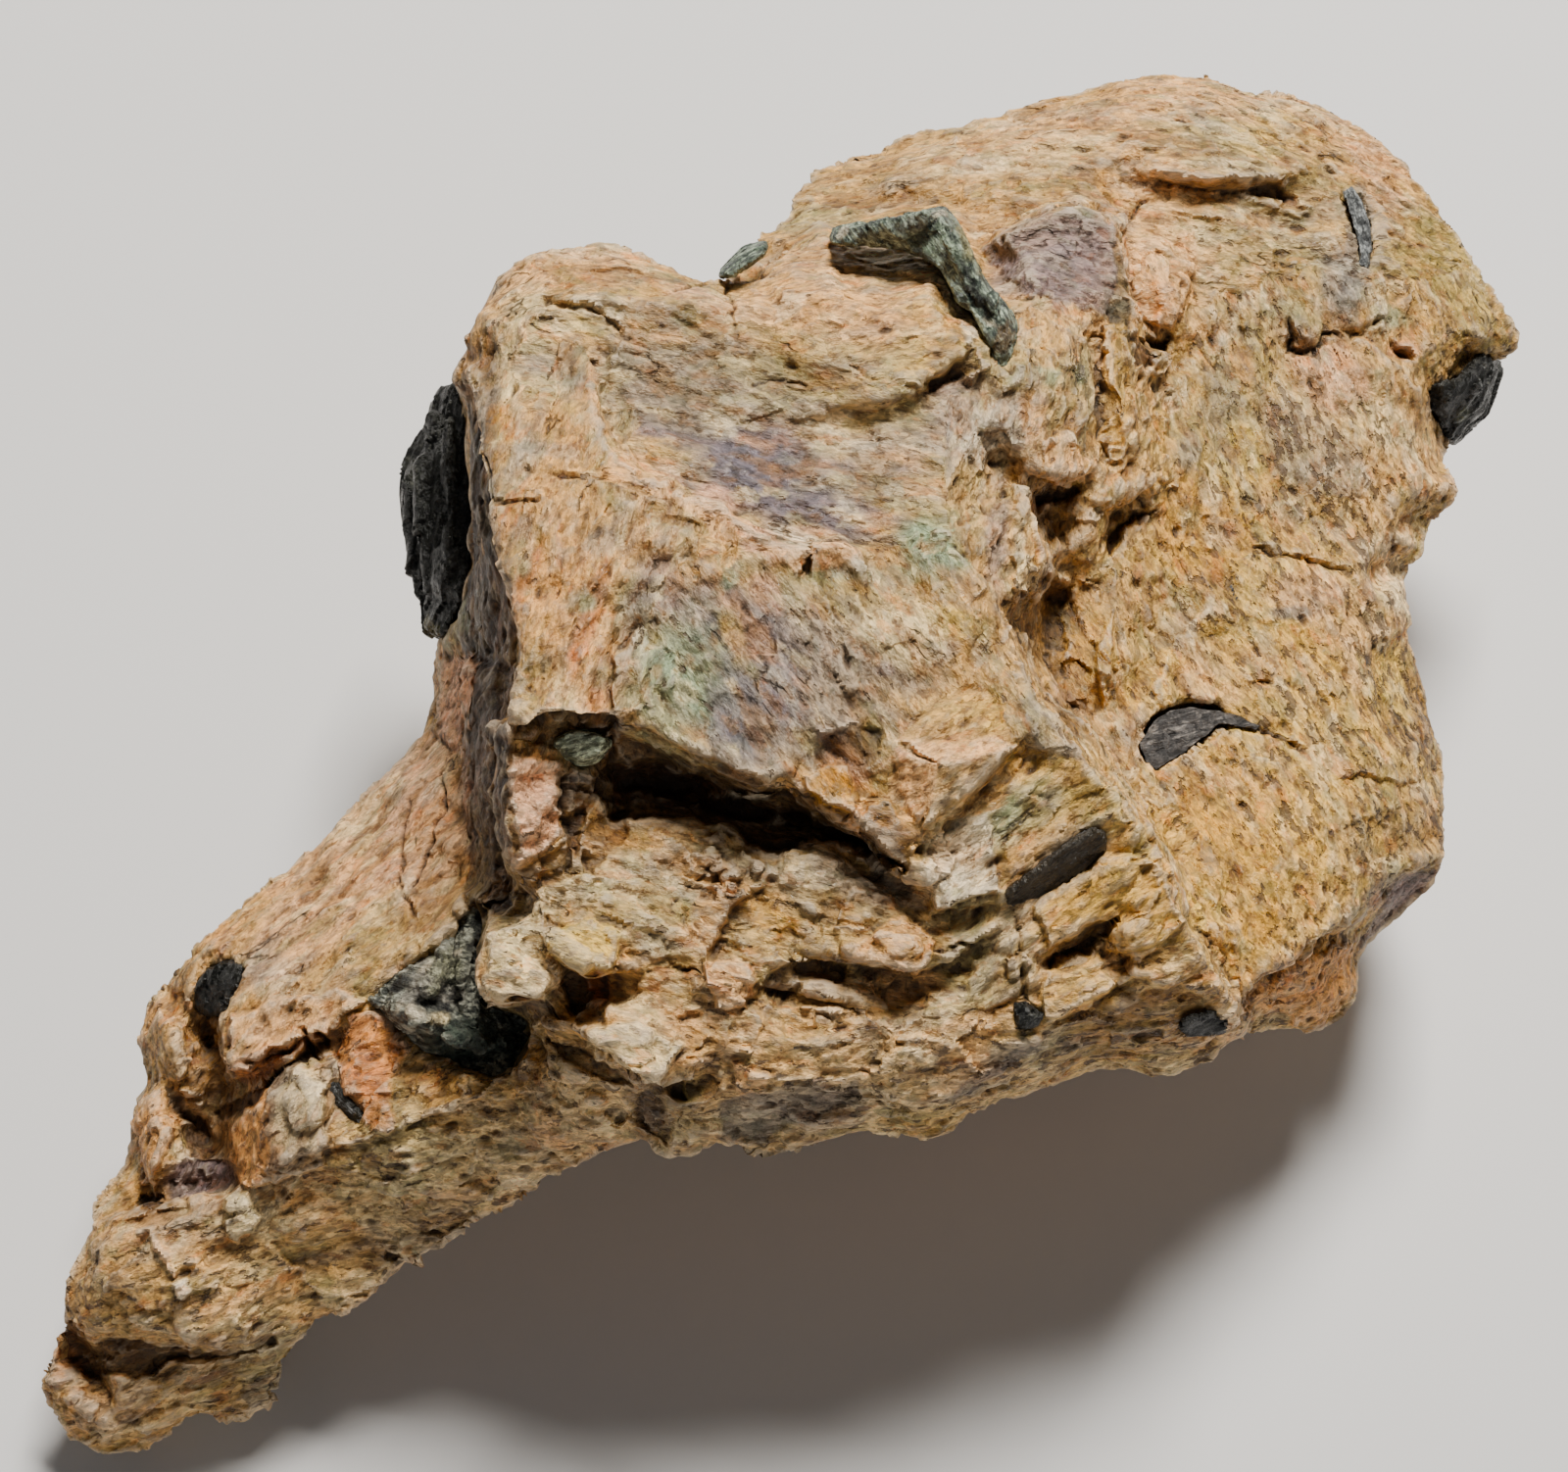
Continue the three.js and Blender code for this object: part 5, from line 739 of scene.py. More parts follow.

# Most umber and brown facets sink into dark recesses; their umber and brown is partly painted shade of the
# recess.
FACETS = [Facet(*row) for row in (
    # The pink rim in front of the dish, and the brown notch under it, whose brown is partly painted shade.
    (PEACH, 0.8, 0.2, (0, 0), ((-18.1, 32.9), (-15.3, 32.9), (-12.5, 30.6), (-10.2, 30.6), (-7.4, 29.7),
     (-4.2, 26.4), (-0.5, 25), (3.2, 23.6), (3.2, 25.5), (7.8, 25.5), (9.7, 23.2), (6.9, 21.8), (3.2, 21.3),
     (2.3, 19.9), (-1.4, 22.7), (-5.1, 24.6), (-8.8, 25), (-10.2, 27.8), (-13.5, 29.7), (-17.6, 31))),
    (BROWN, 0.42, -0.5, (0, 0), ((-17.6, 30.1), (-14.4, 28.3), (-10.7, 27.3), (-10.2, 25.5), (-12.5, 26.4),
     (-16.7, 27.8))),
    # The hollow under the lip of the plateau, its umber being painted shadow of the lip, and the shards in
    # it.
    (UMBER, 0.77, -2, (0, 0.4), ((-24.5, -0.5), (-21.4, 1.4), (-16.8, -0.6), (-12.9, -2.2), (-8.5, -3.8),
     (-4.5, -5.4), (-2, -6.2), (3, -7.2), (8, -9.6), (12, -13), (15.4, -16.9), (9.9, -14), (5.9, -13.6),
     (0.3, -15.1), (-2.5, -15.1), (-7.7, -11.6), (-12.1, -10.8), (-16.8, -10.4), (-22.4, -10.8),
     (-24.5, -6))),
    (PALE, 0.6, 2.2, (0.1, 0.1), ((-7.3, -7.4), (-4.5, -7.2), (-1.7, -6.8), (-2.5, -8.2), (-6.1, -8.2))),
    (OCHRE, 0.6, 0.8, (0, 0), ((3, -5.4), (5.4, -3.4), (8, -3.6), (9, -6), (8.6, -9.4), (6.7, -10.6),
     (3, -8.2))),
    (UMBER, 0.47, -0.6, (0, 0), ((5.4, 0.6), (8.6, 1.4), (12, 0.6), (12.4, -2.6), (10, -4.8), (7.4, -3.2),
     (4.6, -1.6))),
    (BROWN, 0.7, 0.2, (0, 0.3), ((10.7, -8.8), (13.8, -8.4), (15.8, -12.4), (17.4, -12.8), (15.4, -16.8),
     (9.9, -11.2))),
    (APRICOT, 0.8, 1.6, (0, 0), ((6.7, -10.8), (9, -9.2), (10.3, -12.4))),
    # The arrow block.
    (PEACH, 0.85, 0.94, (0.014, -0.476), ((14.6, -0.4), (17.8, -0.6), (27.4, -0.3), (29.4, -1.2),
     (19.8, -4))),
    (PEACH, 0.8, 0.935, (0.337, 0.069), ((14.2, -1.2), (19.8, -4), (18.6, -8), (17.2, -11.6), (15.2, -7),
     (13.6, -3.4))),
    (OLIVE, 0.25, 1.27, (-0.19, 0.2225), ((19.8, -4), (29.4, -1.2), (25.8, -5.2), (17.8, -12), (18.6, -8))),
    # The gap under the front left slab, and the wall beside it. The umber of the gap, the hole and the wall,
    # and the brown band below, are partly painted shade.
    (UMBER, 0.51, -0.7, (0, 0), ((-35, 0.6), (-29.6, 2.6), (-22.2, 2), (-21.8, -0.6), (-24.5, -2.6),
     (-29.2, -1.8), (-34.7, -0.4))),
    (UMBER, 0.64, -0.2, (0.25, 0), ((-41.6, 47.9), (-40.6, 43), (-38.6, 35.1), (-37.9, 26.7), (-35.7, 21.7),
     (-34.2, 12.9), (-35.2, 2), (-35.2, -9.4), (-33.9, -16.8), (-36.6, -21), (-40.6, -21.7), (-40.1, -7.9),
     (-39.6, 2), (-38.9, 10.4), (-40.1, 14.8), (-41.6, 21.7), (-40.1, 25.7), (-42.1, 36.6), (-43.2, 44))),
    (PINK, 0.7, 0.9, (0, 0), ((-43.6, 9.9), (-39.1, 10.4), (-39.6, 2), (-41.8, -1.5), (-44.1, 2),
     (-43.3, 6.9))),
    (GREEN_GREY, 0.5, 0.2, (0, 0), ((-45, 18.8), (-40.6, 17.8), (-40.1, 14.3), (-42.6, 10.4),
     (-44.3, 12.9))),
    (PINK, 0.7, 0.9, (0, 0), ((-34.7, -2.5), (-28.3, -3.5), (-28.8, -7.9), (-28.3, -12.4), (-33.7, -16.3),
     (-34.2, -10.4), (-34.9, -5.4))),
    (UMBER, 0.59, -0.4, (0, 0), ((-28.8, -4.4), (-24.3, -5.4), (-23.3, -7.9), (-25.3, -10.4),
     (-28.3, -8.9))),
    (GREY, 0.85, 0.9, (0, 0), ((-27, -3.6), (-24.2, -5), (-25.2, -6.4), (-27.6, -5.8))),
    (UMBER, 0.85, -1.2, (0, 0), ((-27.8, -9.4), (-25.3, -9), (-26.3, -15.8), (-27.3, -14.3))),
    (BROWN, 0.64, -0.8, (0, 0), ((-33.7, -16.8), (-29.2, -14.3), (-22.3, -9.9), (-20, -8.9), (-20, -12.4),
     (-25.3, -17.3), (-30.2, -19.3), (-40.1, -22.7), (-40.6, -21.7))),
    (UMBER, 0.85, -1.9, (0, 0), ((-40.1, -21.7), (-35.2, -19.8), (-34.5, -21.4), (-39.6, -24.2))),
    # The left end of the terrace.
    (YELLOW, 0.8, 1.5, (0, -0.1), ((-29.6, -24.7), (-24.8, -23.1), (-21.2, -25.1), (-21.6, -29.7),
     (-25.2, -29.7), (-29.6, -26.7))),
    (UMBER, 0.72, -1.7, (0, 0), ((-29.2, -27.5), (-25.2, -29.9), (-22.8, -30.3), (-22.4, -33.5),
     (-23.2, -37.1), (-26.8, -36.7), (-28.4, -31.9))),
    (RUST, 0.5, 0.6, (0, 0), ((-25.2, -30.2), (-22.8, -30.3), (-22.4, -33.5), (-24, -35))),
    (CREAM, 0.6, 1.6, (0.05, -0.05), ((-37.7, -25.7), (-33.8, -23.9), (-31.4, -21), (-29.3, -26.2),
     (-28.5, -29.9), (-30.1, -33.1), (-34.3, -33.9), (-36.9, -33.9), (-38.5, -32))),
    (UMBER, 0.68, -1.1, (0, 0), ((-38.5, -33.9), (-30.6, -33.6), (-28.5, -35.4), (-31.4, -36.5),
     (-35.3, -38.9), (-38, -36.2))),
    (CREAM, 0.7, 1.5, (0, -0.1), ((-25.1, -37.5), (-18.8, -36.8), (-12.7, -38.9), (-16.1, -44.4),
     (-21.1, -42), (-24.8, -39.4))),
    (UMBER, 0.59, -1.1, (0, 0), ((-30.1, -38.9), (-24.8, -39.6), (-21.1, -42.3), (-16.1, -44.6),
     (-12.7, -43.1), (-12.5, -46.5), (-16.9, -45.2), (-20.9, -43.9), (-27.4, -41.5))),
    (UMBER, 0.51, -0.7, (0, 0), ((-21.4, -43.3), (-16.9, -45.2), (-14.3, -50.4), (-14.8, -52.5),
     (-18.8, -48.6))),
    # The middle of the terrace.
    (PEACH, 0.7, 1.3, (0, -0.1), ((-10.1, -28.7), (-4.5, -28.7), (-3.7, -31.9), (-4.5, -34.7),
     (-8.5, -35.1), (-10.1, -31.9))),
    (UMBER, 0.68, -1.2, (0, 0), ((-2.9, -31.9), (0.3, -28.7), (5.9, -28.3), (8.3, -29.5), (7.5, -31.9),
     (3.1, -31.9), (0.3, -33.5), (-2.1, -33.5))),
    (APRICOT, 0.5, 1.2, (0, -0.12), ((7.1, -27.1), (9.9, -25.5), (15.4, -23.1), (19.4, -26.3), (17, -30.7),
     (9.9, -28.3))),
    (PALE, 0.5, 0.7, (0, -0.05), ((17.8, -13.2), (25.8, -9.6), (27.8, -19.9), (20.2, -22.3),
     (17.4, -17.5))),
    (GREY, 0.6, -0.2, (0, 0), ((10.5, -15), (16, -18.5), (18.6, -22.8), (15, -22.5), (11, -18))),
    # The right end of the terrace. The brown under it and its umber recesses are partly painted shade.
    (HONEY, 0.5, 1, (0, 0), ((32.3, -21.7), (39.2, -15.7), (44.4, -15.3), (48.2, -17), (50.8, -23.4),
     (45.7, -29), (41.4, -27.3), (42.2, -23), (37.9, -24.3), (33.6, -26.9), (32.3, -24.3))),
    (UMBER, 0.77, -1.4, (0, 0), ((33.2, -29), (35.8, -26), (39.2, -24.3), (42.2, -22.6), (41.8, -24.7),
     (39.6, -26.5), (38.8, -27.7), (34.9, -28.2), (33.6, -29.7))),
    (HONEY, 0.4, 0.8, (0, 0), ((33.6, -30.3), (39.6, -26.5), (42.2, -32.5), (35.8, -35.9), (32.7, -35.5))),
    (BROWN, 0.38, -0.5, (0, 0), ((33.2, -39.9), (38.4, -34.6), (44.7, -31.5), (51, -32.5), (55.8, -35.7),
     (48.4, -39.4), (39.5, -41.5), (32.6, -44.1))),
    (UMBER, 0.77, -0.9, (0, 0), ((44.2, -37.3), (47.9, -37.3), (47.9, -38.9), (45, -38.5))),
    (INK, 0.7, -0.6, (0, 0), ((50.5, -36.2), (54, -35.5), (56.5, -36.5), (55.5, -38.1), (51.5, -38.3))),
    # The flank.
    (GREY, 0.6, -0.4, (0, 0), ((-8.4, -47.3), (-2.6, -46.2), (3.1, -44.6), (9.5, -43.6), (10, -46.7),
     (3.1, -48.9), (-2.6, -52), (-7.4, -51))),
    (INK, 0.5, -0.2, (0, 0), ((20, -46.7), (25.3, -42.5), (30.5, -38.9), (32.6, -38.9), (27.4, -43.1),
     (22.1, -46.7))),
    (PEACH, 0.6, 0.6, (0, 0), ((-6.8, -42), (-2.1, -43.6), (-2.1, -46.2), (-6.3, -45.7))),
    # The valley and the fibrous ridges.
    (BROWN, 0.42, -0.7, (0, 0), ((27.5, 17.5), (30, 13), (33, 8), (37, 2), (41, 3.5), (42, 8), (38.5, 13),
     (36, 19), (32, 21))),
    (HONEY, 0.6, 0.9, (0, 0), ((39.6, 11), (42.2, 16.2), (41.8, 9.7), (40.9, 3.2), (40.1, 7.5))),
    (CREAM, 0.5, 0.9, (0, 0), ((28.9, 18.3), (33.2, 19.6), (32.3, 23), (29.3, 23))),
    (UMBER, 0.68, -1.1, (0, 0), ((33.2, 20.5), (36.6, 19.6), (35.8, 16.6), (33.6, 17.4))),
    (PURPLE_GREY, 0.75, 0.7, (0, 0.05), ((25.1, 62.2), (31.6, 66.1), (36.2, 67.1), (42.1, 64.8),
     (42.1, 58.9), (40.8, 53.7), (36.8, 55), (31.6, 56.3), (29, 58.3))),
    (GREEN_BLACK, 0.8, -0.6, (0, 0), ((40.8, 55), (43.4, 55), (44.7, 49.8), (43.4, 42), (42.1, 47.2))),
    (PEACH, 0.7, 0.9, (0, -0.1), ((42.7, 62.9), (52.5, 64.2), (52.1, 57.6), (49.5, 51.7), (45.6, 53),
     (43.4, 58.3))),
    (APRICOT, 0.8, 0, (0, 0), ((46.6, 57.6), (49.9, 58.3), (48.6, 52.4), (47.3, 51.1))),
    (UMBER, 0.81, -1.7, (0, 0), ((44.7, 51.1), (49.3, 50.4), (47.3, 47.2), (44.7, 47.2))),
    (HONEY, 0.5, 1.1, (-0.2, 0), ((40.4, 52.3), (43.7, 52.3), (44.5, 43), (43, 35), (40.8, 35), (41, 43))),
    (GREEN_GREY, 0.3, 0.6, (0, 0), ((36.8, 50.6), (39.6, 50.6), (39.6, 41), (38.5, 36), (36.8, 39))),
    (HONEY, 0.4, 0.5, (0, 0), ((46.5, 42), (49, 42), (48.5, 30), (46, 28))),
    (PEACH, 0.5, 0.9, (0, 0), ((32.5, 37.3), (35.4, 38.6), (38.4, 35.5), (38.6, 33), (34.1, 31.8))),
    (UMBER, 0.77, -1.6, (0, 0), ((31.9, 31.1), (38.3, 31.9), (37.9, 30.7), (32.5, 29.5))),
    (UMBER, 0.68, -1.2, (0, 0), ((41, 25.3), (44.9, 28.2), (47, 28.6), (43.7, 26.6), (41.6, 23.2))),
    # The rounded block.
    (PALE, 0.65, 0.7, (0, 0), ((7.4, 63.2), (19.2, 60.9), (23.8, 55), (25.7, 51.1), (23.1, 49.8),
     (19.8, 57.6), (8.1, 60.9))),
    (UMBER, 0.68, -1.2, (0, 0), ((17.9, 45.2), (23.8, 49.1), (25.1, 47.2), (18.5, 43.9))),
    # The upper slab. The brown band under its ledge and the umber spot are painted shade.
    (BROWN, 0.64, -0.8, (0, 0), ((47.3, 70.7), (52.5, 70.7), (57.8, 71.4), (63, 70.7), (66.9, 67.4),
     (65.6, 66.8), (60.4, 69.1), (53.8, 69.4), (49.3, 70.1))),
    (UMBER, 0.59, -0.9, (0, 0), ((64.3, 53.7), (66, 50.8), (68, 49.4), (66, 48.4), (64, 50))),
    (GREY, 0.6, 0.1, (0, 0), ((71.5, 70), (74, 70), (75.4, 66), (74.8, 60), (73.5, 55.7), (70.2, 55),
     (72.1, 64.8))),
    # The lower right edge and its knob.
    (BROWN, 0.34, -0.4, (0, 0), ((70.2, -12.3), (73.6, -10.5), (78.4, -8.8), (82.7, -8.8), (83.5, -13.1),
     (77.9, -16.1), (71.5, -16.6))),
    (PURPLE_GREY, 0.7, -0.2, (0, 0), ((72.8, -27.7), (76.2, -21.3), (80.5, -17.8), (84.4, -16.6), (81, -20),
     (77, -25))),
    (APRICOT, 0.6, 0.9, (0, 0), ((62.4, -31.6), (68, -27.3), (72.3, -26.5), (73, -30.8), (70.6, -35.9),
     (65, -36.4), (61.6, -33.8))),
    # The blocks of the tail.
    (PEACH, 0.7, 1.7, (0, -0.12), ((-70.2, -35.9), (-63.8, -33.5), (-56.6, -32.3), (-53.4, -33.5),
     (-58.2, -37.1), (-63.8, -39.1), (-68.6, -42.7), (-70.6, -42.7))),
    (RUST, 0.6, 0.3, (0, 0.3), ((-68.6, -40.3), (-58.2, -37.7), (-61, -40.3), (-64.6, -42.3),
     (-68.6, -44.7), (-70.6, -43.1))),
    (UMBER, 0.72, -1.3, (0, 0), ((-72.6, -47.9), (-67, -45.1), (-63.8, -42.3), (-58.2, -37.5),
     (-57.4, -38.7), (-63, -43.9), (-67, -47.1), (-72.2, -49.1))),
    (APRICOT, 0.75, 1.4, (0.25, 0), ((-71, -50.7), (-67, -46.7), (-65, -44.3), (-65.4, -52.7),
     (-66.6, -57.4), (-68.6, -57.8), (-71, -53.5))),
    (GREY, 0.3, 1.7, (-0.1, 0), ((-65, -44.3), (-63, -41.9), (-58.6, -45.1), (-59.4, -49.1), (-58.2, -51.1),
     (-59, -54.7), (-64.6, -57.1), (-66.6, -57.4), (-65.4, -52.7))),
    (CREAM, 0.8, 0.6, (0, 0), ((-61.8, -43.1), (-58.6, -45.1), (-59, -49.9), (-60.2, -49.9),
     (-60.6, -46.3))),
    (RUST, 0.6, 0.8, (0, 0), ((-55.4, -35.1), (-51, -35.1), (-47.5, -39.5), (-50.2, -43.9), (-49.5, -50.3),
     (-53.4, -49.9), (-56.2, -44.3), (-56.6, -41.5))),
    (APRICOT, 0.6, 1.8, (0, 0), ((-81.7, -45.9), (-79, -44.7), (-77.4, -48.3), (-78.2, -51.9),
     (-80.1, -55.1), (-80.5, -58.2), (-82.1, -56.7), (-81.7, -51.1), (-83.3, -49.9))),
    (PURPLE_GREY, 0.85, -0.8, (0, 0), ((-78.6, -56.7), (-76.2, -54.3), (-71, -54.3), (-69.8, -57.5),
     (-74.2, -59.1), (-77.4, -59.5))),
    (UMBER, 0.85, -1.6, (0, 0), ((-82.5, -58.3), (-79, -59.1), (-81, -60.7), (-82.5, -60.3))),
    (BROWN, 0.64, -0.4, (0.3, 0), ((-74.6, -32.7), (-70.2, -38.3), (-72.6, -42.3), (-73.4, -45.5),
     (-76.6, -44.3), (-77, -38))),
    (UMBER, 0.68, -1.3, (0, 0), ((-87.7, -77.4), (-82.5, -76.2), (-79.4, -77.8), (-74.2, -78.6),
     (-68.6, -78.4), (-64.6, -76.6), (-65, -77.8), (-70, -79.6), (-78.2, -80.2), (-83, -82.2),
     (-86.5, -81.4))),
    (UMBER, 0.55, -1.4, (0, 0), ((-92.5, -75), (-91.3, -74.6), (-87.3, -78.6), (-86.5, -82.2),
     (-90.1, -81.4), (-92.5, -80.2))),
    (PALE, 1, 1.1, (0, 0), ((-77.8, -70.2), (-76.2, -69.4), (-75.4, -70.6), (-76.6, -71.4))),
    (APRICOT, 0.8, 1, (0, 0), ((-81, -63.4), (-79.4, -65.4), (-77.4, -68.2), (-77.8, -69), (-80.6, -65.4))),
    (CREAM, 0.85, 1, (0, 0), ((-71.4, -59), (-68.6, -58.6), (-67, -61.4), (-69.8, -65), (-71, -62.6))),
    (UMBER, 0.85, -0.9, (0, 0), ((-51.4, -66.2), (-49.1, -66.2), (-49.5, -67.4), (-51, -67.2))),
    (BROWN, 0.59, -0.6, (0, 0), ((-46.3, -61.4), (-39.5, -60.6), (-39.1, -61.4), (-43.9, -64.6),
     (-46.3, -64.2))),
)]

HOLES = [Hole(*row) for row in (
    (-16, -5.6, 7, 2.2, -10, 2.2), (-6, -9.4, 6, 1.6, -8, 1.9), (4, -11.4, 6, 1.2, -18, 1.6),
    (11, -14.6, 4, 1, -24, 1.4), (-17, -47, 3, 2.6, 40, 1.4), (78.9, 48.9, 1.5, 0.8, -20, 1.5),
    (61.2, 6.8, 1.6, 0.5, 10, 0.7), (68.9, 4.1, 0.9, 0.9, 0, 0.7), (44.8, 19.2, 0.9, 0.6, 0, 0.6),
    (65, -1, 1.1, 0.6, -20, 1), (58.3, -9, 0.9, 0.8, 0, 0.7), (43.4, -28.4, 1, 2.4, 0, 1),
    (34.4, 12, 1.6, 6, 0, 1.1), (36.8, 2, 3.4, 1.4, -50, 1.1), (-75, -50.6, 1.8, 3.6, 25, 1.4),
    (-73.4, -38.6, 1.2, 3.4, 10, 1.4), (-80, -61.6, 5, 1, 12, 1.1),
)]


class Nodes:
    """A short way to write a node tree."""

    VALUES = 2
    COLOURS = 6

    def __init__(self, tree: bpy.types.NodeTree) -> None:
        """Keeps the tree that is written to.

        Args:
            tree: a material's or a group's node tree.
        """
        self.tree = tree

    def add(self, kind: str, *values: object, **inputs: object) -> bpy.types.Node:
        """Adds a node.

        Args:
            kind: the node's type.
            values: what the first sockets get, in order: a socket is linked, and a value is set.
            inputs: what the named sockets get. An underscore stands for a space, and the name of a property
                of the node sets that property.

        Returns:
            The node.
        """
        node = self.tree.nodes.new(kind)
        sockets = dict(enumerate(values))
        for name, value in inputs.items():
            if hasattr(node, name):
                setattr(node, name, value)
            else:
                sockets[name.replace("_", " ")] = value
        for name, value in sockets.items():
            self.put(node, name, value)
        return node

    def put(self, node: bpy.types.Node, name: str | int, value: object) -> None:
        """Links a socket to an input, or sets the input's own value.

        Args:
            node: the node that has the input.
            name: the input's name or number.
            value: a socket or a value.
        """
        socket = node.inputs[name]
        if isinstance(value, bpy.types.NodeSocket):
            self.tree.links.new(value, socket)
        else:
            socket.default_value = value

    def attribute(self, name: str, output: str = "Color") -> bpy.types.NodeSocket:
        """Reads one of the mesh's own attributes."""
        return self.add("ShaderNodeAttribute", attribute_name=name).outputs[output]

    def math(
        self, operation: str, first: object, second: object, clamp: bool = False
    ) -> bpy.types.NodeSocket:
        """Adds a sum, product or other operation on two values."""
        node = self.add("ShaderNodeMath", first, second, operation=operation, use_clamp=clamp)
        return node.outputs[0]

    def product(self, first: object, second: object) -> bpy.types.NodeSocket:
        """Multiplies two values."""
        return self.math("MULTIPLY", first, second)

    def vector(self, operation: str, first: object, second: object) -> bpy.types.Node:
        """Adds an operation on two vectors."""
        return self.add("ShaderNodeVectorMath", first, second, operation=operation)

    def blended(self, node: bpy.types.Node, start: int, first: object, second: object) -> bpy.types.Node:
        """Gives a mix node its two inputs.

        Args:
            node: the mix node.
            start: the number of its first input of the kind that it mixes.
            first: what the first input gets.
            second: what the second input gets.

        Returns:
            The node.
        """
        self.put(node, start, first)
        self.put(node, start + 1, second)
        return node

    def mix(self, share: object, first: object, second: object, blend: str = "MIX") -> bpy.types.NodeSocket:
        """Mixes two colours by a share."""
        node = self.add("ShaderNodeMix", share, data_type="RGBA", blend_type=blend)
        return self.blended(node, self.COLOURS, first, second).outputs[2]

    def noise(self, place: object, scale: object, detail: float, roughness: float) -> bpy.types.NodeSocket:
        """Adds a noise and gives its value."""
        noise = self.add("ShaderNodeTexNoise", Vector=place, Scale=scale, Detail=detail, Roughness=roughness)
        return noise.outputs[0]

    def scaled(self, colour: object, amount: object) -> bpy.types.NodeSocket:
        """Multiplies a colour by a value."""
        return self.add("ShaderNodeVectorMath", colour, operation="SCALE", Scale=amount).outputs[0]

    def tinted(self, colour: object, by: object) -> bpy.types.NodeSocket:
        """Multiplies a colour by another."""
        return self.mix(1.0, colour, by, "MULTIPLY")

    def mixed_value(self, share: object, first: object, second: object) -> bpy.types.NodeSocket:
        """Mixes two values by a share."""
        return self.blended(self.add("ShaderNodeMix", share), self.VALUES, first, second).outputs[0]

    def wobbled(self, place: object, scale: float, detail: float, reach: float) -> bpy.types.NodeSocket:
        """Shifts a place by a noise, by up to a reach in metres."""
        noise = self.add("ShaderNodeTexNoise", Vector=place, Scale=scale, Detail=detail)
        return self.vector("ADD", place, self.scaled(noise.outputs["Color"], reach)).outputs[0]

    def window(
        self, value: object, low: float, high: float, start: float = 0.0, end: float = 1.0
    ) -> bpy.types.NodeSocket:
        """Eases a value between two limits."""
        limits = (low, high, start, end)
        return self.add("ShaderNodeMapRange", value, *limits, interpolation_type="SMOOTHSTEP").outputs[0]

    def group(self, tree: bpy.types.NodeTree, place: object, **inputs: object) -> bpy.types.Node:
        """Adds a node group that reads a place."""
        return self.add("ShaderNodeGroup", node_tree=tree, Vector=place, **inputs)

    def bump(self, shader: bpy.types.Node, height: object) -> None:
        """Shades a surface by its height in metres."""
        bump = self.add("ShaderNodeBump", Strength=1.0, Distance=1.0, Height=height)
        self.put(shader, "Normal", bump.outputs[0])


def new_group(
    name: str, inputs: dict[str, float | None], outputs: tuple[str, ...]
) -> tuple[Nodes, dict[str, bpy.types.NodeSocket], bpy.types.Node]:
    """Makes an empty shader node group.

    Args:
        name: the group's name.
        inputs: each input's name and value, or None for a vector.
        outputs: the names of the output values.

    Returns:
        The group's nodes, its input sockets by name, and its output node.
    """
    tree = bpy.data.node_groups.new(name, "ShaderNodeTree")
    for label, value in inputs.items():
        kind = "NodeSocketVector" if value is None else "NodeSocketFloat"
        socket = tree.interface.new_socket(name=label, in_out="INPUT", socket_type=kind)
        if value is not None:
            socket.default_value = value
    for label in outputs:
        tree.interface.new_socket(name=label, in_out="OUTPUT", socket_type="NodeSocketFloat")
    nodes = Nodes(tree)
    entry = tree.nodes.new("NodeGroupInput")
    leave = tree.nodes.new("NodeGroupOutput")
    return nodes, {s.name: s for s in entry.outputs if s.name}, leave


def grain_group() -> bpy.types.NodeTree:
    """Makes the pattern of mineral grains, each with its own brightness, tilt and gloss.

    Returns:
        The group, with Brightness and Glint from 0 to 1, and Height in metres.
    """
    nodes, inputs, leave = new_group(
        "mineral_grain",
        {"Vector": None, "Grains per Metre": 900.0, "Tilt": 0.6},
        ("Brightness", "Height", "Glint"),
    )
    place = nodes.wobbled(inputs["Vector"], 700.0, 3.0, 0.0011)
    cells = nodes.add("ShaderNodeTexVoronoi", Vector=place, Scale=inputs["Grains per Metre"])
    offset = nodes.vector("SUBTRACT", place, cells.outputs["Position"])
    turned = nodes.vector("SUBTRACT", cells.outputs["Color"], (0.5, 0.5, 0.5))
    face = nodes.vector("DOT_PRODUCT", offset.outputs[0], turned.outputs[0])
    split = nodes.add("ShaderNodeSeparateColor", cells.outputs["Color"])
    finer = nodes.product(inputs["Grains per Metre"], 2.1)
    crumbs = nodes.add("ShaderNodeTexVoronoi", Vector=place, Scale=finer)
    fine = nodes.add("ShaderNodeSeparateColor", crumbs.outputs["Color"])
    nodes.put(leave, "Brightness", nodes.mixed_value(0.45, split.outputs[0], fine.outputs[0]))
    nodes.put(leave, "Height", nodes.product(face.outputs["Value"], inputs["Tilt"]))
    nodes.put(leave, "Glint", nodes.window(fine.outputs[1], 0.84, 0.9))
    return nodes.tree


def pit_group() -> bpy.types.NodeTree:
    """Makes small weathered pits in drifts.

    Returns:
        The group, with Pit from 0 on the surface to 1 in a pit.
    """
    nodes, inputs, leave = new_group(
        "weathered_pits",
        {"Vector": None, "Pits per Metre": 520.0, "Amount": 0.5},
        ("Pit",),
    )
    fine = nodes.noise(inputs["Vector"], inputs["Pits per Metre"], 3.0, 0.6)
    drifts = nodes.noise(inputs["Vector"], 70.0, 2.0, 0.5)
    level = nodes.math("ADD", fine, nodes.product(nodes.math("SUBTRACT", drifts, 0.5), 0.3))
    needed = nodes.math("SUBTRACT", 0.74, nodes.product(inputs["Amount"], 0.17))
    over = nodes.math("SUBTRACT", level, needed)
    nodes.put(leave, "Pit", nodes.window(over, 0.0, 0.05))
    return nodes.tree


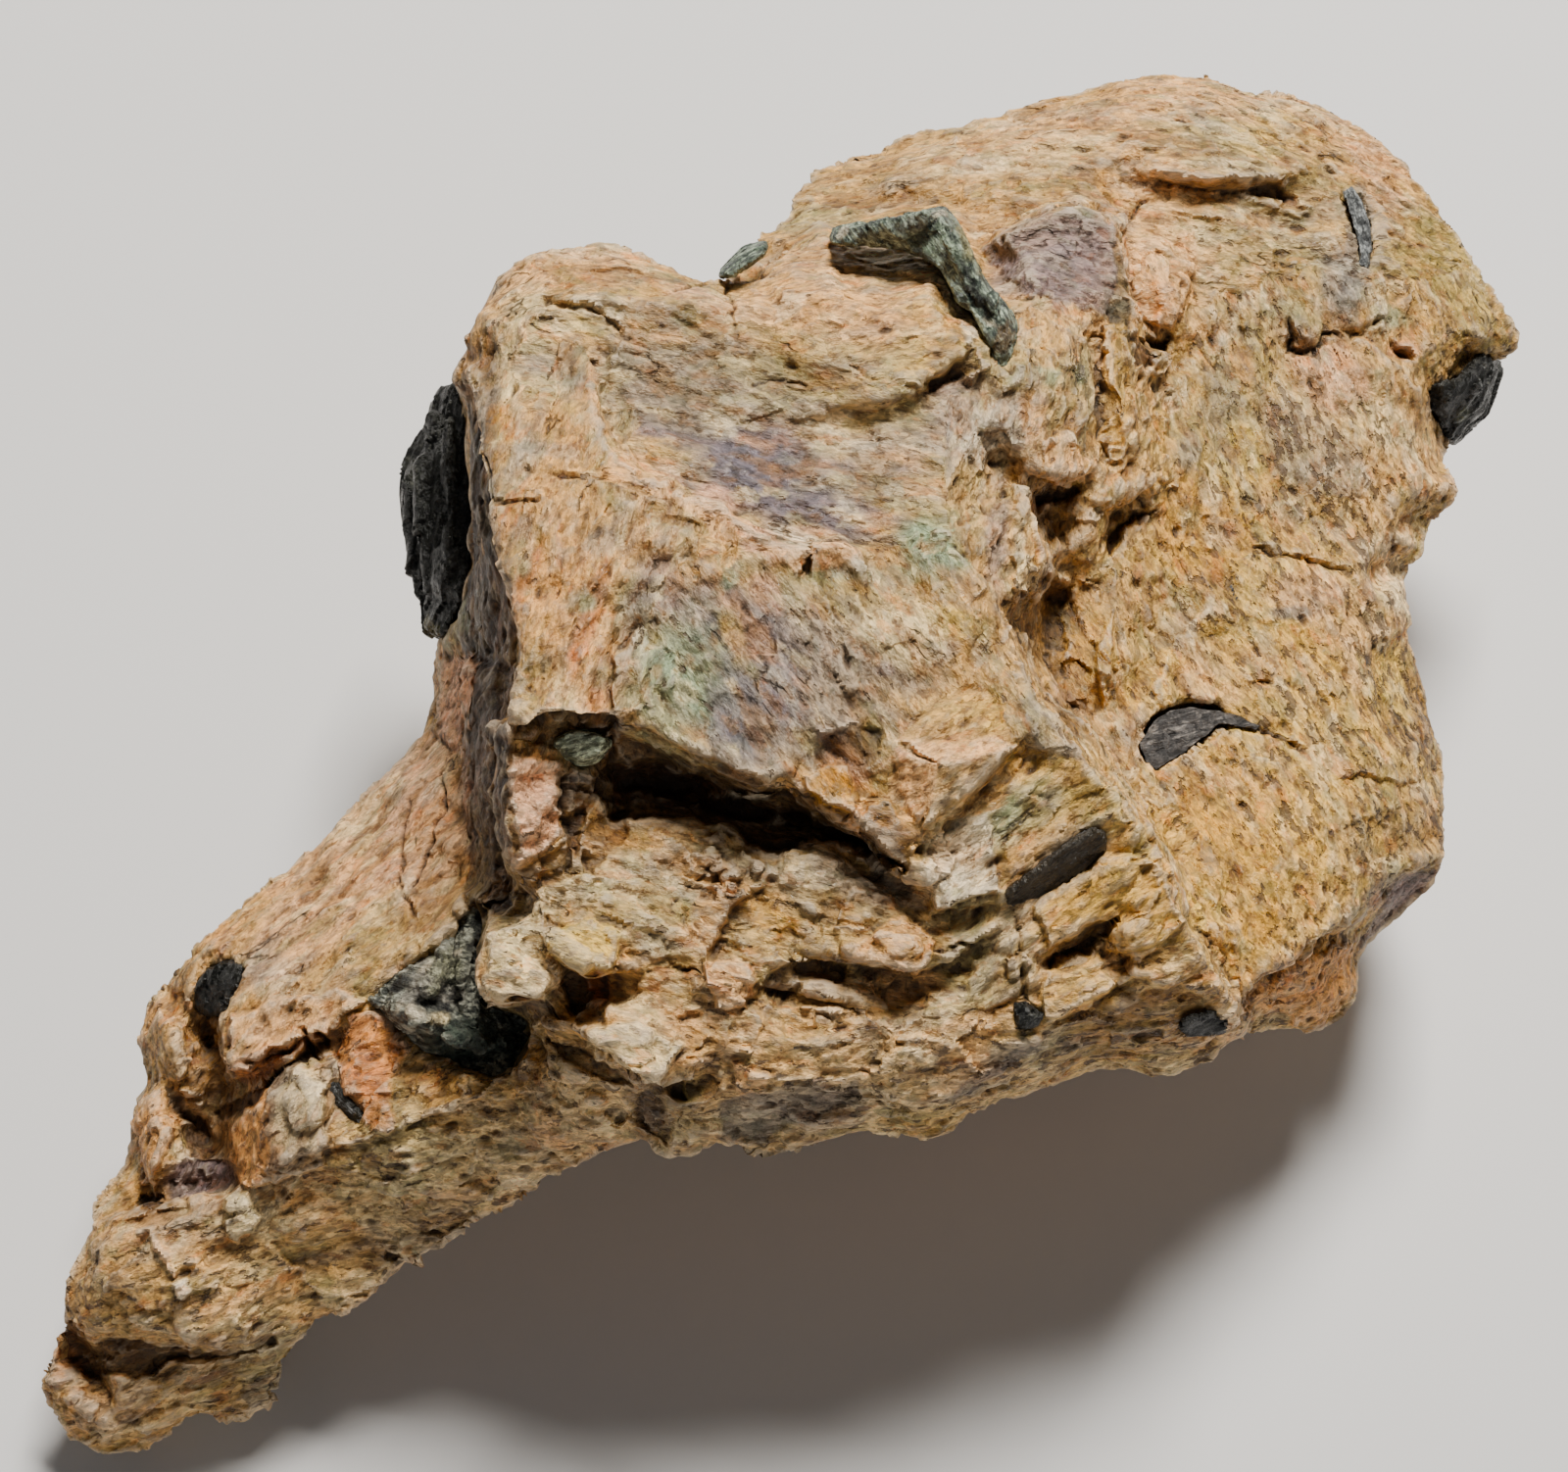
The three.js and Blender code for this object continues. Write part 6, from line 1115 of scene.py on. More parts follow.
def crackle_group() -> bpy.types.NodeTree:
    """Makes short dark cracks that run here and there along the joints of a cell pattern.

    Returns:
        The group, with Crack from 0 on the surface to 1 in a crack.
    """
    nodes, inputs, leave = new_group(
        "short_cracks",
        {"Vector": None, "Cells per Metre": 300.0, "Width": 0.07, "Amount": 0.5},
        ("Crack",),
    )
    place = nodes.wobbled(inputs["Vector"], 520.0, 4.0, 0.0035)
    cells = nodes.add(
        "ShaderNodeTexVoronoi", feature="DISTANCE_TO_EDGE", Vector=place, Scale=inputs["Cells per Metre"]
    )
    way = nodes.math("DIVIDE", cells.outputs["Distance"], inputs["Width"])
    near = nodes.math("SUBTRACT", 1.0, way, clamp=True)
    drifts = nodes.noise(inputs["Vector"], 160.0, 3.0, 0.6)
    level = nodes.math("ADD", drifts, nodes.product(inputs["Amount"], 0.16))
    nodes.put(leave, "Crack", nodes.product(near, nodes.window(level, 0.68, 0.74)))
    return nodes.tree


def new_material(name: str) -> tuple[bpy.types.Material, Nodes, bpy.types.Node]:
    """Makes a material.

    Args:
        name: the material's name.

    Returns:
        The material, its nodes and its shader.
    """
    material = bpy.data.materials.new(name)
    material.use_nodes = True
    return material, Nodes(material.node_tree), material.node_tree.nodes["Principled BSDF"]


@dataclass(frozen=True)
class Groups:
    """The node groups that the finishes share."""

    grain: bpy.types.NodeTree
    pits: bpy.types.NodeTree
    cracks: bpy.types.NodeTree


@dataclass(frozen=True)
class FeldsparFinish:
    """The broken feldspar: grains, mottles, pits, the stains kept on its mesh (some of them painted light
    and shade), and hollows darkened with dirt and painted shade.
    """

    name: str = "feldspar"
    roughness: float = 0.58
    grains_per_metre: float = 1500.0
    pits_per_metre: float = 760.0
    worn: tuple[float, ...] = (0.86, 0.70, 0.50, 1.0)
    # Near-black colour for the hollows of the mesh: painted shade as well as dirt.
    hollow_dirt_and_shade: tuple[float, ...] = (0.05, 0.028, 0.013, 1.0)
    pit: tuple[float, ...] = (0.07, 0.036, 0.016, 1.0)
    crack: tuple[float, ...] = (0.03, 0.017, 0.009, 1.0)

    def build(self, groups: Groups) -> bpy.types.Material:
        """Makes the material.

        Args:
            groups: the shared node groups.

        Returns:
            The material.
        """
        material, nodes, shader = new_material(self.name)
        place = nodes.add("ShaderNodeTexCoord").outputs["Object"]
        drawn = nodes.attribute("drawn", "Vector")
        tint = nodes.attribute("tint")
        hollow, pitting, gloss = nodes.add("ShaderNodeSeparateColor", nodes.attribute("marks")).outputs
        grains = nodes.group(groups.grain, drawn, Grains_per_Metre=self.grains_per_metre, Tilt=0.9)
        pits = nodes.group(groups.pits, drawn, Pits_per_Metre=self.pits_per_metre, Amount=pitting)
        cracks = nodes.group(groups.cracks, drawn)
        colour = self._mottle(nodes, drawn, place, tint)
        lightness = nodes.window(grains.outputs["Brightness"], 0.05, 0.95, 0.58, 1.5)
        colour = nodes.scaled(colour, lightness)
        colour = nodes.mix(nodes.window(hollow, 0.5, 0.22, 0.0, 0.4), colour, self.worn)
        # Darkens the hollows with painted shade and dirt.
        colour = nodes.mix(nodes.window(hollow, 0.5, 0.9, 0.0, 0.85), colour, self.hollow_dirt_and_shade)
        colour = nodes.mix(nodes.product(pits.outputs["Pit"], 0.75), colour, self.pit)
        colour = nodes.mix(nodes.product(cracks.outputs["Crack"], 0.85), colour, self.crack)
        nodes.put(shader, "Base Color", colour)
        shine = nodes.product(nodes.product(grains.outputs["Glint"], gloss), 0.4)
        nodes.put(shader, "Roughness", nodes.math("SUBTRACT", self.roughness, shine))
        relief = nodes.product(nodes.noise(drawn, 900.0, 5.0, 0.7), 0.0006)
        height = nodes.math("ADD", grains.outputs["Height"], relief)
        height = nodes.math("SUBTRACT", height, nodes.product(pits.outputs["Pit"], 0.0003))
        height = nodes.math("SUBTRACT", height, nodes.product(cracks.outputs["Crack"], 0.0003))
        nodes.bump(shader, height)
        return material

    def _mottle(self, nodes: Nodes, drawn: object, place: object, tint: object) -> bpy.types.NodeSocket:
        """Breaks the stain colour up into patches of its paler, browner, greener and redder kin.

        Args:
            nodes: the material's nodes.
            drawn: the place drawn out along the fibre.
            place: the plain place.
            tint: the stain colour.

        Returns:
            The broken colour.
        """
        pale = nodes.window(nodes.noise(drawn, 900.0, 4.0, 0.7), 0.5, 0.58, 0.0, 0.6)
        colour = nodes.mix(pale, tint, nodes.tinted(tint, (1.5, 1.42, 1.3, 1.0)))
        brown = nodes.window(nodes.noise(drawn, 1100.0, 4.0, 0.7), 0.54, 0.62, 0.0, 0.85)
        colour = nodes.mix(brown, colour, nodes.tinted(tint, (0.46, 0.36, 0.25, 1.0)))
        green = nodes.window(nodes.noise(place, 330.0, 5.0, 0.65), 0.55, 0.62, 0.0, 0.6)
        colour = nodes.mix(green, colour, nodes.tinted(tint, (0.62, 0.7, 0.62, 1.0)))
        rust = nodes.window(nodes.noise(drawn, 430.0, 4.0, 0.6), 0.58, 0.66, 0.0, 0.6)
        return nodes.mix(rust, colour, nodes.tinted(tint, (1.0, 0.62, 0.35, 1.0)))


@dataclass(frozen=True)
class AegirineFinish:
    """Aegirine: striated along its fibre, glassy on its faces, with paler crumbs between and painted shade
    in its hollows.
    """

    name: str
    dark: tuple[float, float, float, float]
    light: tuple[float, float, float, float]
    crumbs: float
    roughness: float = 0.32

    def build(self, groups: Groups) -> bpy.types.Material:
        """Makes the material.

        Args:
            groups: the shared node groups.

        Returns:
            The material.
        """
        material, nodes, shader = new_material(f"aegirine_{self.name}")
        place = nodes.add("ShaderNodeTexCoord").outputs["Object"]
        drawn = nodes.attribute("drawn", "Vector")
        hollow, stained, _ = nodes.add("ShaderNodeSeparateColor", nodes.attribute("marks")).outputs
        tint = nodes.attribute("tint")
        grains = nodes.group(groups.grain, place, Grains_per_Metre=1300.0, Tilt=0.9)
        streak = nodes.noise(drawn, 1900.0, 5.0, 0.65)
        patch = nodes.noise(place, 420.0, 5.0, 0.7)
        level = nodes.mixed_value(0.5, streak, patch)
        share = nodes.window(level, 0.62 - 0.2 * self.crumbs, 0.7 - 0.2 * self.crumbs, 0.0, 1.0)
        colour = nodes.mix(share, self.dark, self.light)
        colour = nodes.mix(stained, colour, tint)
        colour = nodes.scaled(colour, nodes.window(streak, 0.3, 0.7, 0.55, 1.5))
        colour = nodes.scaled(colour, nodes.window(grains.outputs["Brightness"], 0.1, 0.9, 0.5, 1.5))
        colour = nodes.mix(nodes.window(hollow, 0.4, 0.1, 0.0, 0.35), colour, self.light)
        # Paints shade, near black, into the hollows.
        colour = nodes.mix(nodes.window(hollow, 0.55, 0.85, 0.0, 0.9), colour, (0.003, 0.003, 0.003, 1.0))
        nodes.put(shader, "Base Color", colour)
        dull = nodes.math("ADD", self.roughness, nodes.product(share, 0.3))
        gleam = nodes.product(grains.outputs["Glint"], 0.2)
        nodes.put(shader, "Roughness", nodes.math("SUBTRACT", dull, gleam))
        height = nodes.math("ADD", grains.outputs["Height"], nodes.product(streak, 0.0006))
        nodes.bump(shader, height)
        return material


AEGIRINES = [
    AegirineFinish("black", (0.007, 0.007, 0.005, 1.0), (0.05, 0.05, 0.04, 1.0), 0.3),
    AegirineFinish("green", (0.04, 0.058, 0.042, 1.0), (0.25, 0.3, 0.22, 1.0), 0.75, 0.36),
    AegirineFinish("crumbly", (0.04, 0.045, 0.036, 1.0), (0.36, 0.36, 0.28, 1.0), 0.8, 0.4),
    AegirineFinish("brown", (0.03, 0.025, 0.018, 1.0), (0.1, 0.085, 0.06, 1.0), 0.4, 0.3),
    AegirineFinish("grey", (0.05, 0.045, 0.042, 1.0), (0.15, 0.135, 0.12, 1.0), 0.6, 0.5),
    AegirineFinish("blue", (0.085, 0.09, 0.09, 1.0), (0.24, 0.25, 0.24, 1.0), 0.6, 0.45),
    AegirineFinish("pale", (0.16, 0.19, 0.11, 1.0), (0.5, 0.55, 0.38, 1.0), 0.8, 0.5),
]


def choose(piece: bpy.types.Object) -> None:
    """Selects one object alone and makes it active.

    Args:
        piece: the object.
    """
    bpy.ops.object.select_all(action="DESELECT")
    piece.select_set(True)
    bpy.context.view_layer.objects.active = piece


def select_faces(piece: bpy.types.Object, chosen: np.ndarray) -> None:
    """Selects faces of an object, and leaves it in edit mode.

    Args:
        piece: the object.
        chosen: says of each face whether it is selected.
    """
    choose(piece)
    bpy.ops.object.mode_set(mode="EDIT")
    bpy.ops.mesh.select_mode(type="FACE")
    bpy.ops.mesh.select_all(action="DESELECT")
    bpy.ops.object.mode_set(mode="OBJECT")
    piece.data.polygons.foreach_set("select", chosen)
    bpy.ops.object.mode_set(mode="EDIT")


def apply_modifier(piece: bpy.types.Object, kind: str, **settings: object) -> None:
    """Adds a modifier, sets it and applies it.

    Args:
        piece: the object.
        kind: the modifier's type.
        settings: the modifier's properties.
    """
    modifier = piece.modifiers.new(kind.lower(), kind)
    for name, value in settings.items():
        setattr(modifier, name, value)
    choose(piece)
    bpy.ops.object.modifier_apply(modifier=modifier.name)


def merged_copy(node: str, name: str) -> bpy.types.Object:
    """Copies a node of the model and merges its loose triangles into one closed skin.

    Args:
        node: the node's name.
        name: the copy's name.

    Returns:
        The copy.
    """
    source = frame["nodes"][node]
    bpy.ops.object.select_all(action="DESELECT")
    mesh = source.data.copy()
    mesh.materials.clear()
    piece = bpy.data.objects.new(name, mesh)
    bpy.context.scene.collection.objects.link(piece)
    choose(piece)
    bpy.ops.object.mode_set(mode="EDIT")
    bpy.ops.mesh.select_all(action="SELECT")
    bpy.ops.mesh.remove_doubles(threshold=0.002 * MM)
    bpy.ops.object.mode_set(mode="OBJECT")
    for attribute in list(mesh.attributes):
        if attribute.name == "custom_normal":
            mesh.attributes.remove(attribute)
    return piece


def read(items: bpy.types.bpy_prop_collection, name: str, width: int = 1, kind: type = float) -> np.ndarray:
    """Reads one property of all of a mesh's points, edges, corners or faces.

    Args:
        items: the points, edges, corners or faces, or the data of an attribute.
        name: the property's name.
        width: how many numbers the property has.
        kind: the type of its numbers.

    Returns:
        One number for each item, or a row of them where the property has several.
    """
    flat = np.empty(width * len(items), dtype=kind)
    items.foreach_get(name, flat)
    return flat.reshape(-1, width) if width > 1 else flat


def points_of(mesh: bpy.types.Mesh) -> np.ndarray:
    """Gives a mesh's points as rows of x, y, z in metres."""
    return read(mesh.vertices, "co", 3)


def normals_of(mesh: bpy.types.Mesh) -> np.ndarray:
    """Gives a mesh's point normals as rows."""
    return read(mesh.vertex_normals, "vector", 3)


def store(mesh: bpy.types.Mesh, name: str, domain: str, vectors: np.ndarray) -> None:
    """Stores a vector for each point or face corner of a mesh."""
    mesh.attributes.new(name, "FLOAT_VECTOR", domain).data.foreach_set("vector", vectors.ravel())


def set_points(mesh: bpy.types.Mesh, points: np.ndarray) -> None:
    """Moves a mesh's points."""
    mesh.vertices.foreach_set("co", points.ravel())
    mesh.update()


def smoothed(mesh: bpy.types.Mesh, values: np.ndarray, rounds: int) -> np.ndarray:
    """Evens values out between neighbouring points.

    Args:
        mesh: the mesh that the values lie on.
        values: one row or number for each point.
        rounds: how often each point takes half of its neighbours' mean.

    Returns:
        The evened values.
    """
    first, second = read(mesh.edges, "vertices", 2, np.int64).T
    count = np.bincount(first, minlength=len(mesh.vertices))
    count += np.bincount(second, minlength=len(mesh.vertices))
    columns = values.reshape(len(mesh.vertices), -1).copy()
    for _ in range(rounds):
        for k in range(columns.shape[1]):
            column = columns[:, k]
            total = np.bincount(first, column[second], len(column))
            total += np.bincount(second, column[first], len(column))
            columns[:, k] = 0.5 * column + 0.5 * total / count
    return columns.reshape(values.shape)


def hollow_mask(mesh: bpy.types.Mesh, depth: float, rounds: int) -> np.ndarray:
    """Says how hollow the surface is at each point, from 0 on an edge over 0.5 on a flat to 1 in a pit.

    Args:
        mesh: the mesh.
        depth: the depth in metres that counts as fully hollow.
        rounds: how wide a neighbourhood it is measured against.

    Returns:
        One value for each point.
    """
    points = points_of(mesh)
    sunk = np.einsum("ij,ij->i", smoothed(mesh, points, rounds) - points, normals_of(mesh))
    return np.clip(0.5 + 0.5 * sunk / depth, 0.0, 1.0)


def set_colours(mesh: bpy.types.Mesh, name: str, colours: np.ndarray) -> None:
    """Stores a colour for each point of a mesh.

    Args:
        mesh: the mesh.
        name: the attribute's name.
        colours: rows of red, green and blue.
    """
    layer = mesh.color_attributes.new(name, "FLOAT_COLOR", "POINT")
    full = np.concatenate([colours, np.ones((len(colours), 1))], axis=1)
    layer.data.foreach_set("color", full.ravel())


class Skin:
    """What is known about each point of a mesh."""

    def __init__(self, mesh: bpy.types.Mesh) -> None:
        """Reads the mesh.

        Args:
            mesh: the mesh.
        """
        self.mesh = mesh
        self.points = points_of(mesh)
        self.normals = normals_of(mesh)
        self.in_mm = self.points / MM
        self.places = SIGHT.flatten(self.points)
        self.facing = SIGHT.facing(self.points, self.normals)

    def move(self, points: np.ndarray) -> None:
        """Moves the points, and reads them again where they ended.

        Args:
            points: the new places, rows of x, y, z in metres.
        """
        set_points(self.mesh, points)
        self.points = points
        self.normals = normals_of(self.mesh)
        self.in_mm = points / MM

    def lift(self, height: np.ndarray) -> None:
        """Moves each point along its normal, but none on or below the floor.

        Args:
            height: how far each point moves, in millimetres.
        """
        rest = 1.0 - ramp(self.points[:, 2], 0.2 * MM, 2.5 * MM)
        moved = self.points + self.normals * (height * (1.0 - rest))[:, None] * MM
        moved[:, 2] = np.where(rest > 0.5, self.points[:, 2], np.maximum(moved[:, 2], 0.05 * MM))
        self.move(moved)


@dataclass
class FeldsparRock:
    """The rock that carries the crystals. Its heights and depths of relief are in millimetres."""

    node: str = "feldspar_matrix"
    name: str = "feldspar_rock"
    cell: float = 1.5 * MM
    stretch: float = 2.2
    refined: tuple[float, ...] = (0.02, 0.22)
    cuts: tuple[float, ...] = (-0.0435, 0.0012, 0.0442)
    lip: float = 0.9 * MM
    evenings: int = 16
    swell_height: float = 0.4
    tread_height: float = 0.42
    block_height: float = 0.36
    chip_height: float = 0.15
    splinter_height: float = 0.2
    crumb_height: float = 0.07
    pit_depth: float = 0.45
    labels: tuple[str, ...] = ("rock_tail", "rock_plateau", "rock_ridge", "rock_dish")

    def build(self, material: bpy.types.Material) -> list[bpy.types.Object]:
        """Makes the rock in place of its plain solid.

        Args:
            material: the feldspar finish.

        Returns:
            The rock's pieces, cut apart by upright planes so that none has too many faces.
        """
        guide = merged_copy(self.node, "rock_guide")
        rock = merged_copy(self.node, self.name)
        apply_modifier(rock, "REMESH", mode="VOXEL", voxel_size=self.cell, adaptivity=0.0)
        for least_facing in self.refined:
            self._refine_seen_side(rock, least_facing)
        apply_modifier(rock, "SHRINKWRAP", target=guide, wrap_method="NEAREST_SURFACEPOINT")
        apply_modifier(rock, "SMOOTH", factor=0.5, iterations=8)
        bpy.data.objects.remove(guide)
        skin = Skin(rock.data)
        self.seen = ramp(skin.facing, -0.05, 0.2)
        self._round_hidden_side(skin)
        self._choose_grounds(skin)
        self._break_surface(skin)
        self._paint(skin)
        rock.data.materials.append(material)
        return self._cut_apart(rock)

    def _cut_apart(self, rock: bpy.types.Object) -> list[bpy.types.Object]:
        """Parts the rock between its faces into closed pieces that keep its shading.

        Args:
            rock: the finished rock.

        Returns:
            The pieces from left to right.
        """
        mesh = rock.data
        choose(rock)
        bpy.ops.object.shade_smooth_by_angle(angle=math.radians(38))
        normals = read(mesh.corner_normals, "vector", 3)
        store(mesh, "kept_normal", "CORNER", normals)
        store(mesh, "inside", "POINT", -normals_of(mesh))
        pieces = []
        for label, limit in zip(self.labels, (*self.cuts, math.inf)):
            select_faces(rock, read(mesh.polygons, "center", 3)[:, 0] < limit)
            bpy.ops.mesh.select_more()
            bpy.ops.mesh.select_less()
            if limit < math.inf:
                bpy.ops.mesh.separate(type="SELECTED")
            bpy.ops.object.mode_set(mode="OBJECT")
            piece = next((p for p in bpy.context.selected_objects if p is not rock), rock)
            piece.name = piece.data.name = label
            pieces.append(piece)
        for piece in pieces:
            self._close(piece)
        return pieces

    def _close(self, piece: bpy.types.Object) -> None:
        """Turns each open edge of a piece inward, closes it, and gives the outside its kept shading.

        Args:
            piece: one of the rock's pieces.
        """
        choose(piece)
        for cut in self.cuts:
            self._cap(piece.data, cut)
        bpy.ops.object.mode_set(mode="EDIT")
        bpy.ops.mesh.select_all(action="SELECT")
        bpy.ops.mesh.fill_holes(sides=16)
        bpy.ops.mesh.normals_make_consistent(inside=False)
        bpy.ops.object.mode_set(mode="OBJECT")
        mesh = piece.data
        mesh.attributes.remove(mesh.attributes["inside"])
        normals = read(mesh.attributes["kept_normal"].data, "vector", 3)
        count = read(mesh.polygons, "loop_total", 1, np.int64)
        facing = np.repeat(read(mesh.polygons, "normal", 3), count, axis=0)
        if np.sum(facing * normals) < 0.0:
            bpy.ops.object.mode_set(mode="EDIT")
            bpy.ops.mesh.flip_normals()
            bpy.ops.object.mode_set(mode="OBJECT")
            normals = read(mesh.attributes["kept_normal"].data, "vector", 3)
        mesh.attributes.remove(mesh.attributes["kept_normal"])
        mesh.normals_split_custom_set(normals)

    def _cap(self, mesh: bpy.types.Mesh, cut: float) -> None:
        """Closes the chosen mesh at one cut, if it has open edges there.

        Args:
            mesh: the mesh of the active object.
            cut: the cut's place along x in metres.
        """
        bpy.ops.object.mode_set(mode="EDIT")
        bpy.ops.mesh.select_mode(type="EDGE")
        bpy.ops.mesh.select_all(action="DESELECT")
        bpy.ops.mesh.select_non_manifold(
            extend=False, use_wire=False, use_boundary=True, use_multi_face=False, use_non_contiguous=False,
            use_verts=False,
        )
        bpy.ops.object.mode_set(mode="OBJECT")
        ends = read(mesh.edges, "vertices", 2, np.int64)
        away = np.abs(points_of(mesh)[ends, 0] - cut).max(axis=1)
        open_edges = read(mesh.edges, "select", 1, bool) & (away < 2.0 * self.cell)
        if not open_edges.any():
            return
        on_edge = np.zeros(len(mesh.vertices), dtype=bool)
        on_edge[ends[open_edges].ravel()] = True
        mesh.edges.foreach_set("select", open_edges)
        mesh.vertices.foreach_set("select", on_edge)
        bpy.ops.object.mode_set(mode="EDIT")
        bpy.ops.mesh.extrude_edges_move()
        bpy.ops.object.mode_set(mode="OBJECT")
        ring = read(mesh.vertices, "select", 1, bool)
        points = points_of(mesh)
        points[ring] += self.lip * read(mesh.attributes["inside"].data, "vector", 3)[ring]
        start, end = read(mesh.edges, "vertices", 2, np.int64)[read(mesh.edges, "select", 1, bool)].T
        for _ in range(self.evenings):
            beside = np.zeros((len(points), 4))
            np.add.at(beside, start, np.column_stack([points[end], np.ones(len(end))]))
            np.add.at(beside, end, np.column_stack([points[start], np.ones(len(start))]))
            points[ring] = 0.5 * points[ring] + 0.5 * beside[ring, :3] / beside[ring, 3:]
        points[ring, 0] = cut
        set_points(mesh, points)
        bpy.ops.object.mode_set(mode="EDIT")
        bpy.ops.mesh.fill(use_beauty=False)
        bpy.ops.object.mode_set(mode="OBJECT")

    def _refine_seen_side(self, rock: bpy.types.Object, least_facing: float) -> None:
        """Halves the faces that are turned to the eye.

        Args:
            rock: the rock.
            least_facing: how far such a face is turned to the eye at least, from -1 to 1.
        """
        faces = rock.data.polygons
        facing = SIGHT.facing(read(faces, "center", 3), read(faces, "normal", 3))
        select_faces(rock, facing > least_facing)
        bpy.ops.mesh.subdivide(number_cuts=1)
        bpy.ops.object.mode_set(mode="OBJECT")

    def _round_hidden_side(self, skin: Skin) -> None:
        """Takes the folds out of the side that is turned away and breaks it into large faces.

        Args:
            skin: the rock's skin.
        """
        hidden = 1.0 - ramp(skin.facing, -0.5, -0.15)
        evened = smoothed(skin.mesh, skin.points, 30)
        evened[:, 2] = np.where(skin.points[:, 2] < 1.0 * MM, skin.points[:, 2], evened[:, 2])
        skin.move(skin.points + hidden[:, None] * (evened - skin.points))
        large = 1.6 * blocks(skin.in_mm, 19.0, 21) + 1.0 * blocks(skin.in_mm, 9.0, 25)
        skin.lift(hidden * large)

    def _choose_grounds(self, skin: Skin) -> None:
        """Gives each point the ground it lies on, and its place drawn out along that ground's fibre.

        Args:
            skin: the rock's skin.
        """
        in_mm = skin.in_mm
        hidden = Ground("hidden", 0, 0, 1, (0.7, 0.6, 0.3), 1.0, 0.6, 0.5)
        grounds = [*GROUNDS, hidden]
        seen = [ground.weight(skin.places) * self.seen + 1e-6 for ground in GROUNDS]
        weights = np.stack([*seen, 1.02 - self.seen], axis=1)
        even = weights / weights.sum(axis=1, keepdims=True)
        self.rough = even @ np.array([g.rough for g in grounds])
        self.splinter = even @ np.array([g.splinter for g in grounds])
        self.pitting = even @ np.array([g.pits for g in grounds])
        sway = 0.9 * rough(in_mm, 6.0, 19, 3)
        score = np.log(weights) + sway[:, None] * np.where(np.arange(len(grounds)) % 2, 1.0, -1.0)
        order = np.sort(score, axis=1)
        self.within = ramp(order[:, -1] - order[:, -2], 0.0, 0.25)
        self.fibres = np.array([g.fibre for g in grounds])
        self.ground = np.argmax(score, axis=1)
        self.drawn = drawn_out(in_mm, self.fibres[self.ground], self.stretch)

    def _break_surface(self, skin: Skin) -> None:
        """Breaks the skin into treads, cleavage blocks, splinters, pits, cracks and hollows.

        Args:
            skin: the rock's skin.
        """
        in_mm, drawn = skin.in_mm, self.drawn
        fine = 0.2 + 0.8 * self.seen
        treads = ledged(1.3 * rough(drawn, 7.0, 5, 3), 0.2)
        splinters = 1.0 - 2.0 * np.abs(lumps(drawn, 1.6, 23))
        along = self.rough * treads * self.tread_height
        along += self.block_height * self.rough * blocks(drawn, 3.6, 7)
        along += fine * self.chip_height * (0.3 + self.rough) * blocks(drawn, 1.5, 13)
        along += fine * self.splinter_height * self.splinter * splinters
        along += fine * self.crumb_height * lumps(drawn, 0.8, 29)
        height = self.swell_height * self.rough * rough(in_mm, 8.0, 2) + self.within * along
        self.pits = self.seen * pitted(drawn, 2.2, 0.32, 0.08 + 0.5 * self.pitting, 31)
        height -= self.pit_depth * self.pits
        sway = 0.5 * np.stack([lumps(in_mm, 2.0, 41), lumps(in_mm, 2.0, 43)], axis=1)
        sway += 0.25 * np.stack([lumps(in_mm, 0.9, 45), lumps(in_mm, 0.9, 46)], axis=1)
        self.places = skin.places + sway
        self.gap = 0.2 + 0.8 * ramp(rough(in_mm, 3.4, 48, 2), -0.5, 0.3)
        for crack in CRACKS:
            way = way_to_line(self.places, list(crack.line))
            height -= self.seen * self.gap * crack.depth * (1.0 - ramp(way, 0.0, 0.65 * crack.width))
        skin.lift(height)
        warp = rough(skin.in_mm, 3.0, 47, 3)
        toward = np.zeros(len(warp))
        for shape in (*LEDGES, *FACETS):
            toward += self.seen * shape.rise(self.places)
        self.sunk = np.zeros(len(warp))
        for hole in HOLES:
            self.sunk = np.maximum(self.sunk, self.seen * hole.depth * hole.cover(skin.places, warp))
        clear = ramp(skin.points[:, 2], 0.5 * MM, 4.0 * MM)
        skin.move(skin.points + (clear * (self.sunk - toward))[:, None] * SIGHT.forward * MM)

    def _paint(self, skin: Skin) -> None:
        """Stains the rock, some stains being painted light and shade, and marks its hollows, pits and glossy
        grains.

        Args:
            skin: the rock's skin.
        """
        in_mm, seen = skin.in_mm, self.seen
        fray = [rough(self.drawn, 4.0, 51 + k, 4) for k in range(5)]
        colours = np.tile(TAN.linear, (len(in_mm), 1))

        def stain(share: np.ndarray, tint: Tint) -> None:
            """Mixes a colour in by a share."""
            colours[:] += share[:, None] * (tint.linear - colours)

        stain(0.5 * ramp(rough(in_mm, 26.0, 61, 3), -0.1, 0.8), PEACH)
        stain(0.45 * ramp(rough(in_mm, 17.0, 67, 3), 0.2, 0.9), GREEN_GREY)
        stain(0.5 * ramp(rough(in_mm, 13.0, 71, 3), 0.25, 0.9), OCHRE)
        for number, patch in enumerate(STAINS):
            stain(seen * patch.cover(skin.places, fray[number % 5]), patch.tint)
        for mottle in MOTTLES:
            stain(mottle.cover(self.drawn), mottle.tint)
        # The facets' tints, of which the umber and brown of sunk facets are partly painted shade.
        for number, facet in enumerate(FACETS):
            if facet.tint:
                edge = facet.depth_inside(self.places) + 0.35 * fray[number % 5]
                stain(seen * facet.strength * ramp(edge, -0.3, 0.3), facet.tint)
        for crack in CRACKS:
            way = way_to_line(self.places, list(crack.line))
            stain(seen * 0.8 * self.gap * (1.0 - ramp(way, 0.05, 0.6 * crack.width)), UMBER)
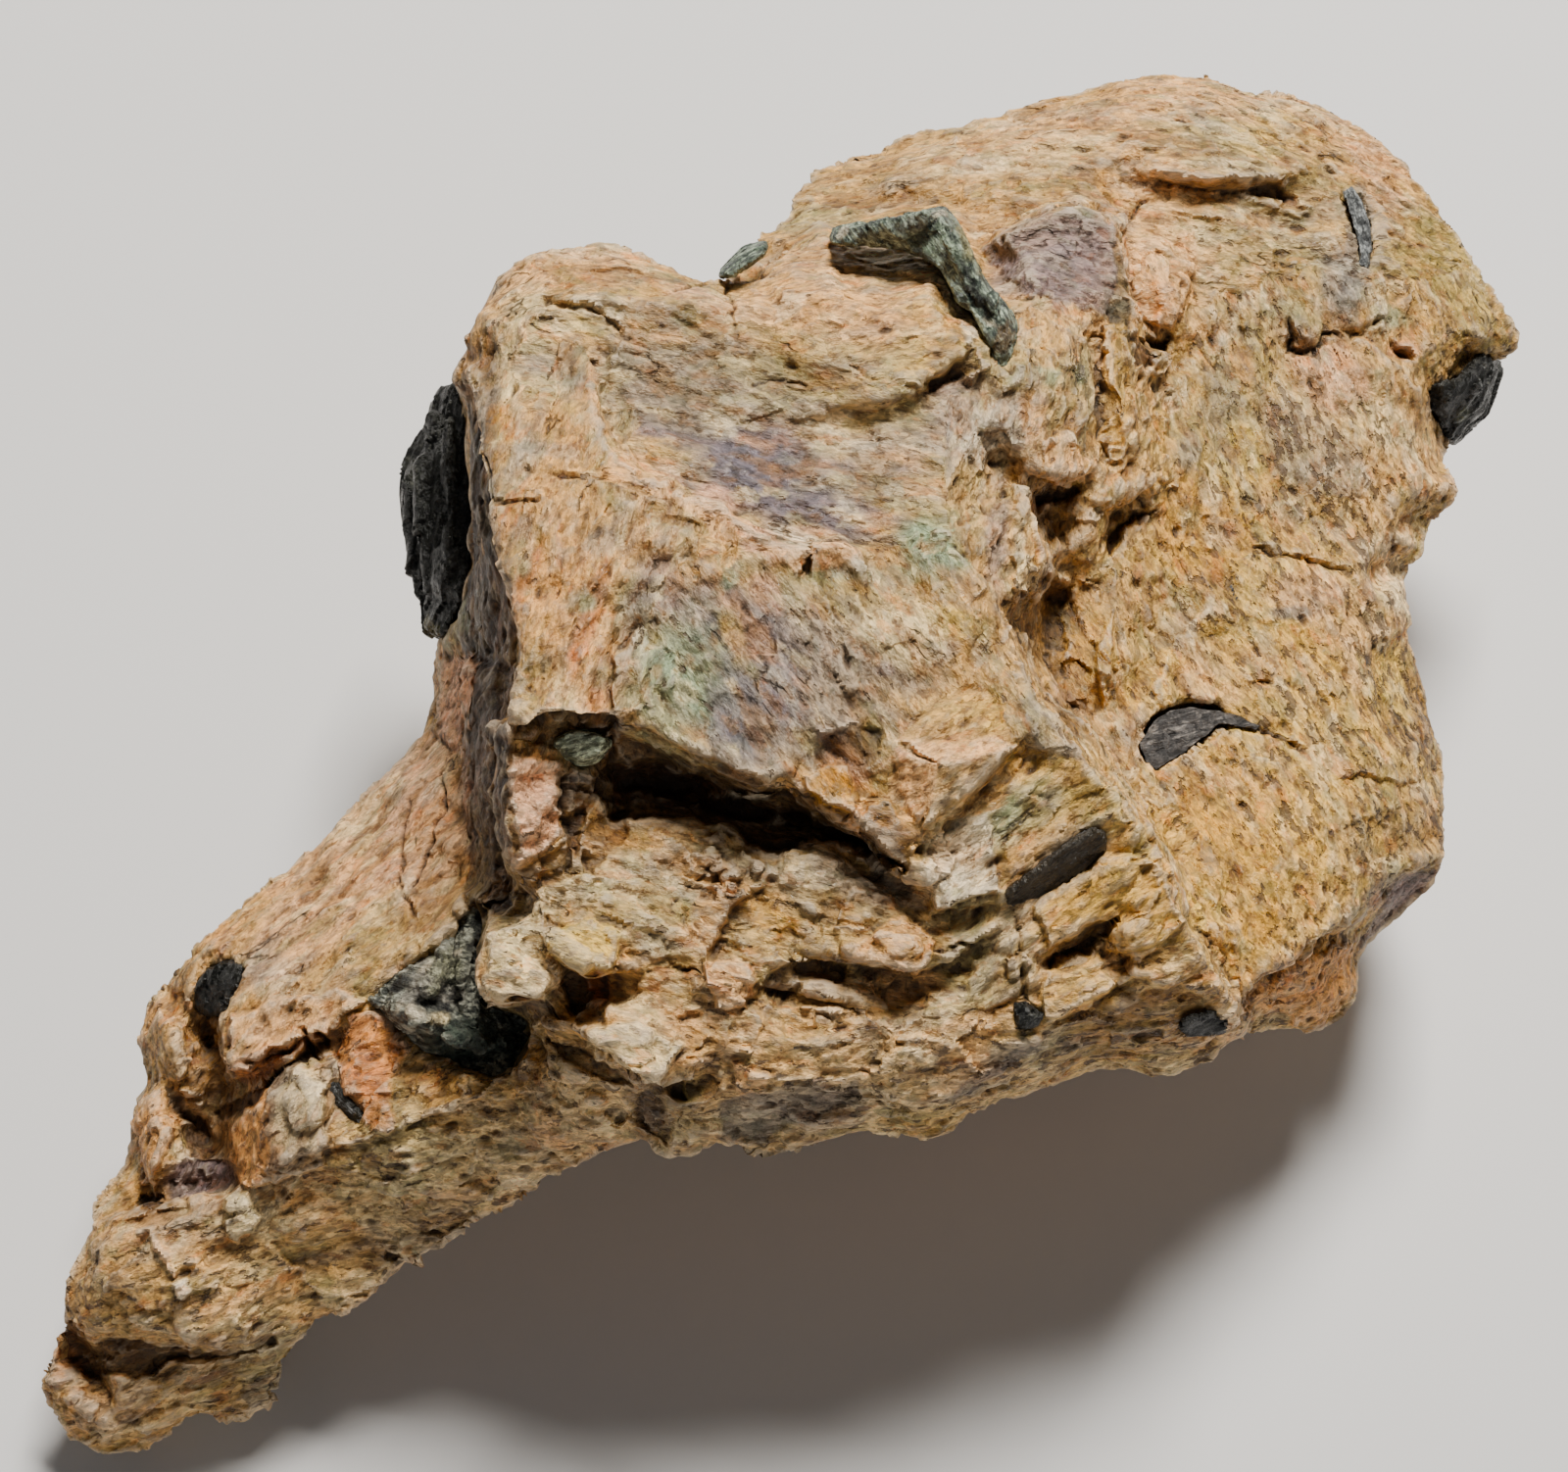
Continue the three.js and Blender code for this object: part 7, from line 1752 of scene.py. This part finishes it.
        # Paints shade into the holes, darker the deeper they sink.
        stain(0.85 * ramp(self.sunk, 0.3, 1.8), UMBER)
        stain(0.7 * self.pits, UMBER)
        set_colours(skin.mesh, "tint", colours)
        # The hollow mask lets the finish paint shade and dirt into the hollows.
        hollow = 0.5 * hollow_mask(skin.mesh, 0.45 * MM, 8) + 0.5 * hollow_mask(skin.mesh, 1.6 * MM, 60)
        gloss = ramp(rough(in_mm, 10.0, 91, 2), -0.4, 0.5)
        set_colours(skin.mesh, "marks", np.stack([hollow, np.clip(self.pitting, 0, 1), gloss], axis=1))
        self._store_drawn_places(skin)

    def _store_drawn_places(self, skin: Skin) -> None:
        """Stores the drawn-out place at each corner of a face, which has one fibre for all its corners.

        Args:
            skin: the rock's skin.
        """
        mesh = skin.mesh
        corner = read(mesh.loops, "vertex_index", 1, np.int64)
        first = read(mesh.polygons, "loop_start", 1, np.int64)
        ground = np.repeat(self.ground[corner[first]], read(mesh.polygons, "loop_total", 1, np.int64))
        drawn = drawn_out(skin.points[corner], self.fibres[ground], self.stretch)
        store(mesh, "drawn", "CORNER", drawn)


CRYSTAL_STAINS = [Stain(*row) for row in (
    # The pocket: pale crumbs and black cavities above, a green-black face below.
    (GREY, -44.5, -31, 8, 5, 35, 0.8), (GREEN_GREY, -42, -29, 4, 2.6, 50, 0.5),
    (GREEN_BLACK, -39, -38.8, 8.4, 3.6, -10, 0.95), (PALE, -47.6, -35.2, 2.2, 0.9, -30, 0.8),
    (CREAM, -44, -36.2, 1.6, 0.8, 10, 0.6), (PALE, -41.4, -27.7, 0.7, 0.5, 0, 0.9),
    (PALE, -46, -29.6, 1.2, 0.5, 40, 0.6), (BLACK, -49.2, -32, 2.4, 1.2, 50, 0.95),
    (BLACK, -44.2, -34.4, 2.4, 0.7, -10, 0.95), (BLACK, -39.8, -27.4, 3.6, 1.2, 70, 0.95),
    (BLACK, -37.4, -22.4, 3.2, 1.3, 35, 0.9),
    # The ridge vein: light edges and black slits in it.
    (PALE, 7.4, 64.2, 1.3, 0.6, 50, 0.6), (PALE, 19.8, 66.6, 1.2, 0.5, 10, 0.7),
    (GREY, 16.6, 65.2, 3, 1.2, 20, 0.6), (MINT, 17.6, 62.8, 3.4, 1.4, -30, 0.45),
    (MINT, 21.6, 62, 4, 0.9, -58, 0.55), (OLIVE, 23.4, 62.6, 4.4, 0.8, -62, 0.7),
    (BLACK, 14, 61.6, 2, 0.4, 10, 0.8), (BLACK, 17.8, 61.4, 2, 0.4, -40, 0.8),
    (BLACK, 23.3, 59.2, 2, 0.5, -58, 0.9), (BLACK, 24.8, 56, 1.8, 0.9, -50, 0.9),
    (BLACK, 26.1, 54.1, 0.7, 0.6, 0, 0.95), (PALE, 26, 52.8, 1.4, 0.8, -30, 0.8),
    (BROWN, 28, 50.8, 1.4, 2.8, -15, 0.6),
    # Pale crumbs on the left mass, and the light side of the rim mass.
    (GREY, -46.6, 41.8, 1.4, 2, 20, 0.5), (GREY, -47.6, 33.6, 0.8, 2.6, 10, 0.35),
    (OLIVE, -45.4, 12.6, 1.6, 2.6, 0, 0.6), (GREEN_GREY, 86.6, 41, 1.6, 1, 30, 0.4),
)]


@dataclass(frozen=True)
class Plate:
    """A flat-faced plate of crystal, outlined on the sight plane. It stands on the rock and reaches in."""

    lift: float
    depth: float
    outline: tuple[tuple[float, float], ...]

    def build(self, rock: bpy.types.Object) -> bpy.types.Object:
        """Makes the plate.

        Args:
            rock: the plain rock that it stands on.

        Returns:
            The plate as a closed solid.
        """
        bpy.ops.object.select_all(action="DESELECT")
        bpy.ops.mesh.primitive_circle_add(vertices=len(self.outline), radius=MM, fill_type="NGON")
        plate = bpy.context.active_object
        met = np.array([SIGHT.meet(rock, across, up) for across, up in self.outline])
        reach = (met - SIGHT.eye) @ SIGHT.forward
        even = 0.5 * reach + 0.5 * np.median(reach)
        way = (met - SIGHT.eye) * ((even - self.lift * MM) / reach)[:, None]
        set_points(plate.data, SIGHT.eye + way)
        bpy.ops.object.mode_set(mode="EDIT")
        bpy.ops.mesh.select_all(action="SELECT")
        bpy.ops.mesh.extrude_region_move(
            TRANSFORM_OT_translate={"value": tuple(float(v) for v in SIGHT.forward * self.depth * MM)}
        )
        bpy.ops.mesh.select_all(action="SELECT")
        bpy.ops.mesh.normals_make_consistent(inside=False)
        bpy.ops.object.mode_set(mode="OBJECT")
        return plate


@dataclass(frozen=True)
class CrystalMass:
    """One dark crystal mass, worked up from its plain solid, with flat-faced plates that grew with it."""

    node: str
    name: str
    finish: str
    fibre: tuple[float, float, float]
    block: float
    relief: float
    swell: float = 0.2
    cell: float = 0.4 * MM
    plates: tuple[Plate, ...] = ()

    def build(self, material: bpy.types.Material, rock: bpy.types.Object) -> bpy.types.Object:
        """Makes the mass in place of its plain solid.

        Args:
            material: the aegirine finish.
            rock: the plain rock that it sits in.

        Returns:
            The mass.
        """
        piece = merged_copy(self.node, self.name)
        plates = [plate.build(rock) for plate in self.plates]
        choose(piece)
        for plate in plates:
            plate.select_set(True)
        if plates:
            bpy.ops.object.join()
        apply_modifier(piece, "REMESH", mode="VOXEL", voxel_size=self.cell, adaptivity=0.0)
        apply_modifier(piece, "SMOOTH", factor=0.5, iterations=2)
        mesh = piece.data
        points, normals = points_of(mesh), normals_of(mesh)
        drawn = drawn_out(points / MM, np.array(self.fibre), 6.0)
        coarse = blocks(drawn, self.block, 5)
        fine = blocks(drawn, 0.4 * self.block, 9)
        height = self.swell + self.relief * (coarse + 0.35 * fine + 0.15 * lumps(drawn, 0.7, 3))
        set_points(mesh, points + normals * height[:, None] * MM)
        self._paint(mesh)
        mesh.materials.append(material)
        choose(piece)
        bpy.ops.object.shade_smooth_by_angle(angle=math.radians(24))
        return piece

    def _paint(self, mesh: bpy.types.Mesh) -> None:
        """Stains the mass and marks its hollows, which its finish fills with painted shade.

        Args:
            mesh: the mass's mesh.
        """
        points = points_of(mesh)
        places, warp = SIGHT.flatten(points), rough(points / MM, 1.6, 7, 3)
        colours = np.tile(GREEN_BLACK.linear, (len(points), 1))
        stained = np.zeros(len(points))
        for stain in CRYSTAL_STAINS:
            share = stain.cover(places, warp)
            colours += share[:, None] * (stain.tint.linear - colours)
            stained = np.maximum(stained, share)
        set_colours(mesh, "tint", colours)
        hollow = hollow_mask(mesh, 0.4 * MM, 5)
        set_colours(mesh, "marks", np.stack([hollow, stained, hollow], axis=1))
        drawn = drawn_out(points, np.array(self.fibre), 6.0)
        store(mesh, "drawn", "POINT", drawn)


POCKET_PLATES = (
    Plate(0.6, 4, (
        (-48, -38.1), (-42.4, -36.5), (-38.6, -34.8), (-31.4, -37.4), (-34.5, -41), (-37.6, -43.1),
        (-41.2, -42.1), (-44.4, -40),
    )),
    Plate(1.0, 4, ((-52.7, -33.5), (-49.3, -30.6), (-46.4, -33.4), (-48, -37.8), (-50.1, -35.3))),
    Plate(0.8, 4, ((-45.2, -28), (-41.8, -25.4), (-40, -22), (-38.2, -26.4), (-39.4, -31.6), (-43.4, -32))),
)

VEIN_PLATES = (
    Plate(0.6, 6, ((6.1, 63.1), (7.2, 65.3), (11, 65), (12.9, 65.3), (13.7, 62.1), (9.5, 63.2))),
    Plate(1.2, 7, ((12.9, 65.3), (15.6, 66.5), (19.6, 67.2), (19.1, 60.4), (16, 61.5), (13.7, 62.1))),
    Plate(1.4, 7, (
        (19.6, 67.2), (20.6, 67), (22.9, 64.4), (24.6, 60.8), (26.5, 56.9), (24.4, 55.4), (21.9, 56.9),
        (20.8, 59.2), (19.1, 60.4),
    )),
    Plate(1.0, 6, (
        (24.4, 55.4), (26.5, 56.9), (28.8, 54.4), (29.6, 51.8), (28.4, 49.3), (27.7, 46.4), (26.7, 46.4),
        (25.4, 48.1), (26.7, 51.8), (25, 53.3),
    )),
)

MASSES = [
    CrystalMass("aegirine_left_mass", "left_mass", "black", (0.1, 0.55, 0.8), 4.6, 0.8),
    CrystalMass(
        "aegirine_pocket_mass", "pocket_mass", "crumbly", (0.7, -0.4, 0.5), 2.0, 0.5, plates=POCKET_PLATES
    ),
    CrystalMass(
        "aegirine_ridge_vein", "ridge_vein", "green", (0.5, -0.8, -0.1), 2.4, 0.35, 0.0, plates=VEIN_PLATES
    ),
    CrystalMass("aegirine_ridge_tip", "ridge_tip", "green", (0.7, 0.6, 0.1), 1.8, 0.35),
    CrystalMass("aegirine_step_prism", "step_prism", "brown", (0.75, 0.55, 0.25), 4.0, 0.25),
    CrystalMass("aegirine_rim_mass", "rim_mass", "black", (0.4, 0.6, 0.5), 3.4, 0.7),
    CrystalMass("aegirine_tail_patch", "tail_patch", "black", (0.5, 0.7, 0.2), 2.4, 0.5),
    CrystalMass("aegirine_blade", "slab_blade", "blue", (0.2, -0.95, 0.1), 2.2, 0.25, -0.2),
    CrystalMass("aegirine_dish_lens", "dish_lens", "grey", (0.9, 0.3, 0.0), 3.4, 0.3, -0.3),
    CrystalMass("aegirine_needle", "dish_needle", "grey", (0.6, -0.7, 0.0), 2.0, 0.25, -0.1),
    CrystalMass("aegirine_flank_bead", "flank_bead", "black", (0.9, 0.1, 0.2), 2.0, 0.45),
    CrystalMass("aegirine_terrace_bead", "terrace_bead", "black", (0.6, 0.2, 0.7), 1.8, 0.4),
    CrystalMass("aegirine_tail_slit", "tail_slit", "black", (0.6, -0.75, 0.0), 1.6, 0.3),
    CrystalMass("aegirine_ledge_shard", "ledge_shard", "pale", (0.9, 0.2, 0.2), 2.4, 0.4),
]


@dataclass(frozen=True)
class Studio:
    """The pale floor, the soft lights and the camera."""

    floor_size: float = 6.0
    floor_colour: tuple[float, ...] = (0.72, 0.71, 0.70, 1.0)
    floor_roughness: float = 0.6
    sky_colour: tuple[float, ...] = (0.93, 0.96, 1.0, 1.0)
    sky_strength: float = 0.07
    sensor: float = 36.0

    def build(self) -> None:
        """Lays the floor and sets the lights and the camera."""
        self._floor()
        self._light("key", (0.16, 0.46, 0.87), 1.3, 0.42, 34.0, (1.0, 0.965, 0.91))
        self._light("fill", (0.1, -0.93, 0.35), 1.6, 1.2, 3.6, (0.95, 0.96, 1.0))
        world = bpy.data.worlds.new("studio")
        world.use_nodes = True
        world.node_tree.nodes["Background"].inputs[0].default_value = self.sky_colour
        world.node_tree.nodes["Background"].inputs[1].default_value = self.sky_strength
        bpy.context.scene.world = world
        self._camera()

    def _floor(self) -> None:
        """Lays the floor."""
        bpy.ops.object.select_all(action="DESELECT")
        bpy.ops.mesh.primitive_plane_add(size=self.floor_size, location=(0.0, 0.0, 0.0))
        floor = bpy.context.active_object
        floor.name = "floor"
        material, nodes, shader = new_material("pale_floor")
        nodes.put(shader, "Base Color", self.floor_colour)
        nodes.put(shader, "Roughness", self.floor_roughness)
        floor.data.materials.append(material)

    def _light(
        self, name: str, direction: tuple[float, ...], distance: float, size: float, power: float,
        colour: tuple[float, ...],
    ) -> None:
        """Adds a square lamp that looks at the rock.

        Args:
            name: the lamp's name.
            direction: where it stands, seen from the rock.
            distance: how far it stands off, in metres.
            size: the side of its square, in metres.
            power: its power in watts.
            colour: its colour in linear light.
        """
        lamp = bpy.data.lights.new(name, "AREA")
        lamp.size = size
        lamp.energy = power
        lamp.color = colour
        holder = bpy.data.objects.new(name, lamp)
        away = Vector(direction).normalized()
        holder.location = Vector(SIGHT.point) + distance * away
        holder.rotation_euler = away.to_track_quat("Z", "Y").to_euler()
        bpy.context.scene.collection.objects.link(holder)

    def _camera(self) -> None:
        """Sets the camera at the sight's eye."""
        lens = bpy.data.cameras.new("camera")
        lens.sensor_width = self.sensor
        lens.lens = self.sensor * SIGHT.distance / SIGHT.width
        lens.dof.use_dof = False
        camera = bpy.data.objects.new("camera", lens)
        camera.location = SIGHT.eye
        camera.rotation_euler = (math.pi / 2 - SIGHT.elevation, 0.0, 0.0)
        bpy.context.scene.collection.objects.link(camera)
        bpy.context.scene.camera = camera


def main() -> None:
    """Builds the rock, its crystals and the studio."""
    logging.basicConfig(level=logging.INFO, format="%(message)s")
    groups = Groups(grain_group(), pit_group(), crackle_group())
    feldspar = FeldsparFinish().build(groups)
    aegirines = {finish.name: finish.build(groups) for finish in AEGIRINES}
    for piece in FeldsparRock().build(feldspar):
        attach(piece, "root")
        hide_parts("feldspar_matrix")
        log.info("%s: %d faces", piece.name, len(piece.data.polygons))
    rock = merged_copy("feldspar_matrix", "rock_guide")
    for mass in MASSES:
        piece = mass.build(aegirines[mass.finish], rock)
        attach(piece, "root")
        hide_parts(mass.node)
        log.info("%s: %d faces", piece.name, len(piece.data.polygons))
    bpy.data.objects.remove(rock)
    Studio().build()


if __name__ == "__main__":
    main()
